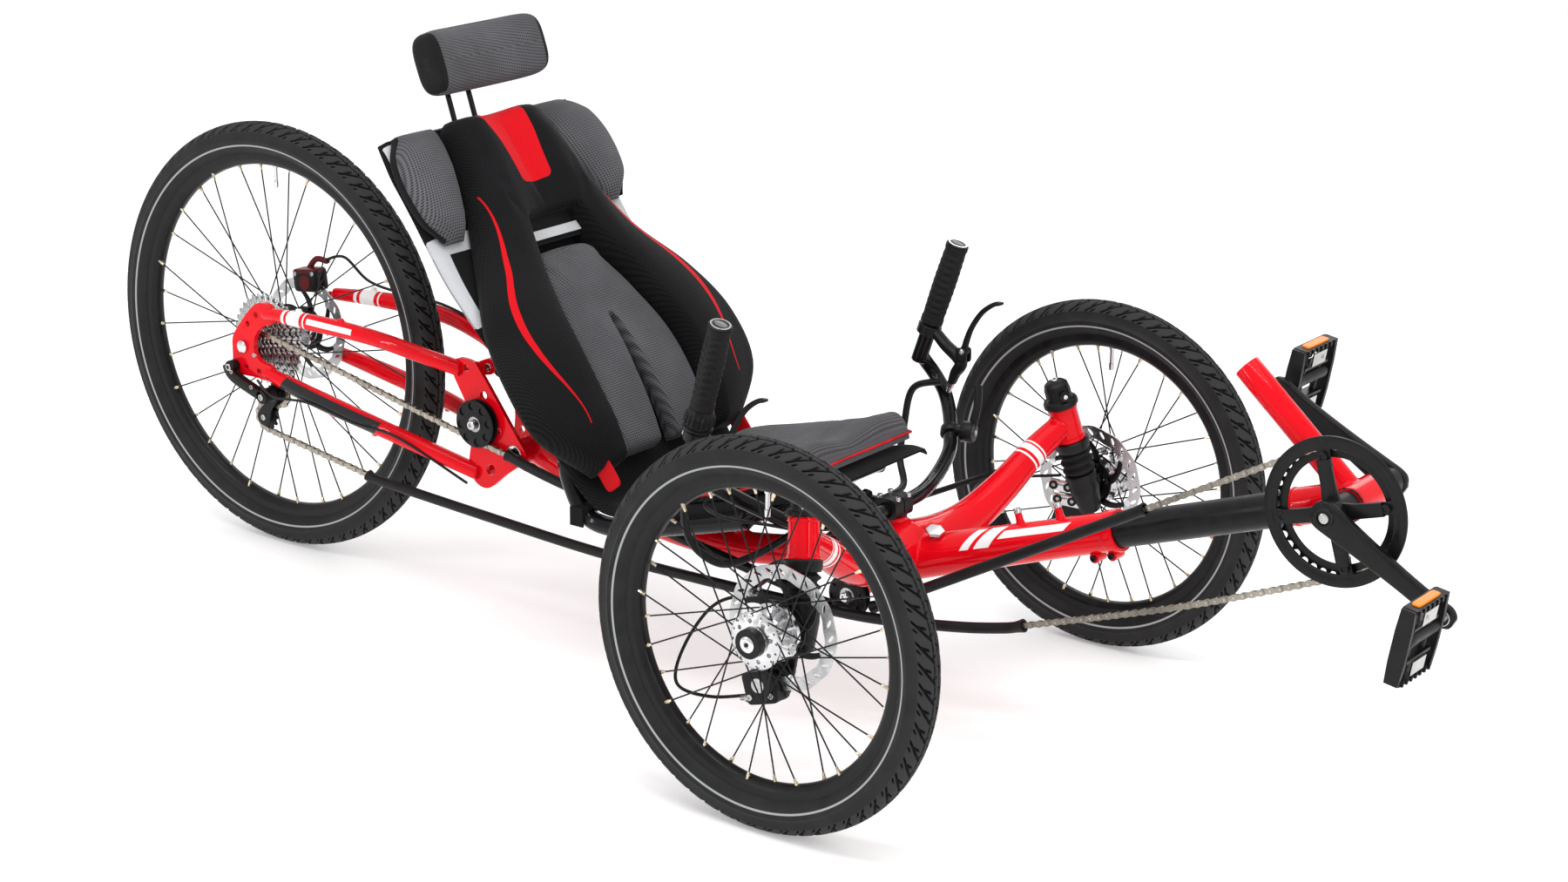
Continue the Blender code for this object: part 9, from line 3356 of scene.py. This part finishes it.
@dataclass
class RearArm:
    """Swingarm, its pivot, the shock and the rear caliper."""

    plate_inner: float = 0.043
    plate_thick: float = 0.006
    drop_inner: float = 0.068
    drop_thick: float = 0.0085

    def bands(self) -> tuple[Band, ...]:
        """White bands on the upper tubes and a dark stripe on the lower ones.

        Returns:
            The marks.
        """
        found = []
        for s in (1, -1):
            a, b = rear(0.15, s * 0.079, 0.062), rear(0.26, s * 0.077, 0.06)
            axis = unit(b - a)
            for low, high in ((-0.06, -0.054), (-0.048, -0.02), (-0.013, -0.01)):
                found.append(Band(tuple(a), tuple(axis), low, high, 0.03))
            found.append(Band(tuple(a), tuple(axis), -0.004, 0.085, 0.03, facing=(0, s, 0.35),
                              half_width=0.0042))
            a, b = rear(0.15, s * 0.079, -0.052), rear(0.3, s * 0.075, -0.078)
            axis = unit(b - a)
            found.append(Band(tuple(a), tuple(axis), -0.065, 0.13, 0.03, (0.022, 0.022, 0.024),
                              facing=(0, s, 0.15), half_width=0.0105, slant=0.4))
        return tuple(found)

    def build(self) -> None:
        """Tubes, plates, axle, shock, caliper."""
        self.tubes()
        self.plates()
        self.shock()
        self.caliper()

    def tubes(self) -> None:
        """Both pairs of tubes with their cross tubes, fused."""
        paint = Paint("swingarm paint", RED, 0.16, bands=self.bands())
        middle = self.drop_inner + self.drop_thick / 2
        plate_y = self.plate_inner + self.plate_thick / 2
        shapes = []
        for s in (1, -1):
            upper = smooth([rear(0.044, s * middle, 0.057), rear(0.15, s * 0.079, 0.062),
                            rear(0.26, s * 0.077, 0.06), rear(0.345, s * 0.066, 0.047),
                            front(-0.795, s * plate_y, 0.108)], 10)
            shapes.append(tube(upper, smooth(vec(0.0095, 0.0125, 0.012, 0.0118, 0.0115), 10), 28))
            lower = smooth([rear(0.042, s * middle, -0.034), rear(0.15, s * 0.079, -0.052),
                            rear(0.3, s * 0.075, -0.078), front(-0.765, s * plate_y, -0.04)], 10)
            shapes.append(tube(lower, smooth(vec(0.01, 0.0135, 0.0125, 0.0118), 10), 28))
            for p in (0.12, 0.205):
                lug = rear(p, s * 0.0785, 0.062 + 0.0125)
                shapes.append(rod(lug - Z_AXIS * 0.004, lug + Z_AXIS * 0.0035, 0.0048, 20))
            for p, z in ((0.185, -0.071), (0.265, -0.0845)):
                shapes.append(rod(rear(p, s * 0.077, z + 0.004), rear(p, s * 0.077, z - 0.0035), 0.005, 20))
        for place, radius in ((front(-0.795, 0, 0.1), 0.011), (front(-0.762, 0, -0.04), 0.01)):
            wide = Y_AXIS * (self.plate_inner + 0.003)
            shapes.append(rod(place - wide, place + wide, radius, 28))
        welded("swingarm_tubes", "rear_arm", ("swingarm",), shapes, paint, "frame_red", voxel=0.002, rounds=4)

    def plates(self) -> None:
        """Pivot plates and dropouts with their holes, and the small parts on them."""
        outline = [PIVOT + vec(0.02, 0, -0.008), PIVOT + vec(0.022, 0, 0.006), PIVOT + vec(0.01, 0, 0.021),
                   front(-0.757, 0, 0.112), front(-0.772, 0, 0.124), front(-0.8, 0, 0.124),
                   front(-0.812, 0, 0.106), REAR_IDLER * vec(1, 0, 1) + vec(-0.018, 0, 0),
                   front(-0.782, 0, -0.03), front(-0.77, 0, -0.054), front(-0.745, 0, -0.058),
                   front(-0.712, 0, -0.032)]
        loop = smooth(outline + outline[:1], 5)[:-1]
        shape = [rear(-0.024, 0, 0.004), rear(-0.016, 0, 0.022), rear(0.026, 0, 0.068), rear(0.058, 0, 0.07),
                 rear(0.062, 0, 0.046), rear(0.04, 0, 0.036), rear(0.024, 0, 0.018), rear(0.022, 0, -0.006),
                 rear(0.034, 0, -0.018), rear(0.056, 0, -0.024), rear(0.052, 0, -0.044),
                 rear(0.022, 0, -0.044), rear(-0.018, 0, -0.044), rear(-0.026, 0, -0.032),
                 rear(-0.024, 0, -0.02)]
        drop = smooth(shape + shape[:1], 5)[:-1]
        piece = Piece("swingarm_plates", "rear_arm", (), "frame_red")
        for s in (1, -1):
            for line, near, thick in ((loop, self.plate_inner, self.plate_thick),
                                      (drop, self.drop_inner, self.drop_thick)):
                low, high = sorted((s * near, s * (near + thick)))
                piece.add(plate(line, low, high), RED_PAINT)
            ear = [SHOCK_TOP + vec(0.011, 0, -0.005), SHOCK_TOP + vec(0.008, 0, 0.01),
                   SHOCK_TOP + vec(-0.006, 0, 0.011), front(-0.796, 0, 0.106), front(-0.795, 0, 0.094),
                   SHOCK_TOP + vec(0.002, 0, -0.011)]
            low, high = sorted((s * 0.0085, s * 0.0145))
            piece.add(plate(smooth(ear + ear[:1], 4)[:-1], low, high), RED_PAINT)
        piece.add(plate([rear(0.03, 0, 0.05), rear(0.046, 0, 0.062), rear(0.03, 0, 0.098),
                         rear(0.008, 0, 0.09)], self.drop_inner, self.drop_inner + 0.006), RED_PAINT)
        made = piece.build()
        wide = Y_AXIS * 0.2
        cuts = [rod(PIVOT - wide, PIVOT + wide, 0.0135, 40),
                rod(REAR_AXLE - wide, REAR_AXLE + wide, 0.0056, 24)]
        for x, z, radius in ((-0.741, -0.03, 0.0085), (-0.784, 0.112, 0.005), (-0.752, 0.078, 0.0062),
                             (-0.742, 0.054, 0.0045), (-0.762, 0.004, 0.0052), (-0.724, 0.03, 0.0048)):
            for s in (1, -1):
                p = front(x, s * 0.046, z)
                cuts.append(rod(p - Y_AXIS * 0.006, p + Y_AXIS * 0.006, radius, 28))
        for x, z, radius in ((0.01, 0.036, 0.0045), (0.028, 0.052, 0.005), (0.004, -0.03, 0.004),
                             (0.03, -0.033, 0.0042)):
            for s in (1, -1):
                p = rear(x, s * (self.drop_inner + self.drop_thick / 2), z)
                cuts.append(rod(p - Y_AXIS * 0.008, p + Y_AXIS * 0.008, radius, 24))
        holes_cut(made, cuts)
        rounded_edges(made, 0.0006, 50)
        metal = Piece("pivot_axle_tube", "rear_arm", ("pivot_axle",), "steel")
        metal.add(lathe(washer(0.0058, 0.0094, -0.049, 0.049), PIVOT, sides=48), STEEL)
        for s in (1, -1):
            metal.add(lathe([(0.0092, 0.0455), (0.0136, 0.0455), (0.0136, 0.0494), (0.0128, 0.05),
                             (0.0092, 0.05)], PIVOT, Y_AXIS * s, 48), SILVER)
            metal.add(lathe(washer(0.0058, 0.009, 0.047, 0.0494), PIVOT, Y_AXIS * s, 48), PLASTIC)
        metal.add(rod(SHOCK_TOP - Y_AXIS * 0.012, SHOCK_TOP + Y_AXIS * 0.012, 0.004, 20), STEEL)
        for s in (1, -1):
            metal.add(bolt(SHOCK_TOP + Y_AXIS * s * 0.0144, Y_AXIS * s, 0.006, 0.003), STEEL)
            metal.add(bolt(rear(0.022, s * (self.drop_inner + self.drop_thick - 0.0003), -0.01), Y_AXIS * s,
                           0.0034, 0.0022), STEEL)
        metal.add(rod(REAR_IDLER + Y_AXIS * 0.011, REAR_IDLER - Y_AXIS * 0.0108, 0.004, 24), STEEL)
        metal.add(bolt(REAR_IDLER - Y_AXIS * 0.01, -Y_AXIS, 0.0068, 0.0042), SILVER)
        metal.build()

    def shock(self) -> None:
        """Air can with a pale band, shaft, eyes, knob and a side reservoir."""
        axis = unit(SHOCK_TOP - SHOCK_BOTTOM)
        length = float(np.linalg.norm(SHOCK_TOP - SHOCK_BOTTOM))
        can = [(0.0066, 0.04), (0.0066, length - 0.046), (0.0165, length - 0.046), (0.0178, length - 0.049),
               (0.0178, length - 0.054), (0.0196, length - 0.056), (0.0196, 0.062)]
        low = [(0.0196, 0.0575), (0.02, 0.056), (0.02, 0.026), (0.0178, 0.0175), (0.012, 0.014),
               (0.003, 0.0138), (0.003, 0.04)]
        band = [(0.0196, 0.062), (0.01925, 0.0615), (0.01925, 0.058), (0.0196, 0.0575)]
        piece = Piece("shock_can", "shock_body", ("shock_body",), "metal_black")
        piece.add(lathe(can + band[1:] + low, SHOCK_BOTTOM, axis, 64), SATIN_BLACK)
        piece.add(lathe([(0.019, 0.03), (0.02035, 0.0302), (0.02035, 0.052), (0.019, 0.0522)], SHOCK_BOTTOM,
                        axis, 64), PALE_LABEL)
        for s in (1, -1):
            line = np.stack([SHOCK_BOTTOM - axis * 0.008, SHOCK_BOTTOM + axis * 0.002,
                             SHOCK_BOTTOM + axis * 0.019]) + Y_AXIS * s * 0.008
            piece.add(ribbon(line, 0.0022, 0.0078, Y_AXIS, 0.5), SATIN_BLACK)
            piece.add(bolt(SHOCK_BOTTOM + Y_AXIS * s * 0.0098, Y_AXIS * s, 0.0052, 0.0024), STEEL)
        piece.add(rod(SHOCK_BOTTOM - Y_AXIS * 0.0085, SHOCK_BOTTOM + Y_AXIS * 0.0085, 0.004, 20), STEEL)
        beside = unit(np.cross(axis, Y_AXIS))
        if beside[2] < 0:
            beside = -beside
        tank = SHOCK_BOTTOM + axis * 0.03 + beside * 0.0205
        piece.add(tube(np.stack([tank, tank + axis * 0.004, tank + axis * 0.04, tank + axis * 0.044]),
                       [0.0066, 0.0082, 0.0082, 0.0062], 28), SATIN_BLACK)
        piece.add(lathe([(0, 0.044), (0.005, 0.044), (0.0054, 0.048), (0.0046, 0.0495), (0, 0.0495)], tank,
                        axis, 28), RED_KNOB)
        piece.build()
        shaft = Piece("shock_rod", "shock_shaft", ("shock_shaft",), "steel")
        shaft.add(lathe([(0.0062, -0.0064), (0.01, -0.0064), (0.0106, -0.0054), (0.0106, 0.0054),
                         (0.01, 0.0064), (0.0062, 0.0064)], SHOCK_TOP, sides=40), SATIN_BLACK)
        shaft.add(rod(SHOCK_TOP - axis * 0.0085, SHOCK_BOTTOM + axis * 0.0705, 0.006, 32), SILVER)
        shaft.add(lathe([(0, -0.0165), (0.0086, -0.0165), (0.0096, -0.014), (0.0096, -0.009), (0, -0.009)],
                        SHOCK_TOP, axis, 36), SATIN_BLACK)
        shaft.build()

    def caliper(self) -> None:
        """Dark red and black caliper over the rear disc."""
        centre = rear(0.012, 0.0545, 0.078)
        turn = turn_about(Y_AXIS, -8)
        ahead, up = turn @ X_AXIS, turn @ Z_AXIS
        piece = Piece("caliper_rear_body", "rear_arm", ("caliper_rear",), "metal_black")
        for s in (1, -1):
            piece.add(rounded_box(centre + Y_AXIS * s * 0.0077, (0.049, 0.0108, 0.035), turn, 0.28),
                      SATIN_BLACK)
            piece.add(lathe([(0, 0), (0.0118, 0), (0.0112, 0.0012), (0, 0.0014)],
                            centre + Y_AXIS * s * 0.013 - up * 0.003, Y_AXIS * s, 36), DARK_RED)
            for a in (-0.018, 0.018):
                piece.add(bolt(centre + Y_AXIS * s * 0.0128 + ahead * a + up * 0.0105, Y_AXIS * s, 0.0036,
                               0.0012), STEEL)
        piece.add(rounded_box(centre + up * 0.0135, (0.047, 0.0262, 0.0082), turn, 0.28), DARK_RED)
        line = smooth([centre + vec(-0.01, 0.008, 0.014), centre + vec(0.004, 0.01, 0.03),
                       centre + vec(0.026, 0.01, 0.03)], 8)
        piece.add(ribbon(line, 0.003, 0.0046, Y_AXIS, 0.8), DARK_RED)
        piece.add(bolt(centre + vec(0.026, 0.0128, 0.03), Y_AXIS, 0.0038, 0.0024), SILVER)
        piece.build()


# Cables


@dataclass
class Cable:
    """One cable: where it is fixed at both ends, and the line between."""

    name: str
    body: str
    marks: Sequence[Point]
    radius: float = 0.0022
    lay: str = "loose"
    stiffness: str = "medium"

    def build(self) -> None:
        """A black tube along a smooth line."""
        line = spaced(smooth(np.array(self.marks, float), 14), 90)
        piece = Piece(self.name, self.body, (), "rubber").add(tube(line, self.radius, 12), HOUSING)
        made = piece.build(smooth_deg=60)
        length_of(line)
        LOG.info("%s: cord of %.3f m", self.name, length_of(line))


@dataclass
class Cables:
    """Brake hoses and gear cables."""

    def build(self) -> None:
        """Every cable."""
        for cable in self.runs():
            cable.build()

    def runs(self) -> list[Cable]:
        """Their lines, in the trike's frame.

        Returns:
            The cables.
        """
        found = []
        for side in Side:
            s, word = side.value, side.word
            top = LEVER_PIN[side] + vec(-0.025, 0, -0.062)
            bar = [(-0.165, 0.25, 0.075), (-0.128, 0.208, 0.062), (-0.11, 0.15, 0.04)]
            found.append(Cable("hose_bar_" + word, "steering",
                               [top, top + vec(-0.006, s * 0.008, -0.016), *self.line(bar, s)]))
            rise, low = kingpin(side)
            hub = [(-0.1, 0.296, 0.0), (-0.1453, 0.3, -0.0201), (-0.17, 0.318, -0.06),
                   (-0.1797, 0.335, -0.1036), (-0.164, 0.345, -0.122), (-0.11, 0.352, -0.118),
                   (-0.05, 0.3575, -0.099)]
            start = low - rise * 0.06 + vec(-0.026, -s * 0.012, 0.0)
            found.append(Cable("hose_hub_" + word, "upright_" + word, [start, *self.line(hub, s)]))
            sleeve = [(-0.2228, 0.246, 0.1183), (-0.2367, 0.246, 0.0632), (-0.2329, 0.232, 0.0189),
                      (-0.208, 0.205, -0.008), (-0.195, 0.15, -0.008), (-0.182, 0.095, 0.006),
                      (-0.164, 0.05, 0.03), (-0.139, 0.022, 0.0412)]
            found.append(Cable("sleeve_" + word, "steering",
                               [top + vec(-0.01, 0, 0.012), *self.line(sleeve, s)], 0.005))
        found.append(Cable("hose_rear", "rear_arm", [rear(0.036, 0.065, 0.11), rear(0.07, 0.07, 0.118),
                                                     rear(0.11, 0.079, 0.086), rear(0.18, 0.08, 0.0775),
                                                     rear(0.26, 0.078, 0.075), rear(0.345, 0.066, 0.062),
                                                     front(-0.8, 0.052, 0.128)]))
        found.append(Cable("cable_gear", "rear_arm", [
            rear(0.04, -0.09, -0.042), rear(0.075, -0.093, -0.06), rear(0.15, -0.094, -0.056),
            rear(0.24, -0.092, -0.07), rear(0.32, -0.088, -0.077), front(-0.78, -0.056, -0.056)], 0.002))
        return found

    def line(self, marks: Iterable[Point], s: int) -> list[Array]:
        """Places from the front axle, on the left for 1 and mirrored for -1."""
        return [front(x, s * y, z) for x, y, z in marks]


# The trike


def main() -> None:
    """Build the stage, then the trike from its cables to its seat."""
    logging.basicConfig(level=logging.INFO, format="%(message)s")
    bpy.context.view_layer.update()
    Studio().build()
    parts = [Cables(), Wheels(), Frame(), Drive(), Steering(), Seat(), RearArm()]
    parts[3:3] = [FrontCorner(side) for side in Side]
    for part in parts:
        part.build()
        LOG.info("%s done", type(part).__name__)


if __name__ == "__main__":
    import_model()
    main()
